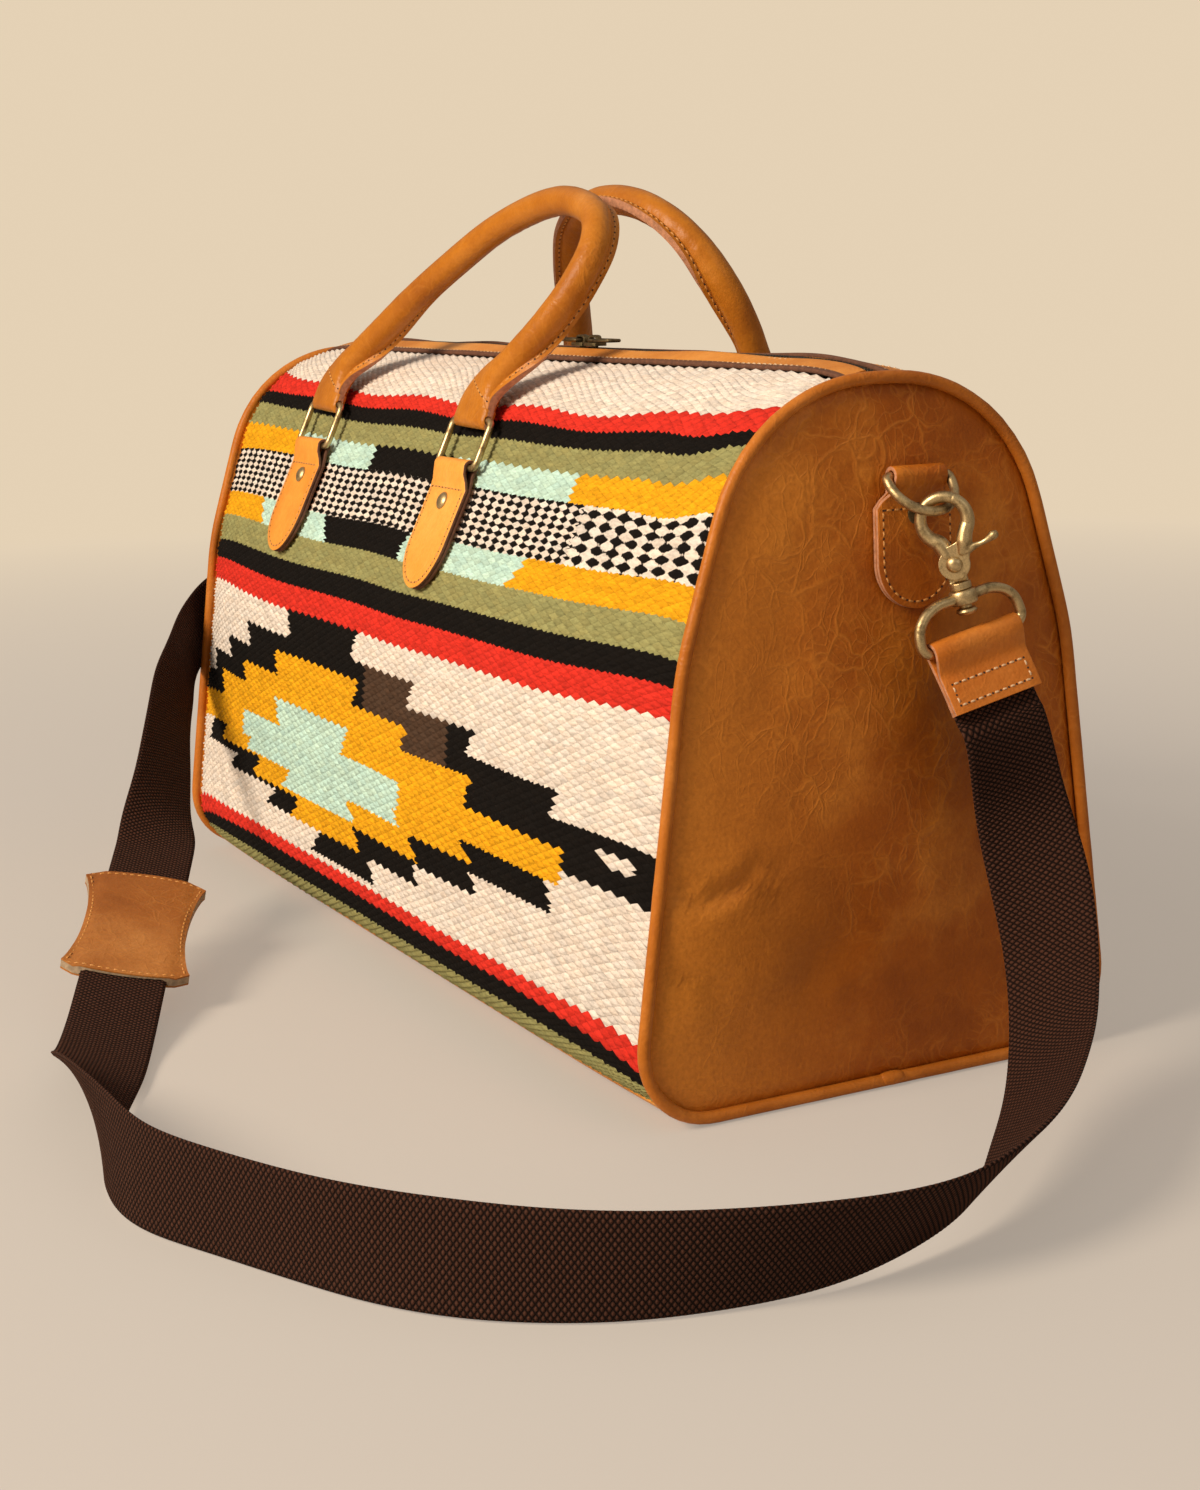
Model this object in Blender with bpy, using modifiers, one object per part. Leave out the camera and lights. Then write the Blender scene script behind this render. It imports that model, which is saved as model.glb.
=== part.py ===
"""Carpet duffel bag: a kilim weekender on its leather base.

Metres, +Z up. The origin is at the middle of the base, on the floor. X runs along the bag with the
near end at +X, and the front wall faces -Y.
"""

import functools
import math

import bmesh
import bpy
import numpy as np
from mathutils import Matrix, Vector

# Bag body
BAG_LENGTH = 0.531  # between the two end seams
BAG_HEIGHT = 0.280  # at the end seams
BASE_HALF = 0.112  # half width of the section's lower corner
BASE_RADIUS = 0.030
WAIST_HALF = 0.0885  # where the wall begins to lean in
WAIST_HEIGHT = 0.178
WAIST_RADIUS = 0.150
SHOULDER_HALF = 0.057
SHOULDER_RADIUS = 0.070
MID_SHOULDER_IN = 0.005  # how the section differs at mid length
MID_SHOULDER_DROP = 0.008
MID_SHOULDER_TIGHTER = 0.015
MID_WAIST_OUT = 0.0125
MID_WAIST_DROP = 0.006
MID_WAIST_ROUNDER = 0.010
MID_BASE_OUT = 0.007
MID_BASE_ROUNDER = 0.006
RIDGE_RISE = 0.007  # the zip line stands this high over the end seams
BULGE_POWER = 5  # how suddenly the walls draw in to the end seams
RIDGE_POWER = 12
STATIONS = [-1.0, -0.86, -0.6, 0.0, 0.6, 0.86, 1.0]  # shares of half the length
ARC_STEPS = 4

GAP = 0.0003
KILIM_THICK = 0.0040
RIB_PITCH = 0.0105
RIB_DEPTH = 0.0009
KILIM_TOP = 0.0168  # arc from the zip line to the wall's upper edge
BASE_PANEL_HALF = 0.0985  # arc from the bottom line to the base panel's edge
LEATHER = 0.0020
BOARD_THICK = 0.0016
BOARD_HALF = 0.069
BOARD_END_GAP = 0.006
LINING_THICK = 0.0010
LINING_LOOSE = 0.0010  # how far the lining hangs off the kilim
LINING_SLOT = 0.009
END_LEATHER = 0.0022
END_BULGE = 0.0050
END_CENTRE_HEIGHT = 0.135
PIPING_RADIUS = 0.0025

# Kilim stripes: colour above, then the arc from the zip line to the stripe's lower edge at the end
# seams and at mid length
STRIPES = [
    ("cream", 0.0440, 0.0590),
    ("red", 0.0600, 0.0665),
    ("black", 0.0682, 0.0755),
    ("olive", 0.0820, 0.0867),
    ("upper band", 0.0970, 0.0990),
    ("checker", 0.1217, 0.1260),
    ("lower band", 0.1350, 0.1400),
    ("olive", 0.1494, 0.1537),
    ("black", 0.1590, 0.1647),
    ("red", 0.1711, 0.1775),
    ("diamond", 0.2962, 0.2945),
    ("red", 0.3100, 0.3020),
    ("black", 0.3170, 0.3130),
]
LAST_STRIPE = "olive"
PATTERN_CENTRE = -0.095  # the weave's middle lies off the bag's middle, as the cloth was cut
BAND_BLOCKS = [("black", 0.049), ("turquoise", 0.125), ("amber", 9.0)]  # out to this half length
CHECK_PITCH = 0.0241
# Rows of the stepped diamond, top to bottom: share of the field's height, then the half lengths of
# its black, amber and turquoise parts
DIAMOND_ROWS = [
    (0.11, 0.047, 0.0, 0.0),
    (0.10, 0.115, 0.058, 0.0),
    (0.09, 0.180, 0.058, 0.0),
    (0.10, 0.260, 0.115, 0.0),
    (0.10, 9.0, 0.180, 0.050),
    (0.17, 9.0, 0.265, 0.110),
    (0.08, 0.260, 0.180, 0.050),
    (0.07, 0.195, 0.115, 0.0),
    (0.08, 0.140, 0.058, 0.0),
    (0.10, 0.090, 0.0, 0.0),
]

# Zip
TEETH_GAP = 0.0014
TEETH_OUTER = 0.0031
TEETH_TOP = 0.0004  # insets of the rows of teeth
TEETH_BOTTOM = 0.0034
TAPE_OUTER = 0.0115
BAND_INNER = 0.0052
BAND_OUTER = 0.0165
BAND_RAISED = 0.0006
TAPE_THICK = 0.0008
SLIDER_LENGTH = 0.0110
SLIDER_WIDTH = 0.0088
SLIDER_PLATE = 0.0015
SLIDER_NECK = 0.0007
SLIDER_TOP_GAP = 0.0005
SLIDER_BOTTOM_DEPTH = 0.0048
SLIDER_MEETING = 0.028  # where the two sliders meet along the zip
SLIDER_PITCH = 0.0122
BRIDGE_HEIGHT = 0.0034
BRIDGE_LENGTH = 0.0084
BRIDGE_WIDTH = 0.0030
PULL_WIRE = 0.0008
PULL_WIDTH = 0.0078
PULL_LENGTH = 0.0190

# Handles
HANDLE_SPREAD = 0.179  # between a handle's two chapes
HANDLE_FRONT_CENTRE = -0.0525
HANDLE_BACK_CENTRE = -0.004
CHAPE_ARC = 0.0925  # arc from the zip line down to the ring's lower bar
CHAPE_WIDTH = 0.038
CHAPE_LENGTH = 0.058  # lower bar to tip
CHAPE_TIP = 0.022  # how far the rounded tip reaches
CHAPE_LAYER = 0.00175
LOOP_WIDTH = 0.0325
RING_WIRE = 0.0016
RING_INNER = 0.0370
RING_RISE = 0.0225  # between the two bars
RING_LEAN = math.radians(25)
RING_BEND = 0.0036
CHAPE_RIVET_DROP = 0.0165
RIVET_HEAD = 0.0042
RIVET_DOME = 0.0018
RIVET_SHANK = 0.0015
HANDLE_RADIUS = 0.00675
FIN_DEPTH = 0.0040
FIN_WIDTH = 0.0036
HANDLE_END_WIDTH = 0.0320
HANDLE_END_THICK = 0.0078
CROWN_HEIGHT = 0.353
CROWN_OFFSET = 0.0105  # from the zip plane to a handle's crown
HANDLE_SECTION_POINTS = 10
# An arch as shares of the spread, from the far end, and of the rise
FRONT_ARCH = [
    (0.0, 0.0), (0.003, 0.09), (0.04, 0.19), (0.11, 0.29), (0.19, 0.40), (0.29, 0.54),
    (0.42, 0.69), (0.59, 0.86), (0.76, 0.96), (0.92, 1.0), (1.07, 0.97), (1.18, 0.90), (1.24, 0.77),
    (1.235, 0.60), (1.18, 0.43), (1.10, 0.28), (1.03, 0.17), (1.002, 0.08), (1.0, 0.0),
]
BACK_ARCH = [
    (0.0, 0.0), (0.002, 0.09), (0.03, 0.19), (0.09, 0.30), (0.15, 0.42), (0.22, 0.56), (0.31, 0.72),
    (0.42, 0.87), (0.56, 0.97), (0.70, 1.0), (0.84, 0.97), (0.95, 0.88), (1.02, 0.74), (1.05, 0.56),
    (1.045, 0.38), (1.02, 0.22), (1.003, 0.10), (1.0, 0.0),
]

# End chapes and D rings
END_CHAPE_ACROSS = 0.0110
END_BAR_HEIGHT = 0.243
END_CHAPE_LENGTH = 0.0505
END_CHAPE_WIDTH = 0.036
END_CHAPE_TIP = 0.018
END_CHAPE_STAND = 0.0006  # off the bulged end panel
END_LOOP_WIDTH = 0.0240
D_WIRE = 0.0019
D_RADIUS = 0.0143
D_STRAIGHT = 0.0032
D_LEAN_NEAR = math.radians(43)
D_LEAN_FAR = math.radians(46)
END_RIVET_DROP = 0.0145
END_RIVET_HEAD = 0.0042
END_RIVET_FLAT = 0.0007

# Snap hooks
EYE_RADIUS = 0.0088  # middle of the eye's wire
EYE_WIRE = 0.0023
EYE_HANG = 0.0039  # from the D ring's wire down to the eye's centre
HOOK_TURN = math.radians(40)
PIVOT_DROP = 0.0170
COLLAR_DROP = 0.0300
NECK_END = 0.0345
NECK_RADIUS = 0.0024
BALL_RADIUS = 0.0042
SHANK_WIDTH = 0.0104
SHANK_THICK = 0.0060
GATE_PLATE = 0.0020
PIN_RADIUS = 0.0014
PIN_HEAD = 0.0031
BAIL_BAR_DROP = 0.0165  # from the collar to the bail's bar
BAIL_WIRE = 0.0021
BAIL_HALF = 0.0236
COLLAR_RADIUS = 0.0052
COLLAR_THICK = 0.0056
TAB_WIDTH = 0.0410
TAB_LENGTH = 0.0250
TAB_LAYER = 0.0018
TAB_LEAN = math.radians(18)
NEAR_ROLL = math.radians(12)
FAR_ROLL = math.radians(-25)
CHAIN_LEAN = math.radians(8)

# Shoulder strap
WEBBING_WIDTH = 0.0380
WEBBING_THICK = 0.0016
PAD_LENGTH = 0.0900
PAD_END_HALF = 0.0315
PAD_WAIST_HALF = 0.0255
PAD_THICK = 0.0052
PAD_PLACE = 0.0
PAD_SLIT_PLAY = 0.0006

COLOURS = {
    "cream": (0.80, 0.74, 0.66),
    "red": (0.62, 0.035, 0.025),
    "black": (0.022, 0.016, 0.014),
    "olive": (0.28, 0.25, 0.09),
    "turquoise": (0.42, 0.62, 0.52),
    "amber": (0.82, 0.36, 0.03),
}

part_collection = None
cutter_collection = None


def start_scene():
    """Clear the scene and make the part's and the cutters' collections."""
    global part_collection, cutter_collection
    for old in list(bpy.data.objects):
        bpy.data.objects.remove(old)
    root = bpy.context.scene.collection
    part_collection = bpy.data.collections.new("carpet_duffel_bag")
    cutter_collection = bpy.data.collections.new("cutters")
    root.children.link(part_collection)
    root.children.link(cutter_collection)


@functools.lru_cache(maxsize=None)
def material(name, colour, roughness, metallic):
    """A plain Principled material."""
    made = bpy.data.materials.new(name)
    made.use_nodes = True
    shader = made.node_tree.nodes["Principled BSDF"]
    shader.inputs["Base Color"].default_value = (*colour, 1.0)
    shader.inputs["Roughness"].default_value = roughness
    shader.inputs["Metallic"].default_value = metallic
    made.diffuse_color = (*colour, 1.0)
    return made


def leather():
    return material("tan_leather", (0.45, 0.20, 0.06), 0.5, 0.0)


def brass():
    return material("antique_brass", (0.30, 0.22, 0.11), 0.35, 1.0)


def wool(colour):
    return material(f"wool_{colour}", COLOURS[colour], 0.95, 0.0)


def lining_cloth():
    return material("lining_cloth", (0.10, 0.08, 0.06), 0.9, 0.0)


def webbing():
    return material("webbing", (0.035, 0.018, 0.012), 0.85, 0.0)


def board():
    return material("board", (0.12, 0.09, 0.06), 0.9, 0.0)


def tape():
    return material("zip_tape", (0.03, 0.02, 0.018), 0.8, 0.0)


def add_object(name, mesh, look, collection=None):
    made = bpy.data.objects.new(name, mesh)
    (collection or part_collection).objects.link(made)
    if look is not None:
        mesh.materials.clear()
        mesh.materials.append(look)
    return made


def hide_cutter(cutter):
    """Take a helper out of the render and draw it as wire."""
    for owner in list(cutter.users_collection):
        owner.objects.unlink(cutter)
    cutter_collection.objects.link(cutter)
    cutter.hide_render = True
    cutter.display_type = "WIRE"


def shade_round(made, degrees=35):
    made.data.shade_smooth()
    made.data.set_sharp_from_angle(angle=math.radians(degrees))


def boolean(target, other, operation="DIFFERENCE"):
    """Cut or join with another mesh object, which becomes a helper."""
    step = target.modifiers.new(f"{operation.lower()}_{other.name}", "BOOLEAN")
    step.operation = operation
    step.object = other
    step.solver = "EXACT"
    if cutter_collection not in other.users_collection:
        hide_cutter(other)


def as_mesh(curve):
    """Replace a curve object by a welded mesh of the same name."""
    bpy.context.view_layer.update()
    graph = bpy.context.evaluated_depsgraph_get()
    mesh = bpy.data.meshes.new_from_object(curve.evaluated_get(graph))
    shell = bmesh.new()
    shell.from_mesh(mesh)
    bmesh.ops.remove_doubles(shell, verts=shell.verts, dist=0.00001)
    shell.to_mesh(mesh)
    shell.free()
    name, place = curve.name, curve.matrix_world.copy()
    owner = curve.users_collection[0]
    bpy.data.objects.remove(curve)
    made = bpy.data.objects.new(name, mesh)
    owner.objects.link(made)
    made.matrix_world = place
    return made


def wire(name, points, radius, look, cyclic=False, resolution=2):
    """A round wire along a list of points."""
    curve = bpy.data.curves.new(name, "CURVE")
    curve.dimensions = "3D"
    curve.bevel_depth = radius
    curve.bevel_resolution = resolution
    curve.use_fill_caps = not cyclic
    spline = curve.splines.new("POLY")
    spline.points.add(len(points) - 1)
    for point, place in zip(spline.points, points):
        point.co = (*place, 1.0)
    spline.use_cyclic_u = cyclic
    curve.materials.append(look)
    made = bpy.data.objects.new(name, curve)
    part_collection.objects.link(made)
    return made


def plate(name, outline, thickness, look, holes=()):
    """A flat plate in the local XZ plane: outline points (x, z), its thickness along local Y."""
    curve = bpy.data.curves.new(name, "CURVE")
    curve.dimensions = "2D"
    curve.fill_mode = "BOTH"
    curve.extrude = thickness / 2
    for ring in [outline, *holes]:
        spline = curve.splines.new("POLY")
        spline.points.add(len(ring) - 1)
        for point, (across, up) in zip(spline.points, ring):
            point.co = (across, up, 0.0, 1.0)
        spline.use_cyclic_u = True
    curve.materials.append(look)
    made = bpy.data.objects.new(name, curve)
    part_collection.objects.link(made)
    made.matrix_world = Matrix.Rotation(math.pi / 2, 4, "X")
    made = as_mesh(made)
    bake_place(made)
    return made


def bake_place(made):
    """Move an object's placement into its mesh."""
    made.data.transform(made.matrix_world)
    made.matrix_world = Matrix.Identity(4)


def circle(radius, count, centre=(0.0, 0.0), start=0.0):
    """Points round a circle in a plane."""
    return [
        (
            centre[0] + radius * math.cos(start + 2 * math.pi * k / count),
            centre[1] + radius * math.sin(start + 2 * math.pi * k / count),
        )
        for k in range(count)
    ]


def rod(name, radius, start, end, look=None, sides=16):
    """A straight cylinder between two points."""
    start, end = Vector(start), Vector(end)
    shell = bmesh.new()
    bmesh.ops.create_cone(
        shell, cap_ends=True, segments=sides, radius1=radius, radius2=radius, depth=(end - start).length
    )
    mesh = bpy.data.meshes.new(name)
    turn = (end - start).to_track_quat("Z", "Y").to_matrix().to_4x4()
    shell.transform(Matrix.Translation((start + end) / 2) @ turn)
    shell.to_mesh(mesh)
    shell.free()
    return add_object(name, mesh, look)


def box(name, low, high, look=None):
    """A box between two corners."""
    low, high = Vector(low), Vector(high)
    shell = bmesh.new()
    bmesh.ops.create_cube(shell, size=1.0)
    size = high - low
    shell.transform(Matrix.Translation((low + high) / 2) @ Matrix.Diagonal((*size, 1.0)))
    mesh = bpy.data.meshes.new(name)
    shell.to_mesh(mesh)
    shell.free()
    return add_object(name, mesh, look)


def turned(name, profile, look, steps=12):
    """A turned shape from a profile of (radius, height) points that runs from top to bottom."""
    mesh = bpy.data.meshes.new(name)
    edges = [(k, k + 1) for k in range(len(profile) - 1)]
    mesh.from_pydata([(radius, 0.0, height) for radius, height in profile], edges, [])
    made = add_object(name, mesh, look)
    step = made.modifiers.new("turn", "SCREW")
    step.steps = steps
    step.render_steps = steps
    step.use_merge_vertices = True
    step.merge_threshold = 0.00005
    return made


def outward_frame(origin, outward, up):
    """A frame whose local -Y looks outward and whose Z runs along up."""
    up = Vector(up).normalized()
    inward = -Vector(outward)
    inward = (inward - up * inward.dot(up)).normalized()
    across = inward.cross(up)
    frame = Matrix((across, inward, up)).transposed().to_4x4()
    frame.translation = Vector(origin)
    return frame


def parent_to(child, parent):
    bpy.context.view_layer.update()
    child.parent = parent
    child.matrix_parent_inverse = parent.matrix_world.inverted()


def pivot(name, place):
    """An empty on a joint's axis, which carries what moves."""
    made = bpy.data.objects.new(name, None)
    made.empty_display_size = 0.02
    part_collection.objects.link(made)
    made.location = place
    bpy.context.view_layer.update()
    return made


# The bag's section


def rounded(corners, steps=ARC_STEPS):
    """A path through corners of (across, height, radius), with an arc at each inner corner."""
    path = [Vector(corners[0][:2])]
    for before, here, after in zip(corners, corners[1:], corners[2:]):
        corner = Vector(here[:2])
        back = (Vector(before[:2]) - corner).normalized()
        ahead = (Vector(after[:2]) - corner).normalized()
        half = back.angle(ahead) / 2
        centre = corner + (back + ahead).normalized() * here[2] / math.sin(half)
        reach = here[2] / math.tan(half)
        first = corner + back * reach - centre
        last = corner + ahead * reach - centre
        sweep = first.angle_signed(last)
        for k in range(steps + 1):
            turn = Matrix.Rotation(-sweep * k / steps, 2)
            path.append(centre + turn @ first)
    path.append(Vector(corners[-1][:2]))
    return path


@functools.lru_cache(maxsize=None)
def section(x):
    """Half the section at x, from the zip line to the bottom line: points, arcs and normals."""
    share = min(1.0, abs(2 * x / BAG_LENGTH))
    bulge = 1 - share**BULGE_POWER
    rise = RIDGE_RISE * (1 - share**RIDGE_POWER)
    path = rounded(
        [
            (0.0, BAG_HEIGHT + rise, 0.0),
            (
                SHOULDER_HALF - MID_SHOULDER_IN * bulge,
                BAG_HEIGHT - MID_SHOULDER_DROP * bulge,
                SHOULDER_RADIUS - MID_SHOULDER_TIGHTER * bulge,
            ),
            (
                WAIST_HALF + MID_WAIST_OUT * bulge,
                WAIST_HEIGHT - MID_WAIST_DROP * bulge,
                WAIST_RADIUS + MID_WAIST_ROUNDER * bulge,
            ),
            (BASE_HALF + MID_BASE_OUT * bulge, 0.0, BASE_RADIUS + MID_BASE_ROUNDER * bulge),
            (0.0, 0.0, 0.0),
        ]
    )
    points = np.array(path)
    pieces = np.diff(points, axis=0)
    lengths = np.linalg.norm(pieces, axis=1)
    arcs = np.concatenate([[0.0], np.cumsum(lengths)])
    normals = np.stack([-pieces[:, 1], pieces[:, 0]], axis=1) / lengths[:, None]
    return points, arcs, normals


def section_length(x):
    return section(x)[1][-1]


def wall_point(x, arc, inset=0.0, side=-1):
    """A point of the wall at x, an arc down from the zip line, and its outward normal in (y, z)."""
    points, arcs, normals = section(x)
    across = np.interp(arc, arcs, points[:, 0])
    height = np.interp(arc, arcs, points[:, 1])
    middles = (arcs[1:] + arcs[:-1]) / 2
    normal = np.array([np.interp(arc, middles, normals[:, k]) for k in range(2)])
    normal /= np.linalg.norm(normal)
    place = np.array([across, height]) - inset * normal
    return Vector((x, side * place[0], place[1])), Vector((0.0, side * normal[0], normal[1]))


def wall_arcs(x, first, last):
    """Arcs from first to last at x, with the corners that the sections have between them."""
    ends = [section(0.0), section(BAG_LENGTH / 2)]
    before_last = section_length(x) - last + 0.001
    lowest = max(np.searchsorted(arcs, first + 0.002) for _, arcs, _ in ends)
    highest = min(np.searchsorted(arcs, arcs[-1] - before_last) for _, arcs, _ in ends)
    shared = section(x)[1][lowest:highest]
    return [first, *shared, (shared[-1] + last) / 2, last]


def loft(name, rings, look, cyclic_rings=False):
    """A closed body through rings of points that all have the same count."""
    shell = bmesh.new()
    layers = [[shell.verts.new(point) for point in ring] for ring in rings]
    count = len(layers[0])
    ahead = layers[1:] + layers[:1] if cyclic_rings else layers[1:]
    for low, high in zip(layers, ahead):
        for k in range(count):
            shell.faces.new((low[k], low[(k + 1) % count], high[(k + 1) % count], high[k]))
    if not cyclic_rings:
        shell.faces.new(list(reversed(layers[0])))
        shell.faces.new(layers[-1])
    bmesh.ops.recalc_face_normals(shell, faces=shell.faces)
    mesh = bpy.data.meshes.new(name)
    shell.to_mesh(mesh)
    shell.free()
    return add_object(name, mesh, look)


def end_x():
    """Where the walls stop short of the end seam's piping."""
    return BAG_LENGTH / 2 - PIPING_RADIUS - GAP


def station_positions():
    return [share * end_x() for share in STATIONS]


def wall_strip(name, polygon_at, look, side):
    """A strip along the bag whose section polygon is (arc, inset) pairs at each x."""
    rings = []
    for x in station_positions():
        rings.append([wall_point(x, arc, inset, side)[0] for arc, inset in polygon_at(x)])
    return loft(name, rings, look)


# The kilim walls


def stripe_rows(x):
    """Rib edges down the wall at x: a list of (arc, stripe index, step within the stripe)."""
    share = min(1.0, abs(2 * x / BAG_LENGTH))
    middle = 1 - share**BULGE_POWER
    edges = [KILIM_TOP] + [seam + (mid - seam) * middle for _, seam, mid in STRIPES]
    edges.append(section_length(x) - BASE_PANEL_HALF)
    seams = [KILIM_TOP] + [seam for _, seam, _ in STRIPES]
    seams.append(section_length(BAG_LENGTH / 2) - BASE_PANEL_HALF)
    rows = []
    for stripe, (above, below) in enumerate(zip(edges, edges[1:])):
        parts = [1.0]
        if stripe < len(STRIPES) and STRIPES[stripe][0] == "diamond":
            parts = [row[0] for row in DIAMOND_ROWS]
        whole = sum(parts)
        start = above
        for step, part in enumerate(parts):
            height = (below - above) * part / whole
            plain = (seams[stripe + 1] - seams[stripe]) * part / whole
            ribs = max(1, round(plain / RIB_PITCH))
            rows += [(start + height * k / ribs, height / ribs, stripe, step) for k in range(ribs)]
            start += height
    return rows


def kilim_colour(stripe, step, rib, x):
    """The wool colour of a rib at x."""
    kind = STRIPES[stripe][0] if stripe < len(STRIPES) else LAST_STRIPE
    away = abs(x - PATTERN_CENTRE)
    if kind in ("upper band", "lower band"):
        return next(colour for colour, reach in BAND_BLOCKS if away < reach)
    if kind == "checker":
        return "black" if (math.floor(x / CHECK_PITCH) + rib) % 2 else "cream"
    if kind == "diamond":
        _, black, amber, turquoise = DIAMOND_ROWS[step]
        if away < turquoise:
            return "turquoise"
        if away < amber:
            return "amber"
        return "black" if away < black else "cream"
    return kind


def pattern_columns():
    """Every x where the colours or the wall's bend change."""
    half = end_x()
    reaches = {reach for _, reach in BAND_BLOCKS}
    for row in DIAMOND_ROWS:
        reaches |= set(row[1:])
    columns = {PATTERN_CENTRE + sign * reach for reach in reaches for sign in (-1, 1) if reach}
    checks = math.floor(half / CHECK_PITCH)
    columns |= {k * CHECK_PITCH for k in range(-checks, checks + 1)}
    stations = station_positions()
    columns = [x for x in columns if abs(x) < half and min(abs(x - s) for s in stations) > 0.002]
    return sorted(columns + stations)


def kilim_ring(x, side):
    """The wall's section at x, ribbed outside and plain inside."""
    stations = station_positions()
    after = next(k for k, s in enumerate(stations) if s >= x - 1e-9)
    ends = [stations[max(after - 1, 0)], stations[after]]
    share = 0.0 if ends[0] == ends[1] else (x - ends[0]) / (ends[1] - ends[0])
    rings = []
    for end in ends:
        rows = stripe_rows(end)
        outer = []
        for start, height, _, _ in rows:
            outer.append(wall_point(end, start, RIB_DEPTH, side)[0])
            outer.append(wall_point(end, start + height / 2, 0.0, side)[0])
        last = rows[-1][0] + rows[-1][1]
        outer.append(wall_point(end, last, RIB_DEPTH, side)[0])
        back = reversed(wall_arcs(end, KILIM_TOP, last))
        inner = [wall_point(end, arc, KILIM_THICK, side)[0] for arc in back]
        rings.append(outer + inner)
    return [a.lerp(b, share) for a, b in zip(*rings)]


def kilim_wall(name, side):
    """One woven wall: ribs along X, with its colours as fields of faces."""
    columns = pattern_columns()
    made = loft(name, [kilim_ring(x, side) for x in columns], None)
    mesh = made.data
    names = list(COLOURS)
    for colour in names:
        mesh.materials.append(wool(colour))
    rows = stripe_rows(0.0)
    ring_size = len(kilim_ring(columns[0], side))
    face = 0
    for left, right in zip(columns, columns[1:]):
        for k in range(ring_size):
            if k < 2 * len(rows):
                _, _, stripe, step = rows[k // 2]
                colour = kilim_colour(stripe, step, k // 2, (left + right) / 2)
                mesh.polygons[face].material_index = names.index(colour)
            face += 1
    shell = bmesh.new()
    shell.from_mesh(mesh)
    bmesh.ops.dissolve_limit(
        shell, angle_limit=math.radians(0.5), verts=shell.verts, edges=shell.edges, delimit={"MATERIAL"}
    )
    bmesh.ops.triangulate(shell, faces=shell.faces)
    shell.to_mesh(mesh)
    shell.free()
    return made


# The rest of the body


def both_sides(x, arcs, outer, inner):
    """A sheet's section across both walls at x, between two insets."""
    ring = []
    for inset in (outer, inner):
        half = [wall_point(x, arc, inset, -1)[0] for arc in arcs]
        row = half + [Vector((p.x, -p.y, p.z)) for p in reversed(half)]
        ring += row if inset == outer else row[::-1]
    return ring


def base_panel():
    rings = []
    for x in station_positions():
        bottom = section_length(x)
        reach = BASE_PANEL_HALF - GAP
        arcs = [bottom - reach + reach * k / 6 for k in range(6)]
        rings.append(both_sides(x, arcs, 0.0, LEATHER))
    return loft("base_panel", rings, leather())


def base_board():
    half = end_x() - BOARD_END_GAP
    low = LEATHER + GAP
    return box(
        "base_board", (-half, -BOARD_HALF, low), (half, BOARD_HALF, low + BOARD_THICK), board()
    )


def lining_inset():
    return KILIM_THICK + LINING_LOOSE


def lining_body():
    """The lining's wall, a tube along the bag that is open under the zip."""
    rings = []
    for share in STATIONS:
        x = share * (end_x() - LINING_THICK - GAP)
        arcs = [LINING_SLOT, *wall_arcs(x, KILIM_TOP, section_length(x))[:-2]]
        rings.append(both_sides(x, arcs, lining_inset(), lining_inset() + LINING_THICK))
    return loft("lining_body", rings, lining_cloth())


def end_outline(inset):
    """The end seam's outline as (y, z) points, kept clear of the floor by the piping."""
    path = rounded(
        [
            (0.0, BAG_HEIGHT, 0.0),
            (SHOULDER_HALF, BAG_HEIGHT, SHOULDER_RADIUS),
            (WAIST_HALF, WAIST_HEIGHT, WAIST_RADIUS),
            (BASE_HALF, PIPING_RADIUS, BASE_RADIUS),
            (0.0, PIPING_RADIUS, 0.0),
        ]
    )
    points = np.array(path)
    pieces = np.diff(points, axis=0)
    pieces /= np.linalg.norm(pieces, axis=1)[:, None]
    normals = np.stack([-pieces[:, 1], pieces[:, 0]], axis=1)
    corner = np.concatenate([normals[:1], normals[1:] + normals[:-1], normals[-1:]])
    corner /= np.linalg.norm(corner, axis=1)[:, None]
    corner[0] = (0.0, 1.0)
    corner[-1] = (0.0, -1.0)
    half = points - inset * corner
    right = [tuple(point) for point in half]
    left = [(-across, height) for across, height in reversed(right[1:-1])]
    return right + left


def panel_rings(inset, thickness, side, start_x, bulge):
    """Rings of a bulged end sheet, from its outer middle round the rim to its inner middle."""
    rim = end_outline(inset)
    rings = []
    for depth, shares in ((thickness, (0.08, 0.45, 0.75, 1.0)), (0.0, (1.0, 0.75, 0.45, 0.08))):
        for share in shares:
            x = start_x + depth + bulge * (1 - share**2)
            ring = []
            for across, height in rim:
                up = END_CENTRE_HEIGHT + share * (height - END_CENTRE_HEIGHT)
                ring.append(Vector((side * x, share * across, up)))
            rings.append(ring)
    return rings


def panel_inset():
    return PIPING_RADIUS + GAP


def panel_start():
    return BAG_LENGTH / 2 - PIPING_RADIUS + GAP


def end_panel(name, side):
    rings = panel_rings(panel_inset(), END_LEATHER, side, panel_start(), END_BULGE)
    return loft(name, rings, leather())


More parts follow.
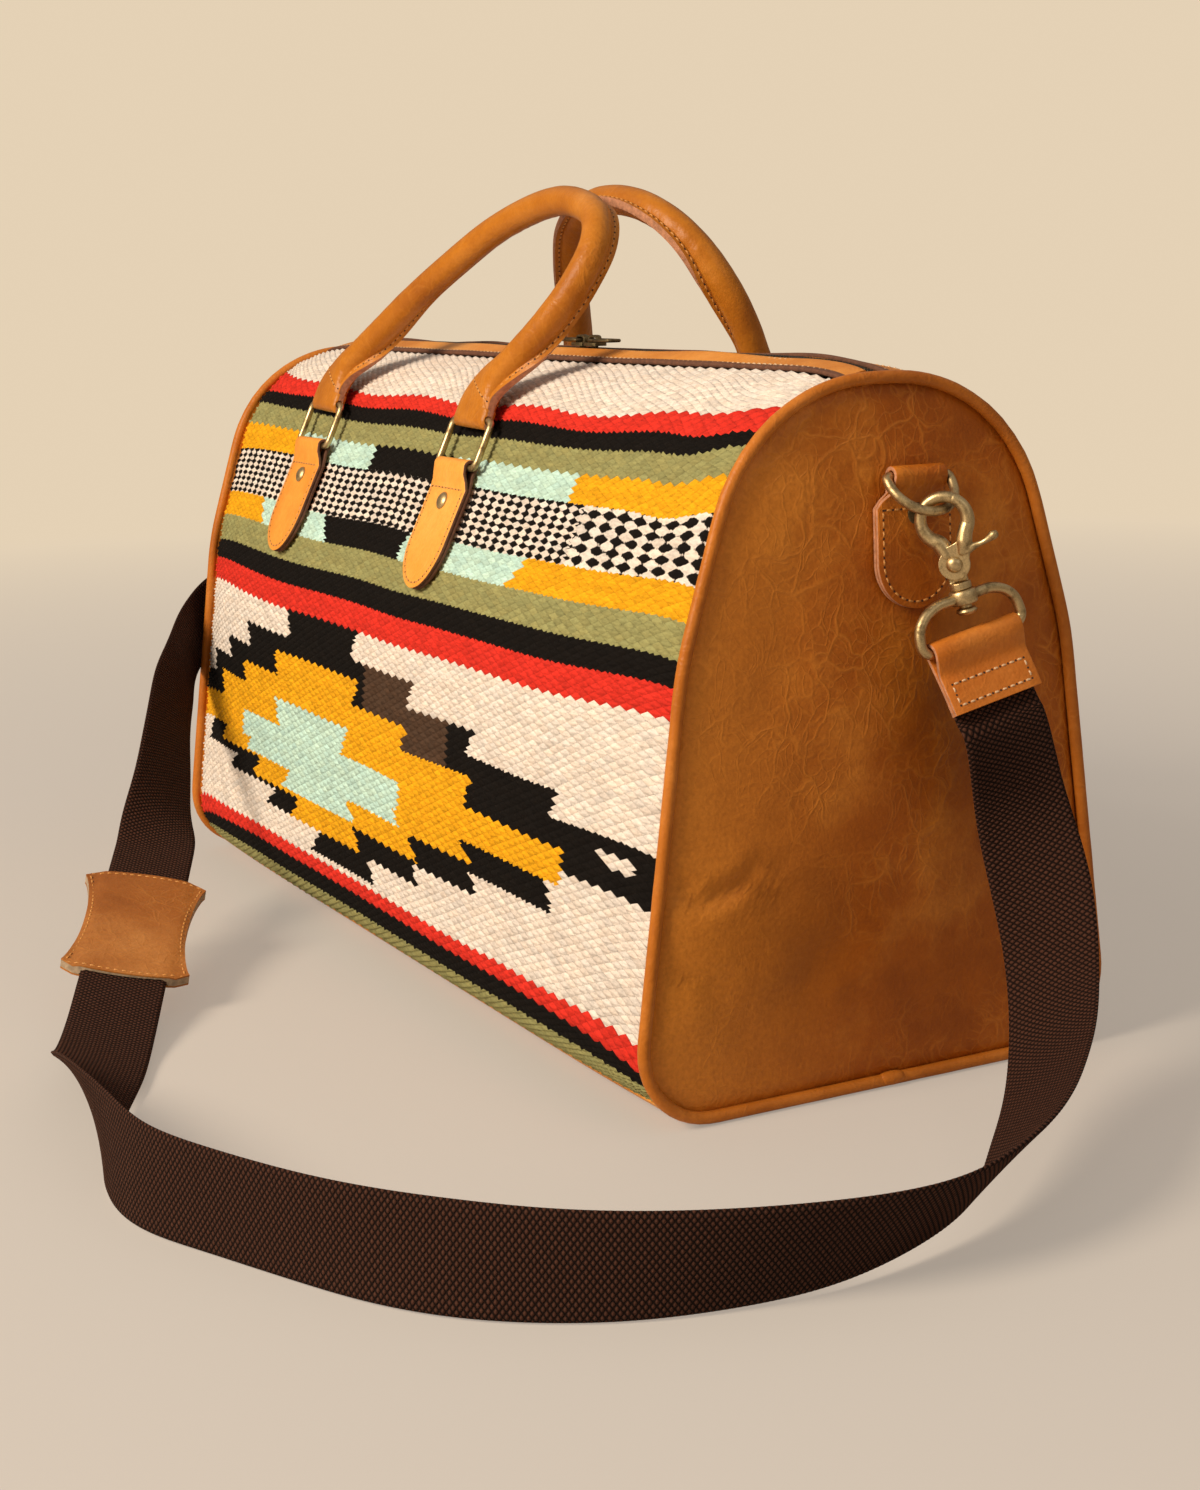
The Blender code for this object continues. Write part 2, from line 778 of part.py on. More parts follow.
def end_surface(across, height, side):
    """The end panel's outer point at (across, height) and its outward normal."""
    rim = np.array(end_outline(panel_inset()))
    angles = np.unwrap(np.arctan2(rim[:, 1] - END_CENTRE_HEIGHT, rim[:, 0]))
    reach = np.hypot(rim[:, 0], rim[:, 1] - END_CENTRE_HEIGHT)
    order = np.argsort(angles)

    def depth(y, z):
        angle = math.atan2(z - END_CENTRE_HEIGHT, y)
        angle = angles.min() + (angle - angles.min()) % (2 * math.pi)
        share = math.hypot(y, z - END_CENTRE_HEIGHT) / np.interp(angle, angles[order], reach[order])
        return panel_start() + END_LEATHER + END_BULGE * (1 - share**2)

    step = 0.004
    slope_y = (depth(across + step, height) - depth(across - step, height)) / (2 * step)
    slope_z = (depth(across, height + step) - depth(across, height - step)) / (2 * step)
    place = Vector((side * depth(across, height), across, height))
    return place, Vector((side, -slope_y, -slope_z)).normalized()


def piping(name, side):
    points = [(side * BAG_LENGTH / 2, across, height) for across, height in end_outline(0.0)]
    made = wire(name, points, PIPING_RADIUS, leather(), cyclic=True)
    return made


def lining_end(name, side):
    rim = end_outline(lining_inset() + PIPING_RADIUS)
    x = side * end_x()
    inner = x - side * LINING_THICK
    rings = [[Vector((place, across, height)) for across, height in rim] for place in (inner, x)]
    return loft(name, rings, lining_cloth())


# The zip


def zip_band(name, side):
    arcs = [BAND_INNER, (BAND_INNER + BAND_OUTER) / 2, BAND_OUTER]

    def polygon_at(_):
        outer = [(arc, -BAND_RAISED) for arc in arcs]
        inner = [(arc, LEATHER - BAND_RAISED) for arc in reversed(arcs)]
        return outer + inner

    return wall_strip(name, polygon_at, leather(), side)


def zip_tape(name, side):
    top = LEATHER - BAND_RAISED + GAP

    under = [TEETH_OUTER, BAND_INNER, (BAND_INNER + BAND_OUTER) / 2, TAPE_OUTER]
    lean = (RIDGE_RISE + MID_SHOULDER_DROP) / (SHOULDER_HALF - MID_SHOULDER_IN)

    def polygon_at(_):
        ring = [(TEETH_GAP / 2 + TEETH_TOP * lean, TEETH_TOP), (TEETH_OUTER, TEETH_TOP)]
        ring += [(arc, top) for arc in under]
        ring += [(arc, top + TAPE_THICK) for arc in reversed(under)]
        ring += [(TEETH_OUTER, TEETH_BOTTOM), (TEETH_GAP / 2 + TEETH_BOTTOM * lean, TEETH_BOTTOM)]
        return ring

    return wall_strip(name, polygon_at, tape(), side)


def zip_height():
    return wall_point(0.0, 0.0)[0].z


def slider_x(side):
    return SLIDER_MEETING + side * SLIDER_PITCH / 2


def pull_axis(side):
    """The place of a pull's hinge, under the slider's bridge."""
    top = zip_height() + SLIDER_TOP_GAP + SLIDER_PLATE
    return Vector((slider_x(side), 0.0, top + GAP + PULL_WIRE))


def zip_slider(name, side):
    """Two plates joined by a neck between the rows of teeth, with the pull's bridge on top."""
    x, top = slider_x(side), zip_height()
    half = SLIDER_WIDTH / 2
    end = SLIDER_LENGTH / 2
    low = top + SLIDER_TOP_GAP
    high = low + SLIDER_PLATE
    bottom = top - SLIDER_BOTTOM_DEPTH
    made = box(name, (x - end, -half, low), (x + end, half, high), brass())
    under = box(
        f"{name}_under", (x - end, -half, bottom - SLIDER_PLATE), (x + end, half, bottom)
    )
    neck = box(
        f"{name}_neck",
        (x - side * end * 0.8, -SLIDER_NECK / 2, bottom - SLIDER_PLATE / 2),
        (x - side * end * 0.2, SLIDER_NECK / 2, low + SLIDER_PLATE / 2),
    )
    rise = high + BRIDGE_HEIGHT
    outline = [
        (x - BRIDGE_LENGTH / 2, high - 0.0005),
        (x + BRIDGE_LENGTH / 2, high - 0.0005),
        (x + BRIDGE_LENGTH / 2, rise - 0.0012),
        (x + BRIDGE_LENGTH / 2 - 0.0012, rise),
        (x - BRIDGE_LENGTH / 2 + 0.0012, rise),
        (x - BRIDGE_LENGTH / 2, rise - 0.0012),
    ]
    room = BRIDGE_LENGTH / 2 - 0.0012
    hole = [(x - room, high), (x + room, high), (x + room, rise - 0.0012), (x - room, rise - 0.0012)]
    bridge = plate(f"{name}_bridge", outline, BRIDGE_WIDTH, None)
    opening = plate(f"{name}_opening", hole, BRIDGE_WIDTH * 2, None)
    boolean(bridge, opening)
    for piece in (under, neck, bridge):
        boolean(made, piece, "UNION")
    return made


def zip_pull(name, side):
    """A wire loop that hinges under the bridge and lies along the zip."""
    axis = pull_axis(side)
    half = PULL_WIDTH / 2
    bend = 0.0016
    length = side * PULL_LENGTH
    corners = [(0, -half), (length, -half), (length, half), (0, half)]
    points = []
    for k, (along, across) in enumerate(corners):
        before, after = corners[k - 1], corners[(k + 1) % 4]
        for other in (before, after):
            step = Vector((other[0] - along, other[1] - across)).normalized() * bend
            points.append((axis.x + along + step.x, axis.y + across + step.y, axis.z))
    return wire(name, points, PULL_WIRE, brass(), cyclic=True, resolution=1)


# Leather that folds round a bar


def fold_side(bar_radius, layer, back, front):
    """Leather folded round a bar and laid down doubled, seen from its side as (depth, height) points.

    back and front are the doubled part's faces from top to bottom. Also gives the bar's hole.
    """
    hole = bar_radius + GAP
    outer = hole + layer
    first = math.atan2(back[0][1], back[0][0])
    steps = 8
    sweep = math.radians(195)
    outline = [
        (outer * math.cos(first + sweep * k / steps), outer * math.sin(first + sweep * k / steps))
        for k in range(steps + 1)
    ]
    neck = -outer * 1.8
    heights = [height for _, height in front]
    outline.append((float(np.interp(-neck, np.negative(heights), [depth for depth, _ in front])), neck))
    outline += [point for point in front if point[1] < neck - 0.001]
    outline += back[:0:-1]
    return outline, circle(hole, 10)


def tongue_front(loop_width, width, length, tip, top):
    """The front outline of a chape: narrow at its loop, with a rounded tip."""
    half, loop = width / 2, loop_width / 2
    shoulder = -top * 1.6
    outline = [(-loop, top * 1.2), (loop, top * 1.2), (loop, shoulder), (half, shoulder * 1.8)]
    steps = 8
    for k in range(steps + 1):
        angle = math.pi * k / steps
        outline.append((half * math.cos(angle), -length + tip - tip * math.sin(angle)))
    outline += [(-half, shoulder * 1.8), (-loop, shoulder)]
    return outline


def folded_leather(name, frame, bar_radius, layer, faces, front_outline, look):
    """Leather folded round the frame's local X axis, cut to a front outline."""
    side, hole = fold_side(bar_radius, layer, *faces)
    reach = max(abs(across) for across, _ in front_outline) * 2 + 0.01
    made = plate(name, side, reach, look, holes=[hole])
    made.data.transform(Matrix.Rotation(math.pi / 2, 4, "Z"))
    trim = plate(f"{name}_trim", front_outline, 0.05, None)
    boolean(made, trim, "INTERSECT")
    made.matrix_world = frame
    trim.matrix_world = frame
    return made


def rivet(name, frame, head, dome, shank, length, look):
    """A rivet whose head stands outward and whose shank runs inward from the frame's origin."""
    profile = [(0.0, dome), (head * 0.55, dome * 0.85), (head * 0.9, dome * 0.42), (head, 0.0)]
    profile += [(shank, 0.0), (shank, -length), (0.0, -length)]
    made = turned(name, profile, look)
    made.matrix_world = frame @ Matrix.Rotation(math.pi / 2, 4, "X")
    shade_round(made)
    return made


# Handles


def handle_centre(side):
    return HANDLE_FRONT_CENTRE if side < 0 else HANDLE_BACK_CENTRE


def chape_x(side, end):
    """Where a chape sits: end is +1 at the near one and -1 at the far one."""
    return handle_centre(side) + end * HANDLE_SPREAD / 2


def bar_stand():
    """How far a ring's lower bar stands off the wall."""
    return GAP + CHAPE_LAYER + GAP + RING_WIRE


def lower_bar(side, end):
    """The lower bar's centre and the wall's outward normal there, equal for both ends of a handle."""
    place, normal = wall_point(0.0, CHAPE_ARC, 0.0, side)
    centre = place + normal * bar_stand()
    return Vector((chape_x(side, end), centre.y, centre.z)), normal


def tongue_frame(side, end):
    """A chape's frame: origin on the bar, local Z up the wall."""
    bar, _ = lower_bar(side, end)
    _, normal = wall_point(0.0, CHAPE_ARC + CHAPE_LENGTH / 2, 0.0, side)
    return outward_frame(bar, normal, (0.0, -side * normal.z, side * normal.y))


def in_frame(frame, place):
    """A world point as (depth, height) in a frame."""
    local = frame.inverted() @ place
    return local.y, local.z


def chape(name, side, end):
    top = RING_WIRE + GAP + CHAPE_LAYER
    outline = tongue_front(LOOP_WIDTH, CHAPE_WIDTH, CHAPE_LENGTH, CHAPE_TIP, top)
    frame = tongue_frame(side, end)
    steps = 6
    faces = []
    for inset in (-GAP, -GAP - 2 * CHAPE_LAYER):
        arcs = [CHAPE_ARC + CHAPE_LENGTH * 1.05 * k / steps for k in range(steps + 1)]
        faces.append([in_frame(frame, wall_point(0.0, arc, inset, side)[0]) for arc in arcs])
    return folded_leather(name, frame, RING_WIRE, CHAPE_LAYER, faces, outline, leather())


def chape_rivet_frame(side, end):
    """Where a chape's rivet enters its outer face."""
    place, normal = wall_point(0.0, CHAPE_ARC + CHAPE_RIVET_DROP, -GAP - 2 * CHAPE_LAYER, side)
    place.x = chape_x(side, end)
    return outward_frame(place, normal, (0.0, -side * normal.z, side * normal.y))


def ring_direction(side):
    """From a ring's lower bar to its upper bar."""
    return Vector((0.0, -side * math.sin(RING_LEAN), math.cos(RING_LEAN)))


def upper_bar(side, end):
    return lower_bar(side, end)[0] + ring_direction(side) * RING_RISE


def handle_ring(name, side, end):
    """A rectangular wire ring with rounded corners."""
    low, up = lower_bar(side, end)[0], ring_direction(side)
    half = RING_INNER / 2 + RING_WIRE
    bend = RING_BEND
    steps = 2
    points = []
    for x_sign, z_sign in ((1, 0), (1, 1), (-1, 1), (-1, 0)):
        centre_x = x_sign * (half - bend)
        centre_z = RING_RISE * z_sign + bend * (1 - 2 * z_sign)
        first = {(1, 0): -90, (1, 1): 0, (-1, 1): 90, (-1, 0): 180}[(x_sign, z_sign)]
        for k in range(steps + 1):
            angle = math.radians(first + 90 * k / steps)
            along = centre_x + bend * math.cos(angle)
            rise = centre_z + bend * math.sin(angle)
            points.append(low + Vector((along, 0.0, 0.0)) + up * rise)
    return wire(name, points, RING_WIRE, brass(), cyclic=True)


def smooth_path(points, per_span):
    """Points of a Catmull-Rom curve through the given ones."""
    padded = [points[0] * 2 - points[1], *points, points[-1] * 2 - points[-2]]
    path = []
    for before, start, end, after in zip(padded, padded[1:], padded[2:], padded[3:]):
        for k in range(per_span):
            t = k / per_span
            path.append(
                0.5
                * (
                    2 * start
                    + (end - before) * t
                    + (2 * before - 5 * start + 4 * end - after) * t**2
                    + (3 * start - before - 3 * end + after) * t**3
                )
            )
    path.append(points[-1].copy())
    return path


def handle_route(side):
    """The handle's middle line from its far bar to its near bar."""
    far, near = upper_bar(side, -1), upper_bar(side, 1)
    rise = CROWN_HEIGHT - far.z
    crown_y = side * CROWN_OFFSET
    route = []
    for along, up in FRONT_ARCH if side < 0 else BACK_ARCH:
        x = far.x + along * (near.x - far.x)
        route.append(Vector((x, far.y + (crown_y - far.y) * up**1.1, far.z + rise * up)))
    return route


def handle_section(centre, tangent, inward, flatness, thinning):
    """A section: round with a fin on its inner side, or wide and flat at the ends."""
    half_wide = HANDLE_RADIUS + (HANDLE_END_WIDTH / 2 - HANDLE_RADIUS) * flatness
    half_thick = (HANDLE_RADIUS + (HANDLE_END_THICK / 2 - HANDLE_RADIUS) * flatness) * thinning
    power = 1.0 - 0.55 * flatness
    fin = FIN_DEPTH * (1 - flatness)
    normal = (inward - tangent * inward.dot(tangent)).normalized()
    across = tangent.cross(normal)
    ring = []
    count = HANDLE_SECTION_POINTS
    for k in range(count):
        angle = 2 * math.pi * (k + 0.5) / count
        cosine, sine = math.cos(angle), math.sin(angle)
        wide = math.copysign(abs(cosine) ** power, cosine) * half_wide
        thick = math.copysign(abs(sine) ** power, sine) * half_thick
        ring.append(centre + normal * wide + across * thick)
        if k == count - 1:
            for edge in (-1, 1):
                place = normal * (half_wide + fin) + across * edge * FIN_WIDTH / 2
                ring.append(centre + place)
    return ring


def handle(name, side):
    """A rolled leather handle whose flattened ends fold round the rings' upper bars."""
    route = smooth_path(handle_route(side), 2)
    centre = sum(route, Vector()) / len(route)
    thinning = [1.0] * len(route)
    for share, thin in ((0.72, 0.72), (1.0, 0.25)):
        below = HANDLE_END_THICK / 2 * share
        start = upper_bar(side, -1) + (route[-1] - route[-2]).normalized() * below
        start.x = upper_bar(side, -1).x
        end = start.copy()
        end.x = upper_bar(side, 1).x
        route = [start, *route, end]
        thinning = [thin, *thinning, thin]
    arcs = [0.0]
    for here, after in zip(route, route[1:]):
        arcs.append(arcs[-1] + (after - here).length)
    centre.z = upper_bar(side, 1).z
    along = Vector((1.0, 0.0, 0.0))
    rings = []
    for k, place in enumerate(route):
        tangent = (route[min(k + 1, len(route) - 1)] - route[max(k - 1, 0)]).normalized()
        distance = min(arcs[k], arcs[-1] - arcs[k])
        blend = max(0.0, 1.0 - distance / 0.034)
        flatness = blend * blend * (3 - 2 * blend)
        flat_wide = -along if k > len(route) / 2 else along
        inward = (centre - place).normalized().lerp(flat_wide, min(1.0, flatness * 1.6))
        rings.append(handle_section(place, tangent, inward, flatness, thinning[k]))
    made = loft(name, rings, leather())
    for end in (-1, 1):
        bar = upper_bar(side, end)
        reach = Vector((HANDLE_END_WIDTH, 0.0, 0.0))
        hole = rod(f"{name}_eye_{end}", RING_WIRE + GAP, bar - reach, bar + reach, sides=10)
        boolean(made, hole)
    shade_round(made, 50)
    return made


# D rings, snap hooks and bails


def d_bar(side):
    """The D ring's straight bar, in the end chape's fold."""
    surface, normal = end_surface(END_CHAPE_ACROSS, END_BAR_HEIGHT, side)
    stand = END_CHAPE_STAND + CHAPE_LAYER + GAP + D_WIRE
    return surface + normal * stand, normal


def end_chape_frame(side):
    bar, _ = d_bar(side)
    _, normal = end_surface(END_CHAPE_ACROSS, END_BAR_HEIGHT - END_CHAPE_LENGTH / 2, side)
    up = Vector((0.0, 0.0, 1.0))
    up = (up - normal * up.dot(normal)).normalized()
    return outward_frame(bar, normal, up)


def end_chape_point(side, drop, stand):
    """A point a drop below the bar along the end panel, standing off it, and the normal there."""
    place, normal = end_surface(END_CHAPE_ACROSS, END_BAR_HEIGHT - drop, side)
    return place + normal * stand, normal


def end_chape(name, side):
    top = D_WIRE + GAP + CHAPE_LAYER
    outline = tongue_front(END_LOOP_WIDTH, END_CHAPE_WIDTH, END_CHAPE_LENGTH, END_CHAPE_TIP, top)
    frame = end_chape_frame(side)
    steps = 4
    faces = []
    for stand in (END_CHAPE_STAND, END_CHAPE_STAND + 2 * CHAPE_LAYER):
        drops = [END_CHAPE_LENGTH * 1.05 * k / steps for k in range(steps + 1)]
        faces.append([in_frame(frame, end_chape_point(side, drop, stand)[0]) for drop in drops])
    return folded_leather(name, frame, D_WIRE, CHAPE_LAYER, faces, outline, leather())


def end_rivet_frame(side):
    """Where an end chape's rivet enters its outer face."""
    place, normal = end_chape_point(side, END_RIVET_DROP, END_CHAPE_STAND + 2 * CHAPE_LAYER)
    return outward_frame(place, normal, (0.0, 0.0, 1.0))


def d_down(side):
    lean = D_LEAN_NEAR if side > 0 else D_LEAN_FAR
    return Vector((side * math.sin(lean), 0.0, -math.cos(lean)))


def d_origin(side):
    return end_chape_frame(side).translation


def d_wire_point(side, roll):
    """The D ring's wire at a roll angle from straight down, towards +Y."""
    down = d_down(side)
    across = Vector((0.0, 1.0, 0.0))
    centre = d_origin(side) + down * D_STRAIGHT
    return centre + (across * math.sin(roll) + down * math.cos(roll)) * D_RADIUS


def d_ring(name, side):
    steps = 9
    points = [d_wire_point(side, math.radians(-90 + 180 * k / steps)) for k in range(steps + 1)]
    origin = d_origin(side)
    bend = 0.0024
    width = D_RADIUS
    top = [
        origin + Vector((0.0, width - bend * 0.3, 0.0)) + d_down(side) * bend * 0.3,
        origin + Vector((0.0, width - bend, 0.0)),
        origin + Vector((0.0, -width + bend, 0.0)),
        origin + Vector((0.0, -width + bend * 0.3, 0.0)) + d_down(side) * bend * 0.3,
    ]
    return wire(name, points + top, D_WIRE, brass(), cyclic=True)


def roll_of(side):
    return NEAR_ROLL if side > 0 else FAR_ROLL


def hook_frame(side, turn=HOOK_TURN):
    """A hook's frame: origin at the eye's centre, local Z up along the hook."""
    roll = roll_of(side)
    lean = CHAIN_LEAN
    down = Vector((side * math.sin(lean) * math.cos(roll), math.sin(roll), -math.cos(roll) * math.cos(lean)))
    down.normalize()
    origin = d_wire_point(side, roll) + down * EYE_HANG
    frame = outward_frame(origin, (side, 0.0, 0.0), -down)
    return frame @ Matrix.Rotation(-turn, 4, "Z")


def arc_points(radius, first, last, steps, centre=(0.0, 0.0)):
    """Points of an arc in the local XZ plane, angles in degrees."""
    points = []
    for k in range(steps + 1):
        angle = math.radians(first + (last - first) * k / steps)
        points.append((centre[0] + radius * math.cos(angle), 0.0, centre[1] + radius * math.sin(angle)))
    return points


def hook_body(name, side):
    """The fixed half of a scissor snap hook, with its shank and swivel neck."""
    half = SHANK_WIDTH / 2
    eye = arc_points(EYE_RADIUS, 64, 232, 9)
    made = as_mesh(wire(name, [*eye, (-0.0035, 0.0, -PIVOT_DROP * 0.62)], EYE_WIRE, brass()))
    outline = [
        (-half * 1.08, -PIVOT_DROP * 0.56),
        (-0.0012, -PIVOT_DROP * 0.56),
        (half * 0.9, -PIVOT_DROP * 0.86),
        (half * 0.9, -PIVOT_DROP - half * 0.9),
        (NECK_RADIUS * 1.3, -COLLAR_DROP + COLLAR_THICK / 2 + GAP * 2),
        (-NECK_RADIUS * 1.3, -COLLAR_DROP + COLLAR_THICK / 2 + GAP * 2),
        (-half, -PIVOT_DROP - half * 0.9),
    ]
    shank = plate(f"{name}_shank", outline, SHANK_THICK, None)
    neck = rod(
        f"{name}_neck", NECK_RADIUS, (0, 0, -COLLAR_DROP + COLLAR_THICK), (0, 0, -NECK_END - 0.001)
    )
    ball = turned(
        f"{name}_ball",
        [
            (0.0, -NECK_END + 0.0004),
            (BALL_RADIUS * 0.85, -NECK_END),
            (BALL_RADIUS, -NECK_END - 0.0010),
            (BALL_RADIUS * 0.7, -NECK_END - 0.0024),
            (0.0, -NECK_END - 0.0028),
        ],
        None,
    )
    boolean(made, shank, "UNION")
    boolean(made, neck, "UNION")
    boolean(made, ball, "UNION")
    room = GATE_PLATE + 2 * GAP
    front = -SHANK_THICK / 2
    recess = box(
        f"{name}_recess",
        (-half * 1.6, front - 0.003, -PIVOT_DROP - half * 1.25),
        (half * 2.6, front + room, EYE_RADIUS * 0.0 - PIVOT_DROP * 0.40),
    )
    boolean(made, recess)
    pin_hole = rod(
        f"{name}_pin_hole", PIN_RADIUS + GAP, (0, -0.01, -PIVOT_DROP), (0, 0.01, -PIVOT_DROP)
    )
    boolean(made, pin_hole)
    frame = hook_frame(side)
    for piece in (made, shank, neck, ball, recess, pin_hole):
        piece.matrix_world = frame
    return made


def hook_gate(name, side):
    """The moving half: a plate on the pin, the eye's right side and the thumb lever."""
    half = SHANK_WIDTH / 2
    made = as_mesh(wire(name, arc_points(EYE_RADIUS, 56, -38, 6), EYE_WIRE, brass()))
    thick = GATE_PLATE
    depth = -SHANK_THICK / 2 + thick / 2
    outline = [
        (half * math.cos(math.radians(a)), -PIVOT_DROP + half * math.sin(math.radians(a)))
        for a in range(165, 346, 20)
    ]
    outline += [
        (half * 1.05, -PIVOT_DROP * 0.62),
        (EYE_RADIUS * 0.98, -EYE_RADIUS * 0.62),
        (EYE_RADIUS * 0.62, -EYE_RADIUS * 0.50),
        (half * 0.10, -PIVOT_DROP * 0.64),
    ]
    blade = plate(f"{name}_blade", outline, thick, None)
    blade.data.transform(Matrix.Translation((0.0, depth, 0.0)))
    lever = as_mesh(
        wire(
            f"{name}_lever",
            [
                (EYE_RADIUS * 0.62, depth * 0.5, -PIVOT_DROP * 0.56),
                (EYE_RADIUS * 1.2, depth, -PIVOT_DROP * 0.50),
                (EYE_RADIUS * 1.9, depth * 1.1, -PIVOT_DROP * 0.36),
            ],
            0.0011,
            brass(),
            resolution=1,
        )
    )
    boolean(made, blade, "UNION")
    boolean(made, lever, "UNION")
    pin_hole = rod(
        f"{name}_pin_hole", PIN_RADIUS + GAP, (0, -0.01, -PIVOT_DROP), (0, 0.01, -PIVOT_DROP)
    )
    boolean(made, pin_hole)
    frame = hook_frame(side)
    for piece in (made, blade, lever, pin_hole):
        piece.matrix_world = frame
    return made


def hook_pin(name, side):
    """The rivet that the gate turns on."""
    back = SHANK_THICK / 2 + GAP
    front = SHANK_THICK / 2 + GAP
    profile = [
        (0.0, front + 0.0013),
        (PIN_HEAD * 0.7, front + 0.0010),
        (PIN_HEAD, front),
        (PIN_RADIUS, front),
        (PIN_RADIUS, -back),
        (PIN_HEAD * 0.8, -back),
        (PIN_HEAD * 0.8, -back - 0.0006),
        (0.0, -back - 0.0006),
    ]
    made = turned(name, profile, brass(), steps=12)
    place = Matrix.Translation((0.0, 0.0, -PIVOT_DROP)) @ Matrix.Rotation(math.pi / 2, 4, "X")
    made.matrix_world = hook_frame(side) @ place
    shade_round(made)
    return made


def bail_frame(side):
    """A bail's frame: origin at its bar, local Z up to the collar."""
    return hook_frame(side, 0.0) @ Matrix.Translation((0.0, 0.0, -COLLAR_DROP - BAIL_BAR_DROP))


def strap_bail(name, side):
    """A D shaped bail with the collar that turns on the hook's neck."""
    rise = BAIL_BAR_DROP
    corner = 0.0035
    side_points = arc_points(corner, -90, 0, 3, (BAIL_HALF - corner, corner))
    top = [
        (BAIL_HALF, 0.0, rise * 0.35),
        (BAIL_HALF * 0.93, 0.0, rise * 0.64),
        (BAIL_HALF * 0.76, 0.0, rise * 0.87),
        (BAIL_HALF * 0.52, 0.0, rise * 0.99),
        (BAIL_HALF * 0.26, 0.0, rise),
    ]
    right = side_points + top
    left = [(-x, y, z) for x, y, z in reversed(right)]
    made = as_mesh(wire(name, right + left, BAIL_WIRE, brass(), cyclic=True))
    collar = rod(
        f"{name}_collar",
        COLLAR_RADIUS,
        (0, 0, rise - COLLAR_THICK / 2),
        (0, 0, rise + COLLAR_THICK / 2),
    )
    bore = rod(f"{name}_bore", NECK_RADIUS + GAP, (0, 0, rise - 0.01), (0, 0, rise + 0.01))
    boolean(made, collar, "UNION")
    boolean(made, bore)
    for piece in (made, collar, bore):
        piece.matrix_world = bail_frame(side)
    return made


def tab_frame(side):
    """A tab's frame on the bail's bar, leaning out at its lower edge."""
    return bail_frame(side) @ Matrix.Rotation(-TAB_LEAN, 4, "X")


def strap_tab(name, side):
    top = BAIL_WIRE + GAP + TAB_LAYER
    half = TAB_WIDTH / 2
    outline = [(-half, top * 1.2), (half, top * 1.2), (half, -TAB_LENGTH), (-half, -TAB_LENGTH)]
    faces = [[(depth, 0.0), (depth, -TAB_LENGTH)] for depth in (top, top - 2 * TAB_LAYER)]
    return folded_leather(name, tab_frame(side), BAIL_WIRE, TAB_LAYER, faces, outline, leather())


# The shoulder strap: middle line and the direction of the edge that is uppermost along the front
STRAP_ROUTE = [
    ((0.2965, 0.0420, 0.118), (0.20, 1.00, 0.20)),
    ((0.3080, 0.0420, 0.096), (0.50, 0.90, 0.20)),
    ((0.3190, 0.0400, 0.073), (0.80, 0.60, 0.30)),
    ((0.3300, 0.0340, 0.051), (0.80, 0.50, 0.40)),
    ((0.3460, 0.0210, 0.040), (0.70, 0.50, 0.50)),
    ((0.3680, 0.0000, 0.034), (0.60, 0.50, 0.60)),
    ((0.3920, -0.0260, 0.030), (0.60, 0.40, 0.60)),
    ((0.4090, -0.0500, 0.025), (0.60, 0.20, 0.80)),
    ((0.4180, -0.0760, 0.021), (0.60, 0.10, 0.80)),
    ((0.4220, -0.1050, 0.0198), (0.50, 0.00, 0.90)),
    ((0.4200, -0.1340, 0.0195), (0.30, -0.10, 0.90)),
    ((0.4130, -0.1620, 0.0195), (0.20, -0.10, 1.00)),
    ((0.4030, -0.1880, 0.0195), (0.10, 0.00, 1.00)),
    ((0.3880, -0.2120, 0.0195), (0.00, 0.00, 1.00)),
    ((0.3690, -0.2330, 0.0195), (-0.10, 0.10, 1.00)),
    ((0.3460, -0.2520, 0.0195), (0.00, 0.10, 1.00)),
    ((0.3220, -0.2660, 0.0195), (0.00, 0.00, 1.00)),
    ((0.2980, -0.2780, 0.0195), (0.00, 0.00, 1.00)),
    ((0.2760, -0.2880, 0.0195), (0.00, 0.00, 1.00)),
    ((0.2530, -0.2990, 0.0200), (0.00, 0.10, 1.00)),
    ((0.2190, -0.3000, 0.0205), (0.00, 0.10, 1.00)),
    ((0.1820, -0.2950, 0.0195), (-0.10, -0.20, 0.95)),
    ((0.1520, -0.2880, 0.0175), (-0.20, -0.50, 0.85)),
    ((0.1260, -0.2810, 0.0135), (-0.30, -0.70, 0.60)),
    ((0.1050, -0.2720, 0.0095), (-0.38, -0.88, 0.36)),
    ((0.0840, -0.2640, 0.0075), (-0.36, -0.89, 0.30)),
    ((0.0600, -0.2540, 0.0092), (-0.27, -0.84, 0.46)),
    ((0.0200, -0.23575, 0.01945), (-0.27, -0.84, 0.46)),
    ((-0.0200, -0.2175, 0.0297), (-0.27, -0.84, 0.46)),
    ((-0.0600, -0.19925, 0.03995), (-0.27, -0.84, 0.46)),
    ((-0.1000, -0.1810, 0.0502), (-0.27, -0.84, 0.46)),
    ((-0.1180, -0.1730, 0.0620), (-0.05, -0.70, 0.68)),
    ((-0.1390, -0.1635, 0.0740), (0.00, -0.64, 0.74)),
    ((-0.1600, -0.1545, 0.0850), (0.04, -0.58, 0.80)),
    ((-0.1810, -0.1460, 0.0950), (0.04, -0.50, 0.86)),
    ((-0.2030, -0.1370, 0.1035), (0.04, -0.46, 0.88)),
    ((-0.2280, -0.1270, 0.1110), (0.03, -0.45, 0.88)),
    ((-0.2540, -0.1180, 0.1190), (-0.05, -0.48, 0.86)),
    ((-0.2780, -0.1060, 0.1270), (-0.20, -0.56, 0.80)),
    ((-0.2950, -0.0880, 0.1360), (-0.35, -0.64, 0.68)),
]


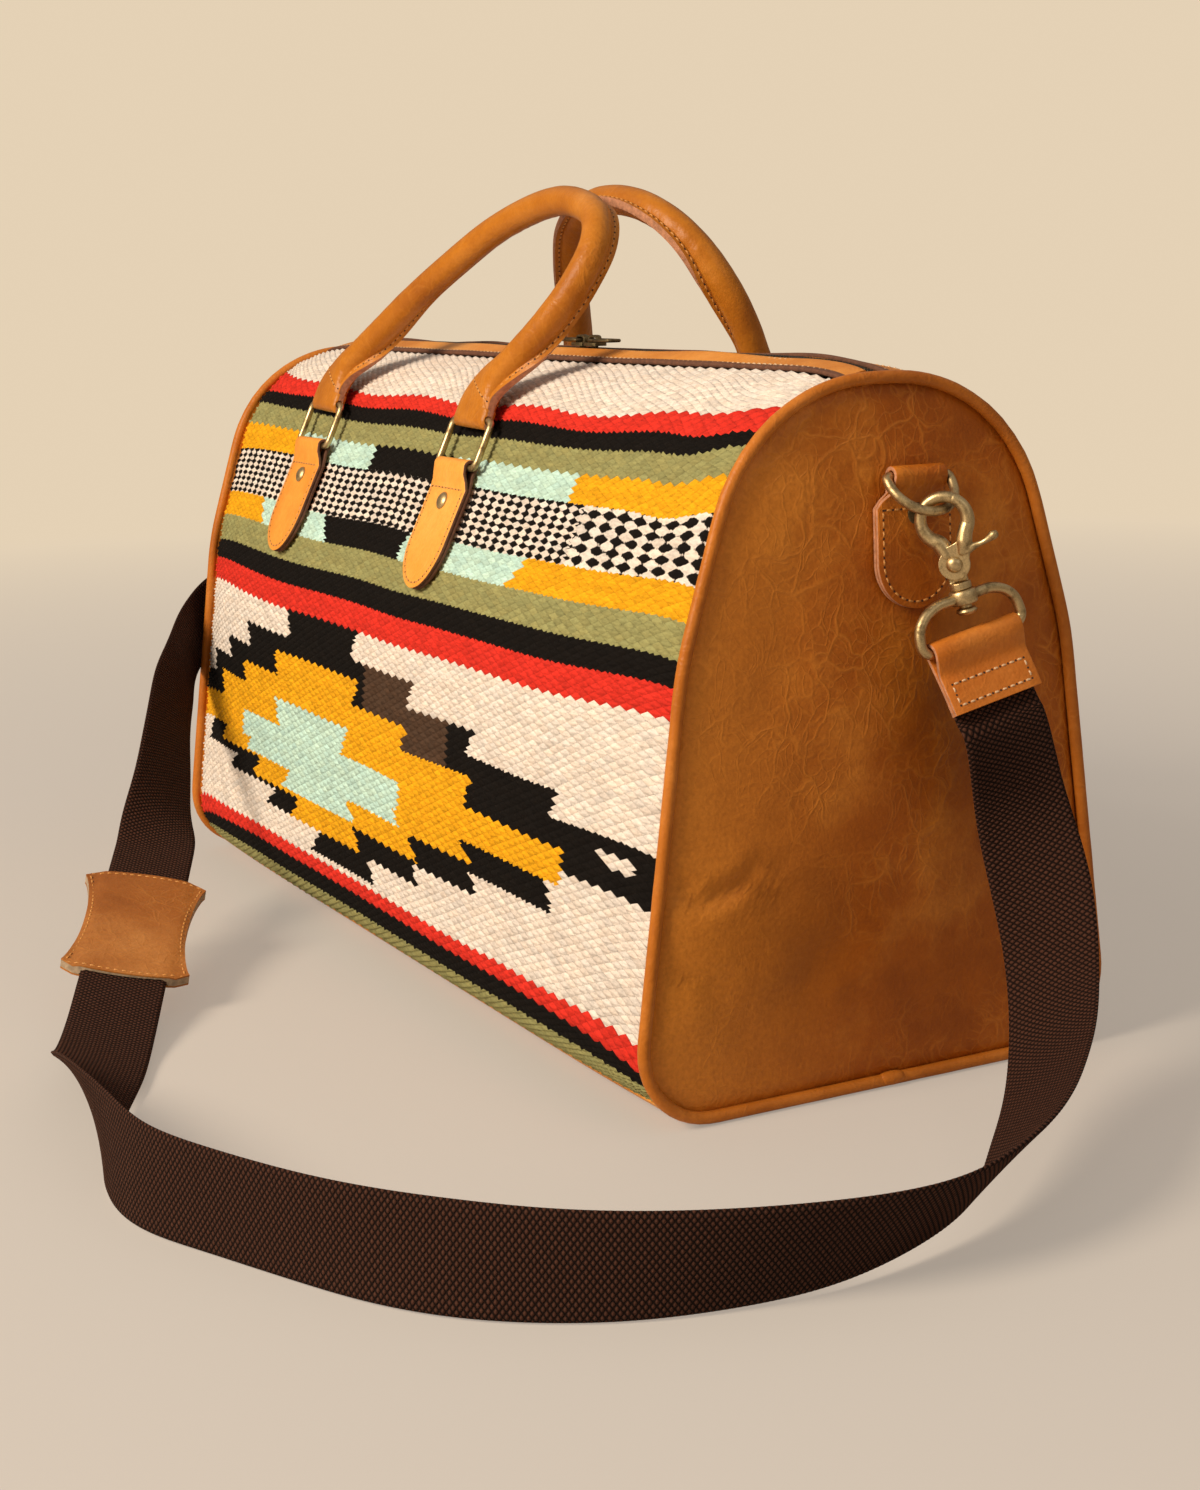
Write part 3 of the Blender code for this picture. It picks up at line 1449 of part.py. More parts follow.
def strap_start(side):
    """Where the webbing lies behind a tab: its middle line's points and its width direction."""
    frame = tab_frame(side)
    inward = BAIL_WIRE + GAP + TAB_LAYER + GAP + WEBBING_THICK / 2
    across = frame.to_3x3() @ Vector((1.0, 0.0, 0.0))
    drops = (0.005, TAB_LENGTH + 0.003, TAB_LENGTH + 0.014)
    places = [frame @ Vector((0.0, inward, -drop)) for drop in drops]
    return places, across


def strap_stations():
    """The webbing's middle line and width direction, smoothed."""
    near, near_across = strap_start(1)
    far, far_across = strap_start(-1)
    middle = [Vector(place) for place, _ in STRAP_ROUTE]
    across = [Vector(direction).normalized() for _, direction in STRAP_ROUTE]
    places = near + middle + far[::-1]
    directions = [near_across] * 3 + across + [far_across] * 3
    return smooth_path(places, 2)[::1], smooth_path(directions, 2)[::1]


def strap_webbing():
    places, directions = strap_stations()
    rings = []
    for k, (place, across) in enumerate(zip(places, directions)):
        tangent = (places[min(k + 1, len(places) - 1)] - places[max(k - 1, 0)]).normalized()
        across = (across - tangent * across.dot(tangent)).normalized() * WEBBING_WIDTH / 2
        normal = tangent.cross(across).normalized() * WEBBING_THICK / 2
        rings.append(
            [place + across + normal, place - across + normal, place - across - normal, place + across - normal]
        )
    return loft("strap_webbing", rings, webbing())


def pad_frame():
    """The pad's frame on the webbing's straight stretch: X along it, Y across and Z outward."""
    places, directions = strap_stations()
    target = Vector((-0.020, -0.2175, 0.0297))
    nearest = min(range(len(places)), key=lambda k: (places[k] - target).length)
    along = (places[nearest + 3] - places[nearest - 3]).normalized()
    across = directions[nearest]
    across = (across - along * across.dot(along)).normalized()
    frame = Matrix((along, across, along.cross(across))).transposed().to_4x4()
    frame.translation = places[nearest]
    return frame


def shoulder_pad():
    """A waisted pad with a flat slit through it for the webbing."""
    steps = 10
    top = []
    for k in range(steps + 1):
        share = 2 * k / steps - 1
        half = PAD_WAIST_HALF + (PAD_END_HALF - PAD_WAIST_HALF) * share**2
        bow = 0.004 * (1 - abs(share)) * 0
        top.append((share * PAD_LENGTH / 2 + bow, half))
    ends = [(PAD_LENGTH / 2 + 0.004, 0.0)]
    outline = top + ends + [(x, -y) for x, y in reversed(top)] + [(-PAD_LENGTH / 2 - 0.004, 0.0)]
    made = plate("shoulder_pad", outline, PAD_THICK, leather())
    room = WEBBING_THICK / 2 + PAD_SLIT_PLAY
    reach = WEBBING_WIDTH / 2 + PAD_SLIT_PLAY
    slit = box("pad_slit", (-PAD_LENGTH, -room, -reach), (PAD_LENGTH, room, reach))
    boolean(made, slit)
    frame = pad_frame() @ Matrix.Rotation(-math.pi / 2, 4, "X")
    for piece in (made, slit):
        piece.matrix_world = frame
    return made


# Assembly


def cut_rivet_hole(target, frame, length):
    reach = frame.to_3x3() @ Vector((0.0, 1.0, 0.0))
    origin = frame.translation
    hole = rod(
        f"{target.name}_rivet_hole_{len(target.modifiers)}",
        RIVET_SHANK + GAP,
        origin - reach * length,
        origin + reach * length,
        sides=12,
    )
    boolean(target, hole)


def build_body():
    walls = {-1: kilim_wall("carpet_front", -1), 1: kilim_wall("carpet_back", 1)}
    base_panel()
    base_board()
    lining_body()
    panels = {}
    for word, side in (("near", 1), ("far", -1)):
        lining_end(f"lining_end_{word}", side)
        panels[side] = end_panel(f"end_panel_{word}", side)
        piping(f"piping_{word}", side)
    for word, side in (("front", -1), ("back", 1)):
        zip_band(f"zip_band_{word}", side)
        zip_tape(f"zip_tape_{word}", side)
    return walls, panels


def build_zip():
    for word, side in (("near", 1), ("far", -1)):
        slider = zip_slider(f"zip_slider_{word}", side)
        carrier = pivot(f"zip_slide_{word}", (slider_x(side), 0.0, zip_height()))
        parent_to(slider, carrier)
        hinge = pivot(f"zip_pull_hinge_{word}", pull_axis(side))
        parent_to(hinge, carrier)
        parent_to(zip_pull(f"zip_pull_{word}", side), hinge)


def build_handles(walls):
    for word, side in (("front", -1), ("back", 1)):
        carriers = {}
        for end_word, end in (("near", 1), ("far", -1)):
            leather_piece = chape(f"handle_chape_{word}_{end_word}", side, end)
            spot = chape_rivet_frame(side, end)
            cut_rivet_hole(leather_piece, spot, 0.02)
            cut_rivet_hole(walls[side], spot, 0.02)
            head = spot @ Matrix.Translation((0.0, -GAP, 0.0))
            rivet(
                f"chape_rivet_{word}_{end_word}", head, RIVET_HEAD, RIVET_DOME, RIVET_SHANK,
                2 * CHAPE_LAYER + GAP + KILIM_THICK, brass(),
            )
            ring = handle_ring(f"handle_ring_{word}_{end_word}", side, end)
            carriers[end] = pivot(f"ring_hinge_{word}_{end_word}", lower_bar(side, end)[0])
            parent_to(ring, carriers[end])
        hinge = pivot(f"handle_hinge_{word}", upper_bar(side, 1))
        parent_to(hinge, carriers[1])
        parent_to(handle(f"handle_{word}", side), hinge)


def build_strap(panels):
    for word, side in (("near", 1), ("far", -1)):
        leather_piece = end_chape(f"end_chape_{word}", side)
        spot = end_rivet_frame(side)
        cut_rivet_hole(leather_piece, spot, 0.02)
        cut_rivet_hole(panels[side], spot, 0.02)
        head = spot @ Matrix.Translation((0.0, -GAP, 0.0))
        rivet(
            f"end_rivet_{word}", head, END_RIVET_HEAD, END_RIVET_FLAT, RIVET_SHANK,
            2 * CHAPE_LAYER + END_CHAPE_STAND + END_LEATHER, brass(),
        )
        hang = pivot(f"d_ring_hinge_{word}", d_origin(side))
        swivel = pivot(f"hook_swivel_{word}", hook_frame(side).translation)
        parent_to(swivel, hang)
        gate_axis = pivot(
            f"gate_hinge_{word}", hook_frame(side) @ Vector((0.0, 0.0, -PIVOT_DROP))
        )
        parent_to(gate_axis, swivel)
        for piece in (
            d_ring(f"d_ring_{word}", side),
            strap_bail(f"strap_bail_{word}", side),
            strap_tab(f"strap_tab_{word}", side),
        ):
            parent_to(piece, hang)
        parent_to(hook_body(f"hook_body_{word}", side), swivel)
        parent_to(hook_pin(f"hook_pin_{word}", side), swivel)
        parent_to(hook_gate(f"hook_gate_{word}", side), gate_axis)
    strap_webbing()
    shoulder_pad()


def main():
    start_scene()
    walls, panels = build_body()
    build_zip()
    build_handles(walls)
    build_strap(panels)
    bpy.context.view_layer.update()


main()
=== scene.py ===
"""The looks of the carpet duffel bag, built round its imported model.

Metres, in the model's frame: X runs along the bag with the near end at +X, the front wall faces -Y
and the floor is at 0. Sides are -1 for the front and the far end, 1 for the back and the near end.
Most sizes have the names and values that the solids are built from.
"""

import functools
import math
import random
import typing

import bmesh
import bpy
import numpy as np
from mathutils import Matrix, Vector, noise


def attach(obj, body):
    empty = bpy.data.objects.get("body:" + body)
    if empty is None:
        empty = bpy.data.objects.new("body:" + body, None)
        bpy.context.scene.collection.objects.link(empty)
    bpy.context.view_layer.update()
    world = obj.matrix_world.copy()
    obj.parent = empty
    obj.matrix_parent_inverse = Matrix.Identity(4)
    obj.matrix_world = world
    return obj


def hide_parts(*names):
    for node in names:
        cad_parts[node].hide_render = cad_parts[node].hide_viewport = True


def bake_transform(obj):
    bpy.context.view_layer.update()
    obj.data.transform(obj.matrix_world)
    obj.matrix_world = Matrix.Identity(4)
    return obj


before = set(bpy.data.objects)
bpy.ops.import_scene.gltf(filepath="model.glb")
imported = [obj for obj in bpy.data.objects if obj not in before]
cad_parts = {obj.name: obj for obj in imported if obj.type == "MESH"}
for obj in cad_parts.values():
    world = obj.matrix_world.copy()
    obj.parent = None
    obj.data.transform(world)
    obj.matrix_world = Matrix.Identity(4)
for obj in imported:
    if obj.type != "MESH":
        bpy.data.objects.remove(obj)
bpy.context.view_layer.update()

# The photograph's camera
CAMERA_PLACE = (0.9947, -0.504, 0.322)
CAMERA_YAW = math.radians(27.58)
CAMERA_PITCH = math.radians(11.58)
CAMERA_ROLL = math.radians(-1.33)
CAMERA_LENS = 56.08
FLOOR_COLOUR = (0.56, 0.51, 0.46)
FLOOR_GLOW = (0.70, 0.60, 0.50)
BACKDROP_COLOUR = (0.78, 0.64, 0.465)
FLOOR_REACH = 3.2
WALL_BEND = 1.4
WALL_TOP = 2.4
# Lights: place, aim, width, watts and colour
KEY_LIGHT = ((0.45, -2.25, 1.50), (0.0, 0.0, 0.14), 1.0, 80.0, (1.0, 0.87, 0.70))
SIDE_LIGHT = ((2.3, 0.3, 1.3), (0.1, 0.0, 0.12), 1.4, 3.5, (1.0, 0.92, 0.82))
SKY_COLOUR = (1.0, 0.93, 0.86)
SKY_STRENGTH = 0.38

# Bag body
BAG_LENGTH = 0.531
BAG_HEIGHT = 0.280
BASE_HALF = 0.112
BASE_RADIUS = 0.030
WAIST_HALF = 0.0885
WAIST_HEIGHT = 0.178
WAIST_RADIUS = 0.150
SHOULDER_HALF = 0.057
SHOULDER_RADIUS = 0.070
MID_SHOULDER_IN = 0.005
MID_SHOULDER_DROP = 0.008
MID_SHOULDER_TIGHTER = 0.015
MID_WAIST_OUT = 0.0125
MID_WAIST_DROP = 0.006
MID_WAIST_ROUNDER = 0.010
MID_BASE_OUT = 0.007
MID_BASE_ROUNDER = 0.006
RIDGE_RISE = 0.007
BULGE_POWER = 5
RIDGE_POWER = 12
MODEL_ARC_STEPS = 4  # the solids' corners, which the hardware is placed from
FINE_ARC_STEPS = 10

GAP = 0.0003
KILIM_TOP = 0.0168
BASE_PANEL_HALF = 0.0985
LEATHER = 0.0020
END_LEATHER = 0.0022
END_BULGE = 0.0050
END_CENTRE_HEIGHT = 0.135
PIPING_RADIUS = 0.0025

# Stitches
STITCH_PITCH = 0.0036
STITCH_LENGTH = 0.0026
STITCH_RADIUS = 0.00036
# Rings along a stitch: share of its length, rise in radii and thickness
STITCH_FORM = [
    (-0.5, -1.1, 0.45), (-0.38, -0.2, 0.85), (0.0, 0.4, 1.0), (0.38, -0.2, 0.85), (0.5, -1.1, 0.45),
]

# Weave
BUMP_PITCH = 0.0044  # half the distance between two bumps along a row
ROW_PITCH = 0.00175  # between rows
BUMP_DEPTH = 0.0009
CLOTH_SAG = 0.0009
FINE_SAG = 0.0004
PUCKER_DEPTH = 0.0006  # of the cloth's ruffles by the end seams
COARSE_START = 0.160  # the checked band is woven coarser from here to the near end
COARSE_CHECK = 0.70  # its tufts per ordinary tuft

# Zip
TEETH_OUTER = 0.0031
TEETH_INNER = 0.00045
TEETH_DEEP = 0.0028
TOOTH_HALF = 0.00062
TEETH_TOP = 0.0004
TOOTH_PITCH = 0.0021
TAPE_OUTER = 0.0115
TAPE_INNER = 0.0019
BAND_INNER = 0.0052
BAND_OUTER = 0.0165
BAND_RAISED = 0.0006
BAND_LIFT = 0.0016  # how far the band's edge by the zip stands up
TAPE_THICK = 0.0008
SLIDER_LENGTH = 0.0110
SLIDER_WIDTH = 0.0088
SLIDER_PLATE = 0.0015
SLIDER_NECK = 0.0007
SLIDER_TOP_GAP = 0.0005
SLIDER_BOTTOM_DEPTH = 0.0048
SLIDER_MEETING = 0.028
SLIDER_PITCH = 0.0122
BRIDGE_HEIGHT = 0.0034
BRIDGE_LENGTH = 0.0084
BRIDGE_WIDTH = 0.0030
PULL_WIRE = 0.0008
PULL_WIDTH = 0.0078
PULL_LENGTH = 0.0190

# Handles
HANDLE_SPREAD = 0.179
HANDLE_FRONT_CENTRE = -0.0525
HANDLE_BACK_CENTRE = -0.004
CHAPE_ARC = 0.0925
CHAPE_WIDTH = 0.038
CHAPE_LENGTH = 0.058
CHAPE_TIP = 0.022
CHAPE_LAYER = 0.00175
LOOP_WIDTH = 0.0325
RING_WIRE = 0.0016
RING_INNER = 0.0370
RING_RISE = 0.0225
RING_LEAN = math.radians(25)
RING_BEND = 0.0036
CHAPE_RIVET_DROP = 0.0165
RIVET_HEAD = 0.0042
RIVET_DOME = 0.0018
HANDLE_RADIUS = 0.00675
HANDLE_SIDES = 22
FIN_DEPTH = 0.0030
FIN_WIDTH = 0.0036
FIN_TURN_REACH = 0.080
HANDLE_END_WIDTH = 0.0320
HANDLE_END_THICK = 0.0078
HANDLE_FLAT_REACH = 0.034
HANDLE_ROW_DROP = 0.0135
CROWN_HEIGHT = 0.353
CROWN_OFFSET = 0.0105
FRONT_ARCH = [
    (0.0, 0.0), (0.003, 0.09), (0.04, 0.19), (0.11, 0.29), (0.19, 0.40), (0.29, 0.54),
    (0.42, 0.69), (0.59, 0.86), (0.76, 0.96), (0.92, 1.0), (1.07, 0.97), (1.18, 0.90), (1.24, 0.77),
    (1.235, 0.60), (1.18, 0.43), (1.10, 0.28), (1.03, 0.17), (1.002, 0.08), (1.0, 0.0),
]
BACK_ARCH = [
    (0.0, 0.0), (0.002, 0.09), (0.03, 0.19), (0.09, 0.30), (0.15, 0.42), (0.22, 0.56), (0.31, 0.72),
    (0.42, 0.87), (0.56, 0.97), (0.70, 1.0), (0.84, 0.97), (0.95, 0.88), (1.02, 0.74), (1.05, 0.56),
    (1.045, 0.38), (1.02, 0.22), (1.003, 0.10), (1.0, 0.0),
]

# End chapes and D rings
END_CHAPE_ACROSS = 0.0110
END_BAR_HEIGHT = 0.243
END_CHAPE_LENGTH = 0.0505
END_CHAPE_WIDTH = 0.036
END_CHAPE_TIP = 0.018
END_CHAPE_STAND = 0.0006
END_LOOP_WIDTH = 0.0240
D_WIRE = 0.0019
D_RADIUS = 0.0143
D_STRAIGHT = 0.0032
D_LEAN_NEAR = math.radians(43)
D_LEAN_FAR = math.radians(46)
END_RIVET_DROP = 0.0145
END_RIVET_HEAD = 0.0042
END_RIVET_FLAT = 0.0007

# Snap hooks, bails and tabs
EYE_RADIUS = 0.0088
EYE_WIRE = 0.0023
EYE_HANG = 0.0039
HOOK_TURN = math.radians(40)
PIVOT_DROP = 0.0170
COLLAR_DROP = 0.0300
NECK_END = 0.0345
NECK_RADIUS = 0.0024
BALL_RADIUS = 0.0042
SHANK_WIDTH = 0.0104
SHANK_THICK = 0.0060
GATE_PLATE = 0.0020
PIN_RADIUS = 0.0014
PIN_HEAD = 0.0031
BAIL_BAR_DROP = 0.0165
BAIL_WIRE = 0.0021
BAIL_HALF = 0.0236
COLLAR_RADIUS = 0.0052
COLLAR_THICK = 0.0056
TAB_WIDTH = 0.0410
TAB_LENGTH = 0.0250
TAB_LAYER = 0.0018
TAB_LEAN = math.radians(18)
NEAR_ROLL = math.radians(12)
FAR_ROLL = math.radians(-25)
CHAIN_LEAN = math.radians(8)

# Shoulder strap
WEBBING_WIDTH = 0.0380
WEBBING_THICK = 0.0016
NUB_PITCH = 0.00158  # across the webbing, two to a nub
NUB_ROW = 0.00115
NUB_DEPTH = 0.00014
PAD_REACH = 0.0425
PAD_END = 0.02838  # half its width at its ends
PAD_WAIST = 0.02346  # and at its waist
PAD_BOW = 0.0040  # how far its short ends bow out
PAD_CORNER = 0.0028
PAD_STEPS = 28
PAD_PARTS = 20
PAD_THICK = 0.0052
PAD_SLIT_PLAY = 0.0006
PAD_CENTRE = (-0.020, -0.2175, 0.0297)
# The webbing keeps its line for these lengths past the tabs and the pad, and eases over some rows
TAB_HOLD = 0.003
PAD_HOLD = 0.036
EASE_ROWS = 14
EASE_PASSES = 160

# The strap's middle line and the direction of the edge that is uppermost along the front
STRAP_ROUTE = [
    ((0.2965, 0.0420, 0.118), (0.20, 1.00, 0.20)),
    ((0.3080, 0.0420, 0.096), (0.50, 0.90, 0.20)),
    ((0.3190, 0.0400, 0.073), (0.80, 0.60, 0.30)),
    ((0.3300, 0.0340, 0.051), (0.80, 0.50, 0.40)),
    ((0.3460, 0.0210, 0.040), (0.70, 0.50, 0.50)),
    ((0.3680, 0.0000, 0.034), (0.60, 0.50, 0.60)),
    ((0.3920, -0.0260, 0.030), (0.60, 0.40, 0.60)),
    ((0.4090, -0.0500, 0.025), (0.60, 0.20, 0.80)),
    ((0.4180, -0.0760, 0.021), (0.60, 0.10, 0.80)),
    ((0.4220, -0.1050, 0.0198), (0.50, 0.00, 0.90)),
    ((0.4200, -0.1340, 0.0195), (0.30, -0.10, 0.90)),
    ((0.4130, -0.1620, 0.0195), (0.20, -0.10, 1.00)),
    ((0.4030, -0.1880, 0.0195), (0.10, 0.00, 1.00)),
    ((0.3880, -0.2120, 0.0195), (0.00, 0.00, 1.00)),
    ((0.3690, -0.2330, 0.0195), (-0.10, 0.10, 1.00)),
    ((0.3460, -0.2520, 0.0195), (0.00, 0.10, 1.00)),
    ((0.3220, -0.2660, 0.0195), (0.00, 0.00, 1.00)),
    ((0.2980, -0.2780, 0.0195), (0.00, 0.00, 1.00)),
    ((0.2760, -0.2880, 0.0195), (0.00, 0.00, 1.00)),
    ((0.2530, -0.2990, 0.0200), (0.00, 0.10, 1.00)),
    ((0.2190, -0.3000, 0.0205), (0.00, 0.10, 1.00)),
    ((0.1820, -0.2950, 0.0195), (-0.10, -0.20, 0.95)),
    ((0.1520, -0.2880, 0.0175), (-0.20, -0.50, 0.85)),
    ((0.1260, -0.2810, 0.0135), (-0.30, -0.70, 0.60)),
    ((0.1050, -0.2720, 0.0095), (-0.38, -0.88, 0.36)),
    ((0.0840, -0.2640, 0.0075), (-0.36, -0.89, 0.30)),
    ((0.0600, -0.2540, 0.0092), (-0.32, -0.93, 0.18)),
    ((0.0200, -0.23575, 0.01945), (-0.32, -0.93, 0.18)),
    ((-0.0200, -0.2175, 0.0297), (-0.32, -0.93, 0.18)),
    ((-0.0600, -0.19925, 0.03995), (-0.32, -0.93, 0.18)),
    ((-0.0900, -0.18556, 0.04764), (-0.32, -0.93, 0.18)),
    ((-0.1000, -0.1810, 0.0502), (-0.32, -0.93, 0.18)),
    ((-0.1180, -0.1730, 0.0620), (-0.05, -0.70, 0.68)),
    ((-0.1390, -0.1635, 0.0740), (0.00, -0.64, 0.74)),
    ((-0.1600, -0.1545, 0.0850), (0.04, -0.58, 0.80)),
    ((-0.1810, -0.1460, 0.0950), (0.04, -0.50, 0.86)),
    ((-0.2030, -0.1370, 0.1035), (0.04, -0.46, 0.88)),
    ((-0.2280, -0.1240, 0.1110), (0.05, -0.32, 0.94)),
    ((-0.2540, -0.1130, 0.1190), (0.02, -0.20, 0.98)),
    ((-0.2760, -0.0980, 0.1270), (-0.02, -0.12, 0.99)),
    ((-0.2910, -0.0790, 0.1360), (-0.10, -0.10, 0.99)),
]

WOOL = {
    "cream": (0.83, 0.72, 0.63),
    "red": (0.70, 0.036, 0.022),
    "black": (0.009, 0.007, 0.006),
    "brown": (0.080, 0.045, 0.028),
    "olive": (0.33, 0.31, 0.125),
    "turquoise": (0.56, 0.78, 0.68),
    "amber": (0.86, 0.40, 0.012),
}

# Kilim stripes: colour above, then the arc from the zip line to the stripe's lower edge at the end
# seams and at mid length
STRIPES = [
    ("cream", 0.0440, 0.0590),
    ("red", 0.0600, 0.0665),
    ("black", 0.0682, 0.0755),
    ("olive", 0.0820, 0.0867),
    ("upper band", 0.0970, 0.0990),
    ("checker", 0.1217, 0.1260),
    ("lower band", 0.1350, 0.1400),
    ("olive", 0.1494, 0.1537),
    ("black", 0.1590, 0.1647),
    ("red", 0.1711, 0.1775),
    ("cream", 0.2962, 0.2945),
    ("red", 0.3100, 0.3020),
    ("black", 0.3170, 0.3130),
]
LAST_STRIPE = "olive"
# Blocks of the two bands: colour up to each x
UPPER_BAND = [("amber", -0.173), ("turquoise", -0.073), ("black", 0.024), ("turquoise", 0.142), ("amber", 1)]
LOWER_BAND = [("amber", -0.198), ("turquoise", -0.103), ("black", 0.006), ("turquoise", 0.128), ("amber", 1)]
# Steps of the diamond: colour, the arcs of its upper and lower edge, its far and near end, and how
# far its ends draw in from the edge nearer to them
DIAMOND = [
    ("black", 0.175, 0.192, -0.118, -0.023),
    ("black", 0.192, 0.204, -0.178, 0.047),
    ("black", 0.204, 0.215, -0.213, 0.112),
    ("black", 0.215, 0.226, -0.243, 0.190),
    ("black", 0.226, 0.246, -1.0, 1.0),
    ("black", 0.246, 0.264, -0.243, 0.192),
    ("black", 0.264, 0.272, -0.198, 0.127),
    ("black", 0.272, 0.281, -0.133, 0.067),
    ("black", 0.281, 0.292, -0.068, 0.017),
    ("amber", 0.200, 0.213, -0.133, -0.018),
    ("amber", 0.213, 0.224, -0.183, 0.042),
    ("amber", 0.224, 0.237, -0.223, 0.112),
    ("amber", 0.237, 0.252, -1.0, 0.197),
    ("amber", 0.252, 0.260, -0.218, 0.117),
    ("amber", 0.260, 0.270, -0.158, 0.062),
    ("amber", 0.270, 0.281, -0.098, -0.003),
    ("turquoise", 0.225, 0.238, -0.128, -0.028),
    ("turquoise", 0.238, 0.252, -0.178, 0.037),
    ("turquoise", 0.252, 0.259, -0.173, 0.042),
    ("turquoise", 0.259, 0.268, -0.113, -0.013),
    ("cream", 0.2320, 0.2375, 0.2225, 0.2500),
]
DIAMOND_MIDDLE = 0.240
UPPER_SLANT = 0.0065
LOWER_SLANT = 0.0120
BROWN_PATCH = (0.191, 0.226, -0.012, 0.085)  # where the black wool runs brown

# Folds pressed into the near end panel: start and end as (y, z), half width and depth
NEAR_FOLDS = [
    ((-0.099, 0.0935), (-0.047, 0.0880), 0.0035, 0.0019),
    ((-0.098, 0.1015), (-0.074, 0.0950), 0.0030, 0.0012),
    ((-0.074, 0.0950), (-0.046, 0.1015), 0.0035, 0.0012),
    ((-0.102, 0.0690), (-0.079, 0.0535), 0.0035, 0.0011),
    ((-0.079, 0.0535), (-0.063, 0.0300), 0.0040, 0.0009),
    ((-0.063, 0.0300), (-0.044, 0.0090), 0.0045, 0.0008),
    ((-0.018, 0.0675), (-0.048, 0.0420), 0.0090, 0.0013),
    ((0.030, 0.1750), (0.048, 0.1200), 0.0100, 0.0009),
    ((-0.035, 0.2150), (-0.055, 0.1500), 0.0110, 0.0008),
]
NEAR_SWELLS = [((-0.080, 0.080), 0.020, 0.0020), ((-0.088, 0.045), 0.016, 0.0012)]
FAR_FOLDS = [
    ((0.096, 0.1000), (0.050, 0.0900), 0.0040, 0.0015),
    ((0.100, 0.0700), (0.064, 0.0320), 0.0045, 0.0010),
    ((-0.095, 0.0850), (-0.060, 0.0600), 0.0050, 0.0011),
    ((0.020, 0.0700), (0.050, 0.0450), 0.0090, 0.0012),
]
FAR_SWELLS = [((0.080, 0.080), 0.020, 0.0014)]


# Materials


class Tree:
    """One material's nodes, made by short calls."""

    def __init__(self, name, roughness=0.6, metallic=0.0, gloss=0.5):
        self.material = bpy.data.materials.new(name)
        self.material.use_nodes = True
        self.nodes = self.material.node_tree.nodes
        self.links = self.material.node_tree.links
        self.shader = self.nodes["Principled BSDF"]
        self.set(roughness=roughness, metallic=metallic)
        self.put(self.shader.inputs["Specular IOR Level"], gloss)

    def set(self, **values):
        for name, value in values.items():
            self.put(self.shader.inputs[name.replace("_", " ").title()], value)

    def put(self, socket, value):
        """Give an input its value or link it to another node's output."""
        if isinstance(value, bpy.types.NodeSocket):
            self.links.new(value, socket)
        else:
            socket.default_value = (*value, 1.0) if socket.type == "RGBA" else value

    def node(self, kind, inputs=(), **settings):
        """A new node; its inputs are given by name, by number or in order."""
        made = self.nodes.new("ShaderNode" + kind)
        for name, value in settings.items():
            setattr(made, name, value)
        for key, value in inputs.items() if isinstance(inputs, dict) else enumerate(inputs):
            self.put(made.inputs[key], value)
        return made

    def make(self, kind, inputs=(), output=0, **settings):
        return self.node(kind, inputs, **settings).outputs[output]

    def place(self, stretch=(1.0, 1.0, 1.0), kind="Object"):
        """Texture coordinates in metres, stretched."""
        return self.make("Mapping", {"Scale": stretch, "Vector": self.make("TexCoord", output=kind)})

    def layer(self, name):
        return self.make("UVMap", uv_map=name)

    def split(self, vector):
        return self.node("SeparateXYZ", [vector]).outputs

    def noise(self, scale, detail=3.0, at=None, roughness=0.55, distortion=0.0):
        inputs = {"Vector": at or self.place(), "Scale": scale, "Detail": detail}
        return self.make("TexNoise", inputs | {"Roughness": roughness, "Distortion": distortion}, "Fac")

    def wander(self, at, scale, reach):
        """Coordinates that noise moves by up to reach along each axis."""
        drift = self.make("TexNoise", {"Vector": self.place(), "Scale": scale}, "Color")
        return self.make("VectorMath", (drift, reach, at), operation="MULTIPLY_ADD")

    def cells(self, scale, at=None, feature="F1"):
        inputs = {"Vector": at or self.place(), "Scale": scale}
        return self.make("TexVoronoi", inputs, "Distance", feature=feature)

    def ramp(self, value, stops):
        node = self.node("ValToRGB", [value])
        elements = node.color_ramp.elements
        while len(elements) < len(stops):
            elements.new(0.5)
        for element, (position, colour) in zip(elements, stops):
            element.position = position
            element.color = (*colour, 1.0)
        return node.outputs["Color"]

    def span(self, value, low, high, first=0.0, last=1.0):
        """A value's stretch from low to high, as first to last."""
        inputs = {"Value": value, "From Min": low, "From Max": high, "To Min": first, "To Max": last}
        return self.make("MapRange", inputs, "Result")

    def math(self, operation, first, second=0.0):
        return self.make("Math", (first, second), operation=operation)

    def times(self, first, second):
        return self.math("MULTIPLY", first, second)

    def mix(self, share, first, second, kind="MIX"):
        return self.make("Mix", {0: share, 6: first, 7: second}, 2, data_type="RGBA", blend_type=kind)

    def bump(self, height, strength, distance, below=None):
        inputs = {"Strength": strength, "Distance": distance, "Height": height}
        if below is not None:
            inputs["Normal"] = below
        return self.make("Bump", inputs, "Normal")


def cell_place(tree, place):
    """Where a spot lies in its tuft or nub: two diagonal coordinates, each from -0.5 to 0.5."""
    turns = [tree.math("FRACT", tree.math("ADD", part, 0.5)) for part in tree.split(place)[:2]]
    return [tree.math("SUBTRACT", turn, 0.5) for turn in turns]


def cell_dome(tree, p, q):
    """A tuft's height: 1 in its middle and 0 at its edges, and below 0 over every other tuft."""
    return tree.times(*[tree.math("COSINE", tree.times(part, math.pi)) for part in (p, q)])


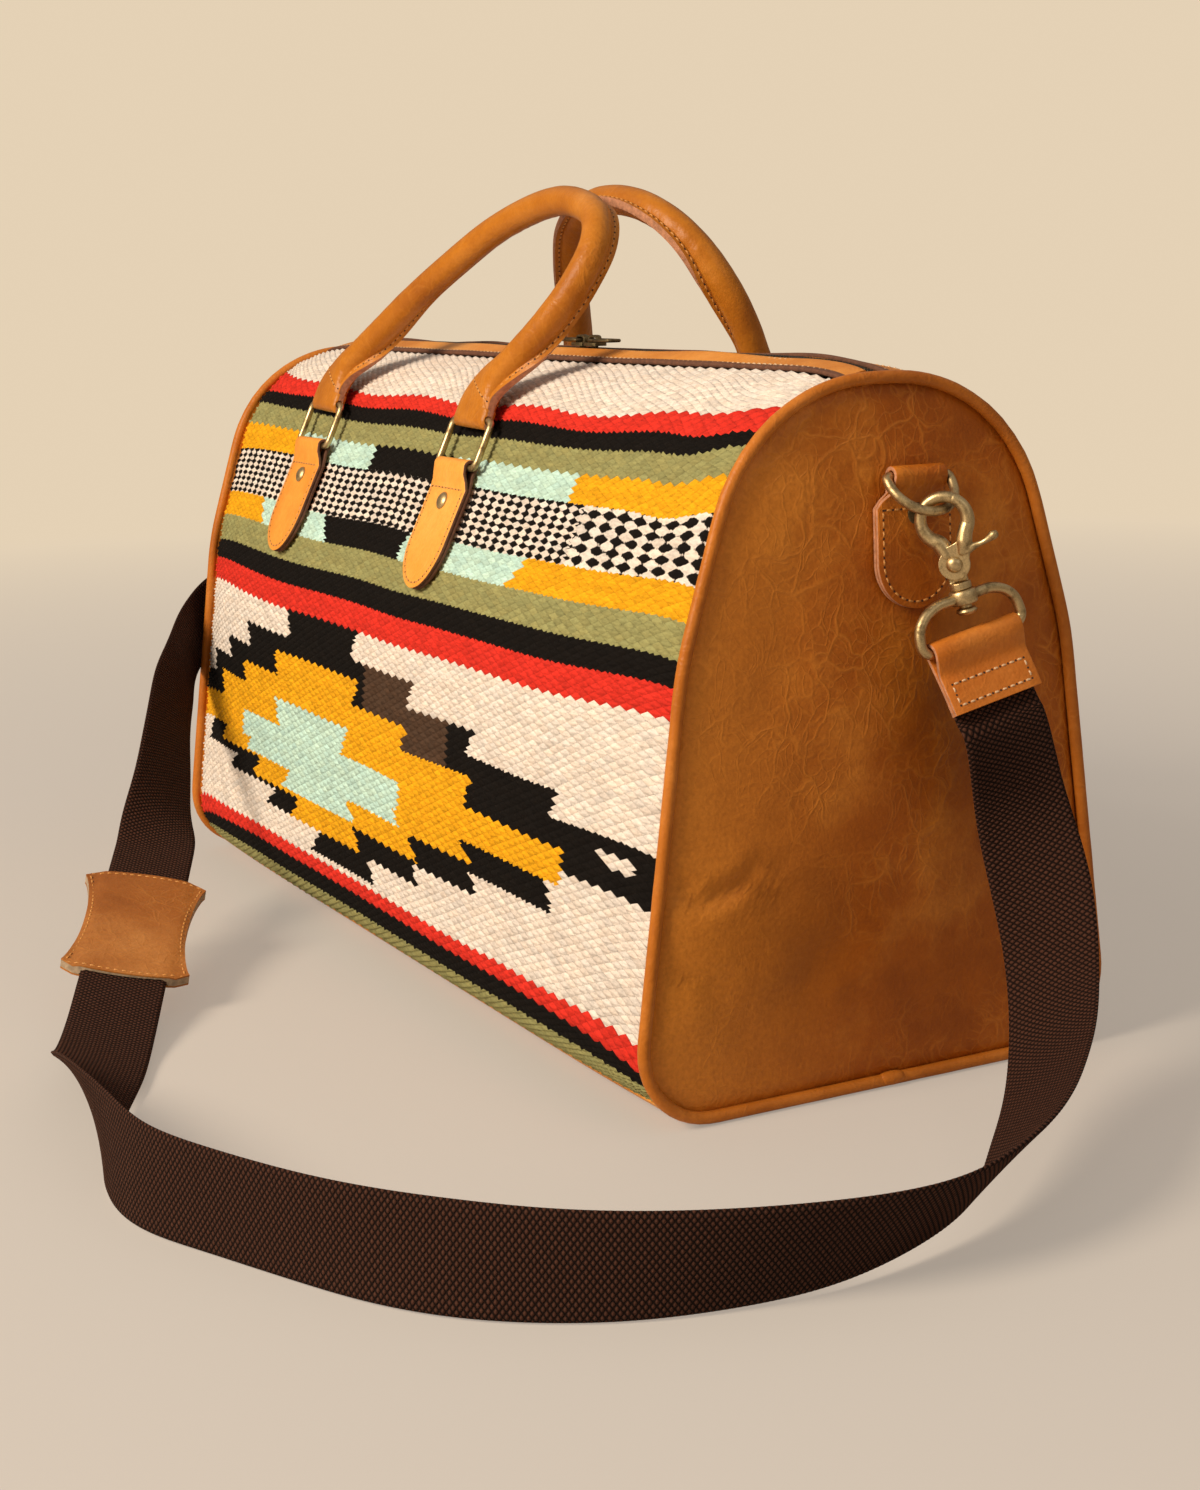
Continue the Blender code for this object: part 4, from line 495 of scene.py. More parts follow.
def leather_look(name, light, middle, dark, roughness=0.44, creases=0.3, painted_front_highlight=False):
    """Oiled leather: clouded colour, pale crease lines and a fine grain; on request a painted highlight makes
    it paler towards the front, where the light falls.
    """
    tree = Tree(name, gloss=0.22)
    cloud = tree.noise(15.0, 4.0, roughness=0.6)
    colour = tree.ramp(cloud, [(0.30, dark), (0.50, middle), (0.72, light)])
    # Painted highlight: the colour runs to the light tone towards the front (-Y), standing in for light
    # falling on that side
    if painted_front_highlight:
        forward = tree.split(tree.place())["Y"]
        colour = tree.mix(tree.span(forward, -0.010, -0.095, 0.0, 0.95), colour, light)
    # Creases are the edges of warped cells, showing only in patches
    bent = tree.wander(tree.place((1.0, 1.0, 0.7)), 38.0, (0.030, 0.030, 0.030))
    patch = tree.span(tree.noise(21.0, 2.0), 0.40, 0.60, 0.08, 1.0)
    nets = []
    for scale, width in ((58.0, 0.055), (170.0, 0.09)):
        net = tree.cells(scale, bent, "DISTANCE_TO_EDGE")
        nets.append(tree.times(tree.span(net, 0.0, width, creases, 0.0), patch))
    lines = tree.math("MAXIMUM", nets[0], tree.times(nets[1], 0.6))
    colour = tree.mix(tree.times(lines, 0.85), colour, light)
    colour = tree.mix(tree.span(tree.noise(520.0, 2.0), 0.35, 0.75, 0.0, 0.30), colour, dark)
    tree.set(base_color=colour, roughness=tree.span(cloud, 0.3, 0.7, roughness + 0.08, roughness - 0.06))
    grain = tree.bump(tree.cells(820.0, feature="SMOOTH_F1"), 0.30, 0.00040)
    pebbles = tree.bump(tree.noise(120.0, 4.0, distortion=0.8), 0.28, 0.0010, grain)
    tree.set(normal=tree.bump(lines, 0.45, 0.0007, pebbles))
    return tree.material


def fibre_look(name, colour, roughness, grain, shadow, stops, relief):
    """A colour that a fine noise darkens and roughens."""
    tree = Tree(name, roughness=roughness)
    fibre = tree.noise(*grain)
    dark = tuple(shadow * part for part in colour)
    tree.set(base_color=tree.ramp(fibre, list(zip(stops, (dark, colour)))))
    tree.set(normal=tree.bump(fibre, *relief))
    return tree.material


def edge_look(name, colour):
    """The cut edge of leather or felt, rough and matt."""
    return fibre_look(name, colour, 0.8, (420.0, 3.0), 0.55, (0.3, 0.7), (0.6, 0.0006))


def wool_look():
    """Hand spun wool: each tuft's own colour, with painted shade at its tips and rims where it meets the
    next, and with fibres and flecks.
    """
    tree = Tree("kilim_wool", roughness=0.95, gloss=0.08)
    wool = tree.node("Attribute", attribute_name="wool").outputs
    tuft = tree.layer("tuft")
    # In the checked band every other tuft is black
    fuzz = tree.span(tree.noise(420.0, 2.0), 0.3, 0.7, -0.20, 0.20)
    checks = tree.math("ADD", cell_dome(tree, *tree.split(tuft)[:2]), fuzz)
    black = tree.times(tree.span(checks, -0.10, 0.06, 1.0, 0.0), wool["Alpha"])
    own = tree.mix(black, wool["Color"], WOOL["black"])
    p, q = cell_place(tree, tree.wander(tuft, 420.0, (0.07, 0.07, 0.0)))
    # Painted shade: each tuft darkens towards its tips along the row and at its rims, where it meets its
    # neighbours; less so in the checked band
    along = tree.math("ABSOLUTE", tree.math("ADD", p, q))
    rim = tree.math("MAXIMUM", tree.math("ABSOLUTE", p), tree.math("ABSOLUTE", q))
    tip_shade, rim_shade = tree.span(along, 0.74, 1.0, 0.0, 0.62), tree.span(rim, 0.40, 0.5, 0.0, 0.13)
    plain = tree.math("SUBTRACT", 1.0, tree.times(wool["Alpha"], 0.7))
    gap = tree.times(tree.math("MAXIMUM", tip_shade, rim_shade), plain)
    strands = tree.noise(900.0, 3.0, tree.place((0.35, 1.0, 1.0)), 0.6)
    shade = tree.times(tree.span(strands, 0.25, 0.75, 0.70, 1.14), tree.math("SUBTRACT", 1.0, gap))
    colour = tree.mix(1.0, own, tree.ramp(shade, [(0.0, (0, 0, 0)), (1.0, (1, 1, 1))]), "MULTIPLY")
    hairs = tree.noise(760.0, 2.0, tree.place((0.22, 1.0, 2.4)), 0.7, 2.0)
    tree.set(base_color=tree.mix(tree.span(hairs, 0.74, 0.79, 0.0, 0.07), colour, (0.42, 0.36, 0.30)))
    low = tree.bump(cell_dome(tree, p, q), 0.70, 0.0009)
    fibre = tree.bump(strands, 0.60, 0.0007, low)
    tree.set(normal=tree.bump(tree.noise(330.0, 3.0), 0.40, 0.0009, fibre))
    return tree.material


def brass_look(name, bright, dark, roughness=0.33):
    """Aged brass: cast skin, dark in patches, rubbed bright between."""
    tree = Tree(name, metallic=1.0)
    age = tree.noise(150.0, 5.0, roughness=0.65)
    colour = tree.ramp(age, [(0.34, dark), (0.50, bright), (0.75, bright)])
    sand = tree.noise(1900.0, 2.0)
    tree.set(base_color=tree.mix(tree.span(sand, 0.42, 0.75, 0.0, 0.45), colour, dark))
    tree.set(roughness=tree.span(age, 0.35, 0.65, roughness + 0.20, roughness))
    tree.set(normal=tree.bump(sand, 0.16, 0.00015))
    return tree.material


def webbing_look():
    """Dark cotton webbing: lens-shaped nubs of twisted yarn in a brick order, with painted shade between
    them.
    """
    tree = Tree("webbing", roughness=0.88, gloss=0.12)
    dome = cell_dome(tree, *cell_place(tree, tree.layer("nub")))
    # Painted shade: the colour is dark in the hollows between the nubs and lighter on their tops
    colour = tree.ramp(dome, [(0.18, (0.009, 0.0035, 0.0022)), (0.72, (0.082, 0.032, 0.019))])
    yarn = tree.noise(1.0, 3.0, tree.place((900.0, 300.0, 1.0), "UV"))
    tree.set(base_color=tree.mix(tree.span(yarn, 0.40, 0.75, 0.0, 0.40), colour, (0.012, 0.005, 0.003)))
    tree.set(normal=tree.bump(yarn, 0.5, 0.0004, tree.bump(dome, 0.90, 0.0007)))
    return tree.material


def cloth_look(name, colour, pitch=0.0012, roughness=0.85):
    """A plain close weave, for the tape, the lining and the board."""
    tree = Tree(name, roughness=roughness, gloss=0.15)
    threads = [tree.noise(1.0 / pitch, 2.0, tree.place(way)) for way in ((1.0, 0.3, 0.3), (0.3, 1.0, 1.0))]
    both = tree.math("ADD", *threads)
    pale = tuple(min(1.0, 1.6 * part) for part in colour)
    tree.set(base_color=tree.ramp(tree.span(both, 0.7, 1.3), [(0.2, colour), (0.9, pale)]))
    tree.set(normal=tree.bump(both, 0.5, 0.0005))
    return tree.material


def thread_look(name, colour):
    """Waxed thread, twisted."""
    return fibre_look(name, colour, 0.55, (1800.0, 2.0), 0.6, (0.3, 0.65), (0.5, 0.0002))


# Leathers: their light, middle and dark colour
LEATHERS = {
    "panel": ((0.70, 0.245, 0.028), (0.41, 0.102, 0.0045), (0.26, 0.058, 0.003)),
    "piping": ((0.66, 0.235, 0.040), (0.50, 0.150, 0.014), (0.34, 0.088, 0.007)),
    "tan": ((0.84, 0.38, 0.085), (0.72, 0.275, 0.042), (0.50, 0.155, 0.017)),
    "chape": ((0.92, 0.44, 0.095), (0.86, 0.34, 0.048), (0.64, 0.200, 0.020)),
    "handle": ((0.66, 0.265, 0.042), (0.49, 0.165, 0.012), (0.31, 0.084, 0.005)),
    "tab": ((0.66, 0.235, 0.040), (0.56, 0.155, 0.014), (0.40, 0.098, 0.007)),
    "pad": ((0.50, 0.200, 0.046), (0.36, 0.118, 0.019), (0.24, 0.067, 0.009)),
}
# Each leather's creases and roughness, and on the end panel the painted highlight towards the front
WEAR_AND_PAINTED_SHEEN = {
    "panel": {"creases": 0.6, "painted_front_highlight": True},
    "handle": {"roughness": 0.38},
    "tab": {"creases": 0.2},
    "pad": {"creases": 0.4},
}
LOOKS = {
    "wool": wool_look(),
    "webbing": webbing_look(),
    "edge": edge_look("leather_edge", (0.16, 0.060, 0.028)),
    "raw": edge_look("raw_edge", (0.56, 0.25, 0.13)),
    "felt": edge_look("felt", (0.46, 0.33, 0.21)),
    # Painted shade: dark discs stand in for the shade inside the stitch holes
    "hole_shade": edge_look("stitch_hole_shade", (0.055, 0.022, 0.010)),
    "brass": brass_look("antique_brass", (0.62, 0.46, 0.235), (0.17, 0.115, 0.052)),
    "dark_brass": brass_look("dark_brass", (0.24, 0.185, 0.095), (0.085, 0.062, 0.032), 0.36),
    "tooth": brass_look("zip_teeth", (0.095, 0.075, 0.052), (0.030, 0.022, 0.016), 0.40),
    "tape": cloth_look("zip_tape", (0.022, 0.014, 0.011)),
    "lining": cloth_look("lining_cloth", (0.105, 0.075, 0.050), 0.0016),
    "board": cloth_look("board", (0.115, 0.085, 0.055), 0.0030, 0.9),
    "thread": thread_look("orange_thread", (0.74, 0.33, 0.075)),
    "pale_thread": thread_look("pale_thread", (0.84, 0.56, 0.32)),
}
for word, colours in LEATHERS.items():
    LOOKS[word] = leather_look(f"{word}_leather", *colours, **WEAR_AND_PAINTED_SHEEN.get(word, {}))

# The material slot of the solids that a look stands for
SLOTS = {"webbing": "webbing", "tape": "zip_tape", "brass": "antique_brass", "dark_brass": "antique_brass"}
SLOTS |= dict.fromkeys([*LEATHERS, "felt"], "tan_leather")


# Shapes


def circle(count):
    """Evenly spaced (cosine, sine) pairs round a circle."""
    angles = [2 * math.pi * k / count for k in range(count)]
    return [(math.cos(angle), math.sin(angle)) for angle in angles]


def course(points, closed=False):
    """A path's direction at each of its points."""
    last = len(points) - 1
    found = []
    for k in range(last + 1):
        before = points[k - 1] if closed or k else points[0]
        after = points[(k + 1) % (last + 1)] if closed or k < last else points[last]
        found.append((after - before).normalized())
    return found


def arc_marks(points):
    """How far along a path each of its points lies."""
    marks = [0.0]
    for here, after in zip(points, points[1:]):
        marks.append(marks[-1] + (after - here).length)
    return marks


class Shape:
    """Points and faces that grow by parts."""

    def __init__(self):
        self.points = []
        self.faces = []
        self.looks = []

    def add(self, points, faces, look=0):
        start = len(self.points)
        self.points += [tuple(point) for point in points]
        self.faces += [tuple(start + k for k in face) for face in faces]
        self.looks += look if isinstance(look, list) else [look] * len(faces)
        return self

    def loft(self, rings, look=0, closed=False, ring_looks=None):
        """A skin through rings of points. ring_looks gives each strip round the rings its own look."""
        count = len(rings[0])
        faces = []
        spans = len(rings) if closed else len(rings) - 1
        for row in range(spans):
            low, high = row * count, (row + 1) % len(rings) * count
            for k in range(count):
                after = (k + 1) % count
                faces.append((low + k, low + after, high + after, high + k))
        looks = (ring_looks or [look] * count) * spans
        if not closed:
            last = (len(rings) - 1) * count
            faces += [tuple(reversed(range(count))), tuple(range(last, last + count))]
            looks += [look, look]
        return self.add([point for ring in rings for point in ring], faces, looks)

    def tube(self, points, radius, sides=12, closed=False):
        """A round wire. radius is one number or one for each point."""
        points = [Vector(point) for point in points]
        radii = radius if isinstance(radius, list) else [radius] * len(points)
        if not closed:
            first = (points[0] - points[1]).normalized()
            last = (points[-1] - points[-2]).normalized()
            caps = ((0.55, 0.83), (0.9, 0.44))
            head = [(points[0] + first * radii[0] * reach, radii[0] * thin) for reach, thin in caps[::-1]]
            tail = [(points[-1] + last * radii[-1] * reach, radii[-1] * thin) for reach, thin in caps]
            radii = [r for _, r in head] + radii + [r for _, r in tail]
            points = [p for p, _ in head] + points + [p for p, _ in tail]
        rings = []
        side = None
        for place, along, reach in zip(points, course(points, closed), radii):
            side = along.orthogonal() if side is None else side - along * side.dot(along)
            side.normalize()
            other = along.cross(side)
            rings.append([place + (side * x + other * y) * reach for x, y in circle(sides)])
        return self.loft(rings, 0, closed)

    def ribbon(self, stations, bend, parts, edge_look=0):
        """A round-edged strip through stations of centre, across, normal, half width and thickness."""
        rings = []
        for centre, across, normal, half, thick in stations:
            edge = min(bend, thick * 0.48, half * 0.48)
            ring = []
            for quarter, (right, up) in enumerate(((1, 1), (-1, 1), (-1, -1), (1, -1))):
                x, y = right * (half - edge), up * (thick / 2 - edge)
                for k in range(3):
                    angle = math.pi / 2 * (quarter + k / 2)
                    ring.append((x + edge * math.cos(angle), y + edge * math.sin(angle)))
                if quarter in (0, 2):
                    ring += [(x - 2 * x * k / parts, y + up * edge) for k in range(1, parts)]
            rings.append([centre + across * x + normal * y for x, y in ring])
        side = edge_look
        looks = [side] + [0] * (parts + 2) + [side] * 3 + [0] * parts + [side] * 4
        return self.loft(rings, ring_looks=looks)

    def lathe(self, profile, place, steps=20):
        """A turned shape about the Z axis of a frame, from (radius, height) points."""
        rings = []
        for radius, height in profile:
            radius = max(radius, 0.00006)
            rings.append([place @ Vector((radius * x, radius * y, height)) for x, y in circle(steps)])
        return self.loft(rings)

    def slab(self, outline, front, back, place):
        """A flat plate from an (x, z) outline, between two depths along local Y."""
        count = len(outline)
        points = [place @ Vector((x, y, z)) for y in (front, back) for x, z in outline]
        faces = [tuple(range(count)), tuple(reversed(range(count, 2 * count)))]
        faces += [(k, k + count, (k + 1) % count + count, (k + 1) % count) for k in range(count)]
        return self.add(points, faces)

    def block(self, low, high, place, round_edge, look=0):
        """A box with rounded edges between two corners."""
        low, high = Vector(low), Vector(high)
        shell = bmesh.new()
        bmesh.ops.create_cube(shell, size=1.0)
        shell.transform(Matrix.Translation((low + high) / 2) @ Matrix.Diagonal((*(high - low), 1.0)))
        edges = shell.edges[:]
        bmesh.ops.bevel(shell, geom=edges, offset=round_edge, segments=2, profile=0.5, affect="EDGES")
        shell.verts.index_update()
        points = [place @ vert.co for vert in shell.verts]
        faces = [[vert.index for vert in face.verts] for face in shell.faces]
        shell.free()
        return self.add(points, faces, look)

    def stitches(self, path, pitch=STITCH_PITCH, length=STITCH_LENGTH, radius=STITCH_RADIUS, holes=True):
        """A row of stitches along a path of (surface point, normal), each between two holes."""
        arcs = arc_marks([place for place, _ in path])
        count = max(1, round(arcs[-1] / pitch))
        step = arcs[-1] / count
        table = np.array([(*place, *normal) for place, normal in path])

        def at(arc):
            found = [np.interp(arc, arcs, table[:, k]) for k in range(6)]
            return Vector(found[:3]), Vector(found[3:]).normalized()

        def along(arc, reach):
            return (at(arc + reach)[0] - at(arc - reach)[0]).normalized()

        for n in range(count):
            middle = (n + 0.5) * step
            forward = along(middle, 0.3 * length)
            rings = []
            for share, rise, thin in STITCH_FORM:
                place, normal = at(middle + share * length)
                side = forward.cross(normal)
                rings.append([
                    place + normal * rise * radius + (side * x * 1.15 + normal * y * 0.8) * radius * thin
                    for x, y in circle(6)
                ])
            self.loft(rings)
            # Each hole gets a small dark disc, painted shade for the pit that the thread enters
            if holes:
                place, normal = at(n * step)
                forward = along(n * step, 0.001)
                side = forward.cross(normal)
                ring = [place + (forward * x + side * y) * radius * 1.25 for x, y in circle(8)]
                self.loft([[point + normal * rise for point in ring] for rise in (-0.0003, 0.00006)], 1)
        return self


def add_object(name, mesh):
    made = bpy.data.objects.new(name, mesh)
    bpy.context.scene.collection.objects.link(made)
    return made


def add_piece(name, shape, looks, body=None, nodes=(), smooth=40):
    """Make a piece from a shape, ride it on its body and let it stand for its nodes."""
    mesh = bpy.data.meshes.new(name)
    mesh.from_pydata(shape.points, [], shape.faces)
    for look in looks:
        mesh.materials.append(LOOKS[look])
    mesh.polygons.foreach_set("material_index", shape.looks)
    shell = bmesh.new()
    shell.from_mesh(mesh)
    bmesh.ops.recalc_face_normals(shell, faces=shell.faces)
    shell.to_mesh(mesh)
    shell.free()
    mesh.shade_smooth()
    mesh.set_sharp_from_angle(angle=math.radians(smooth))
    made = add_object(name, mesh)
    if nodes:
        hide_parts(*nodes)
    if body:
        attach(made, body)
    return made


def apply_modifiers(made):
    """Give a piece the mesh that its modifiers make of it."""
    bpy.context.view_layer.update()
    shown = made.evaluated_get(bpy.context.evaluated_depsgraph_get())
    mesh = bpy.data.meshes.new_from_object(shown)
    made.modifiers.clear()
    made.data = mesh
    return mesh


def cast(made):
    """Melt a piece's overlapping parts into one smooth skin."""
    fuse = made.modifiers.new("fuse", "REMESH")
    fuse.mode = "VOXEL"
    fuse.voxel_size = 0.00022
    fuse.use_smooth_shade = True
    ease = made.modifiers.new("ease", "SMOOTH")
    ease.factor = 0.5
    ease.iterations = 8
    apply_modifiers(made).shade_smooth()


def smooth_path(points, per_span):
    """Points of a Catmull-Rom curve through the given ones."""
    padded = [points[0] * 2 - points[1], *points, points[-1] * 2 - points[-2]]
    path = []
    for before, start, end, after in zip(padded, padded[1:], padded[2:], padded[3:]):
        for k in range(per_span):
            t = k / per_span
            linear = (end - before) * t
            square = (2 * before - 5 * start + 4 * end - after) * t**2
            cube = (3 * start - before - 3 * end + after) * t**3
            path.append(0.5 * (2 * start + linear + square + cube))
    path.append(points[-1].copy())
    return path


def smooth_step(value):
    value = max(0.0, min(1.0, value))
    return value * value * (3 - 2 * value)


def outward_frame(origin, outward, up):
    """A frame whose local -Y looks outward and whose Z runs along up."""
    up = Vector(up).normalized()
    inward = -Vector(outward)
    inward = (inward - up * inward.dot(up)).normalized()
    across = inward.cross(up)
    made = Matrix((across, inward, up)).transposed().to_4x4()
    made.translation = Vector(origin)
    return made


# The bag's section


def rounded(corners, steps):
    """A path through corners of (across, height, radius), with an arc at each inner corner."""
    path = [Vector(corners[0][:2])]
    for before, here, after in zip(corners, corners[1:], corners[2:]):
        corner = Vector(here[:2])
        back = (Vector(before[:2]) - corner).normalized()
        ahead = (Vector(after[:2]) - corner).normalized()
        half = back.angle(ahead) / 2
        centre = corner + (back + ahead).normalized() * here[2] / math.sin(half)
        reach = here[2] / math.tan(half)
        first = corner + back * reach - centre
        last = corner + ahead * reach - centre
        sweep = first.angle_signed(last)
        for k in range(steps + 1):
            path.append(centre + Matrix.Rotation(-sweep * k / steps, 2) @ first)
    path.append(Vector(corners[-1][:2]))
    return path


@functools.lru_cache(maxsize=None)
def section(x, steps=MODEL_ARC_STEPS):
    """Half the section at x, from the zip line to the bottom line: points, arcs and normals."""
    share = min(1.0, abs(2 * x / BAG_LENGTH))
    bulge = 1 - share**BULGE_POWER
    rise = RIDGE_RISE * (1 - share**RIDGE_POWER)
    path = rounded(
        [
            (0.0, BAG_HEIGHT + rise, 0.0),
            (
                SHOULDER_HALF - MID_SHOULDER_IN * bulge,
                BAG_HEIGHT - MID_SHOULDER_DROP * bulge,
                SHOULDER_RADIUS - MID_SHOULDER_TIGHTER * bulge,
            ),
            (
                WAIST_HALF + MID_WAIST_OUT * bulge,
                WAIST_HEIGHT - MID_WAIST_DROP * bulge,
                WAIST_RADIUS + MID_WAIST_ROUNDER * bulge,
            ),
            (BASE_HALF + MID_BASE_OUT * bulge, 0.0, BASE_RADIUS + MID_BASE_ROUNDER * bulge),
            (0.0, 0.0, 0.0),
        ],
        steps,
    )
    points = np.array(path)
    pieces = np.diff(points, axis=0)
    lengths = np.linalg.norm(pieces, axis=1)
    arcs = np.concatenate([[0.0], np.cumsum(lengths)])
    normals = np.stack([-pieces[:, 1], pieces[:, 0]], axis=1) / lengths[:, None]
    return points, arcs, normals


def section_length(x, steps=MODEL_ARC_STEPS):
    return section(x, steps)[1][-1]


def wall_line(x, arcs, insets, side, steps=FINE_ARC_STEPS):
    """Points of the wall at x for arrays of arcs and insets, and their normals."""
    points, marks, normals = section(x, steps)
    arcs = np.asarray(arcs, float)
    middles = (marks[1:] + marks[:-1]) / 2
    normal = np.stack([np.interp(arcs, middles, normals[:, k]) for k in range(2)], axis=1)
    normal /= np.linalg.norm(normal, axis=1)[:, None]
    place = np.stack([np.interp(arcs, marks, points[:, k]) for k in range(2)], axis=1)
    place -= np.asarray(insets, float).reshape(-1, 1) * normal
    flat = np.zeros(len(arcs))
    places = np.stack([flat + x, side * place[:, 0], place[:, 1]], axis=1)
    return places, np.stack([flat, side * normal[:, 0], normal[:, 1]], axis=1)


def wall_point(x, arc, inset=0.0, side=-1, steps=MODEL_ARC_STEPS):
    places, normals = wall_line(x, [arc], [inset], side, steps)
    return Vector(places[0]), Vector(normals[0])


def end_x():
    return BAG_LENGTH / 2 - PIPING_RADIUS - GAP


def even_x(count):
    return [end_x() * (2 * k / (count - 1) - 1) for k in range(count)]


@functools.lru_cache(maxsize=None)
def end_outline(inset, steps=MODEL_ARC_STEPS):
    """The end seam's outline as (y, z) points, kept clear of the floor by the piping."""
    path = rounded(
        [
            (0.0, BAG_HEIGHT, 0.0),
            (SHOULDER_HALF, BAG_HEIGHT, SHOULDER_RADIUS),
            (WAIST_HALF, WAIST_HEIGHT, WAIST_RADIUS),
            (BASE_HALF, PIPING_RADIUS, BASE_RADIUS),
            (0.0, PIPING_RADIUS, 0.0),
        ],
        steps,
    )
    points = np.array(path)
    pieces = np.diff(points, axis=0)
    pieces /= np.linalg.norm(pieces, axis=1)[:, None]
    normals = np.stack([-pieces[:, 1], pieces[:, 0]], axis=1)
    corner = np.concatenate([normals[:1], normals[1:] + normals[:-1], normals[-1:]])
    corner /= np.linalg.norm(corner, axis=1)[:, None]
    corner[0] = (0.0, 1.0)
    corner[-1] = (0.0, -1.0)
    half = points - inset * corner
    right = [tuple(point) for point in half]
    left = [(-across, height) for across, height in reversed(right[1:-1])]
    return right + left


def even_outline(inset, count):
    """The end outline as evenly spaced points."""
    rim = np.array(end_outline(inset, FINE_ARC_STEPS) + end_outline(inset, FINE_ARC_STEPS)[:1])
    marks = np.concatenate([[0.0], np.cumsum(np.linalg.norm(np.diff(rim, axis=0), axis=1))])
    arcs = [marks[-1] * k / count for k in range(count)]
    return [(np.interp(arc, marks, rim[:, 0]), np.interp(arc, marks, rim[:, 1])) for arc in arcs]


def panel_inset():
    return PIPING_RADIUS + GAP


def panel_start():
    return BAG_LENGTH / 2 - PIPING_RADIUS + GAP


def end_surface(across, height, side):
    """The end panel's outer point at (across, height) and its outward normal."""
    rim = np.array(end_outline(panel_inset()))
    angles = np.unwrap(np.arctan2(rim[:, 1] - END_CENTRE_HEIGHT, rim[:, 0]))
    reach = np.hypot(rim[:, 0], rim[:, 1] - END_CENTRE_HEIGHT)
    order = np.argsort(angles)

    def depth(y, z):
        angle = math.atan2(z - END_CENTRE_HEIGHT, y)
        angle = angles.min() + (angle - angles.min()) % (2 * math.pi)
        share = math.hypot(y, z - END_CENTRE_HEIGHT) / np.interp(angle, angles[order], reach[order])
        return panel_start() + END_LEATHER + END_BULGE * (1 - share**2)

    step = 0.004
    slope_y = (depth(across + step, height) - depth(across - step, height)) / (2 * step)
    slope_z = (depth(across, height + step) - depth(across, height - step)) / (2 * step)
    place = Vector((side * depth(across, height), across, height))
    return place, Vector((side, -slope_y, -slope_z)).normalized()


# Camera, floor and light


def camera():
    yaw, pitch, roll = CAMERA_YAW, CAMERA_PITCH, CAMERA_ROLL
    ahead = Vector((-math.cos(yaw) * math.cos(pitch), math.sin(yaw) * math.cos(pitch), -math.sin(pitch)))
    level = ahead.cross(Vector((0.0, 0.0, 1.0))).normalized()
    upright = level.cross(ahead)
    right = level * math.cos(roll) + upright * math.sin(roll)
    up = upright * math.cos(roll) - level * math.sin(roll)
    data = bpy.data.cameras.new("camera")
    data.sensor_width = 36.0
    data.lens = CAMERA_LENS
    made = add_object("camera", data)
    made.matrix_world = Matrix((right, up, -ahead)).transposed().to_4x4()
    made.location = CAMERA_PLACE
    bpy.context.scene.camera = made


def floor():
    """A round floor that turns up into a low wall far off, so no edge shows."""
    bends = [math.pi / 2 * k / 10 for k in range(11)]
    profile = [(0.001, 0.0), (1.0, 0.0)]
    profile += [(FLOOR_REACH + WALL_BEND * math.sin(a), WALL_BEND - WALL_BEND * math.cos(a)) for a in bends]
    profile.append((FLOOR_REACH + WALL_BEND, WALL_TOP))
    count = 96
    points = [(out * x, out * y, height - 0.0004) for out, height in profile for x, y in circle(count)]
    faces = []
    for row in range(len(profile) - 1):
        low, high = row * count, (row + 1) * count
        for k in range(count):
            after = (k + 1) % count
            faces.append((low + k, low + after, high + after, high + k))
    faces.append(tuple(range(count)))
    add_piece("floor", Shape().add(points, faces), ["floor"])


def floor_look():
    """A matt pale floor; the camera sees part of it in an even colour, and all of it far off."""
    tree = Tree("floor", roughness=0.9, gloss=0.1)
    pale = tuple(1.03 * part for part in FLOOR_COLOUR)
    tree.set(base_color=tree.ramp(tree.noise(1.3, 2.0), [(0.3, FLOOR_COLOUR), (0.7, pale)]))
    away = tree.make("VectorMath", [tree.place()], "Value", operation="LENGTH")
    glow = tree.make("Emission", [tree.mix(tree.span(away, 0.5, 2.0), FLOOR_GLOW, BACKDROP_COLOUR)])
    seen = tree.times(tree.span(away, 0.3, 1.9, 0.45, 1.0), tree.make("LightPath", output="Is Camera Ray"))
    both = tree.make("MixShader", (seen, tree.shader.outputs[0], glow))
    tree.put(tree.nodes["Material Output"].inputs["Surface"], both)
    return tree.material


def area_light(name, place, aim, size, watts, colour):
    data = bpy.data.lights.new(name, "AREA")
    data.shape = "DISK"
    data.size = size
    data.energy = watts
    data.color = colour
    made = add_object(name, data)
    made.location = place
    made.rotation_mode = "QUATERNION"
    made.rotation_quaternion = (Vector(aim) - Vector(place)).to_track_quat("-Z", "Y")


def stage():
    LOOKS["floor"] = floor_look()
    floor()
    area_light("key", *KEY_LIGHT)
    area_light("side", *SIDE_LIGHT)
    world = bpy.data.worlds.new("sky")
    bpy.context.scene.world = world
    world.use_nodes = True
    sky = world.node_tree.nodes["Background"]
    sky.inputs["Color"].default_value = (*SKY_COLOUR, 1.0)
    sky.inputs["Strength"].default_value = SKY_STRENGTH
    bpy.context.scene.view_settings.view_transform = "Standard"


# Frames of the hooks and the strap


def d_bar(side):
    """The D ring's straight bar, in the end chape's fold."""
    surface, normal = end_surface(END_CHAPE_ACROSS, END_BAR_HEIGHT, side)
    return surface + normal * (END_CHAPE_STAND + CHAPE_LAYER + GAP + D_WIRE)


def end_chape_frame(side):
    _, normal = end_surface(END_CHAPE_ACROSS, END_BAR_HEIGHT - END_CHAPE_LENGTH / 2, side)
    up = Vector((0.0, 0.0, 1.0))
    return outward_frame(d_bar(side), normal, (up - normal * up.dot(normal)).normalized())


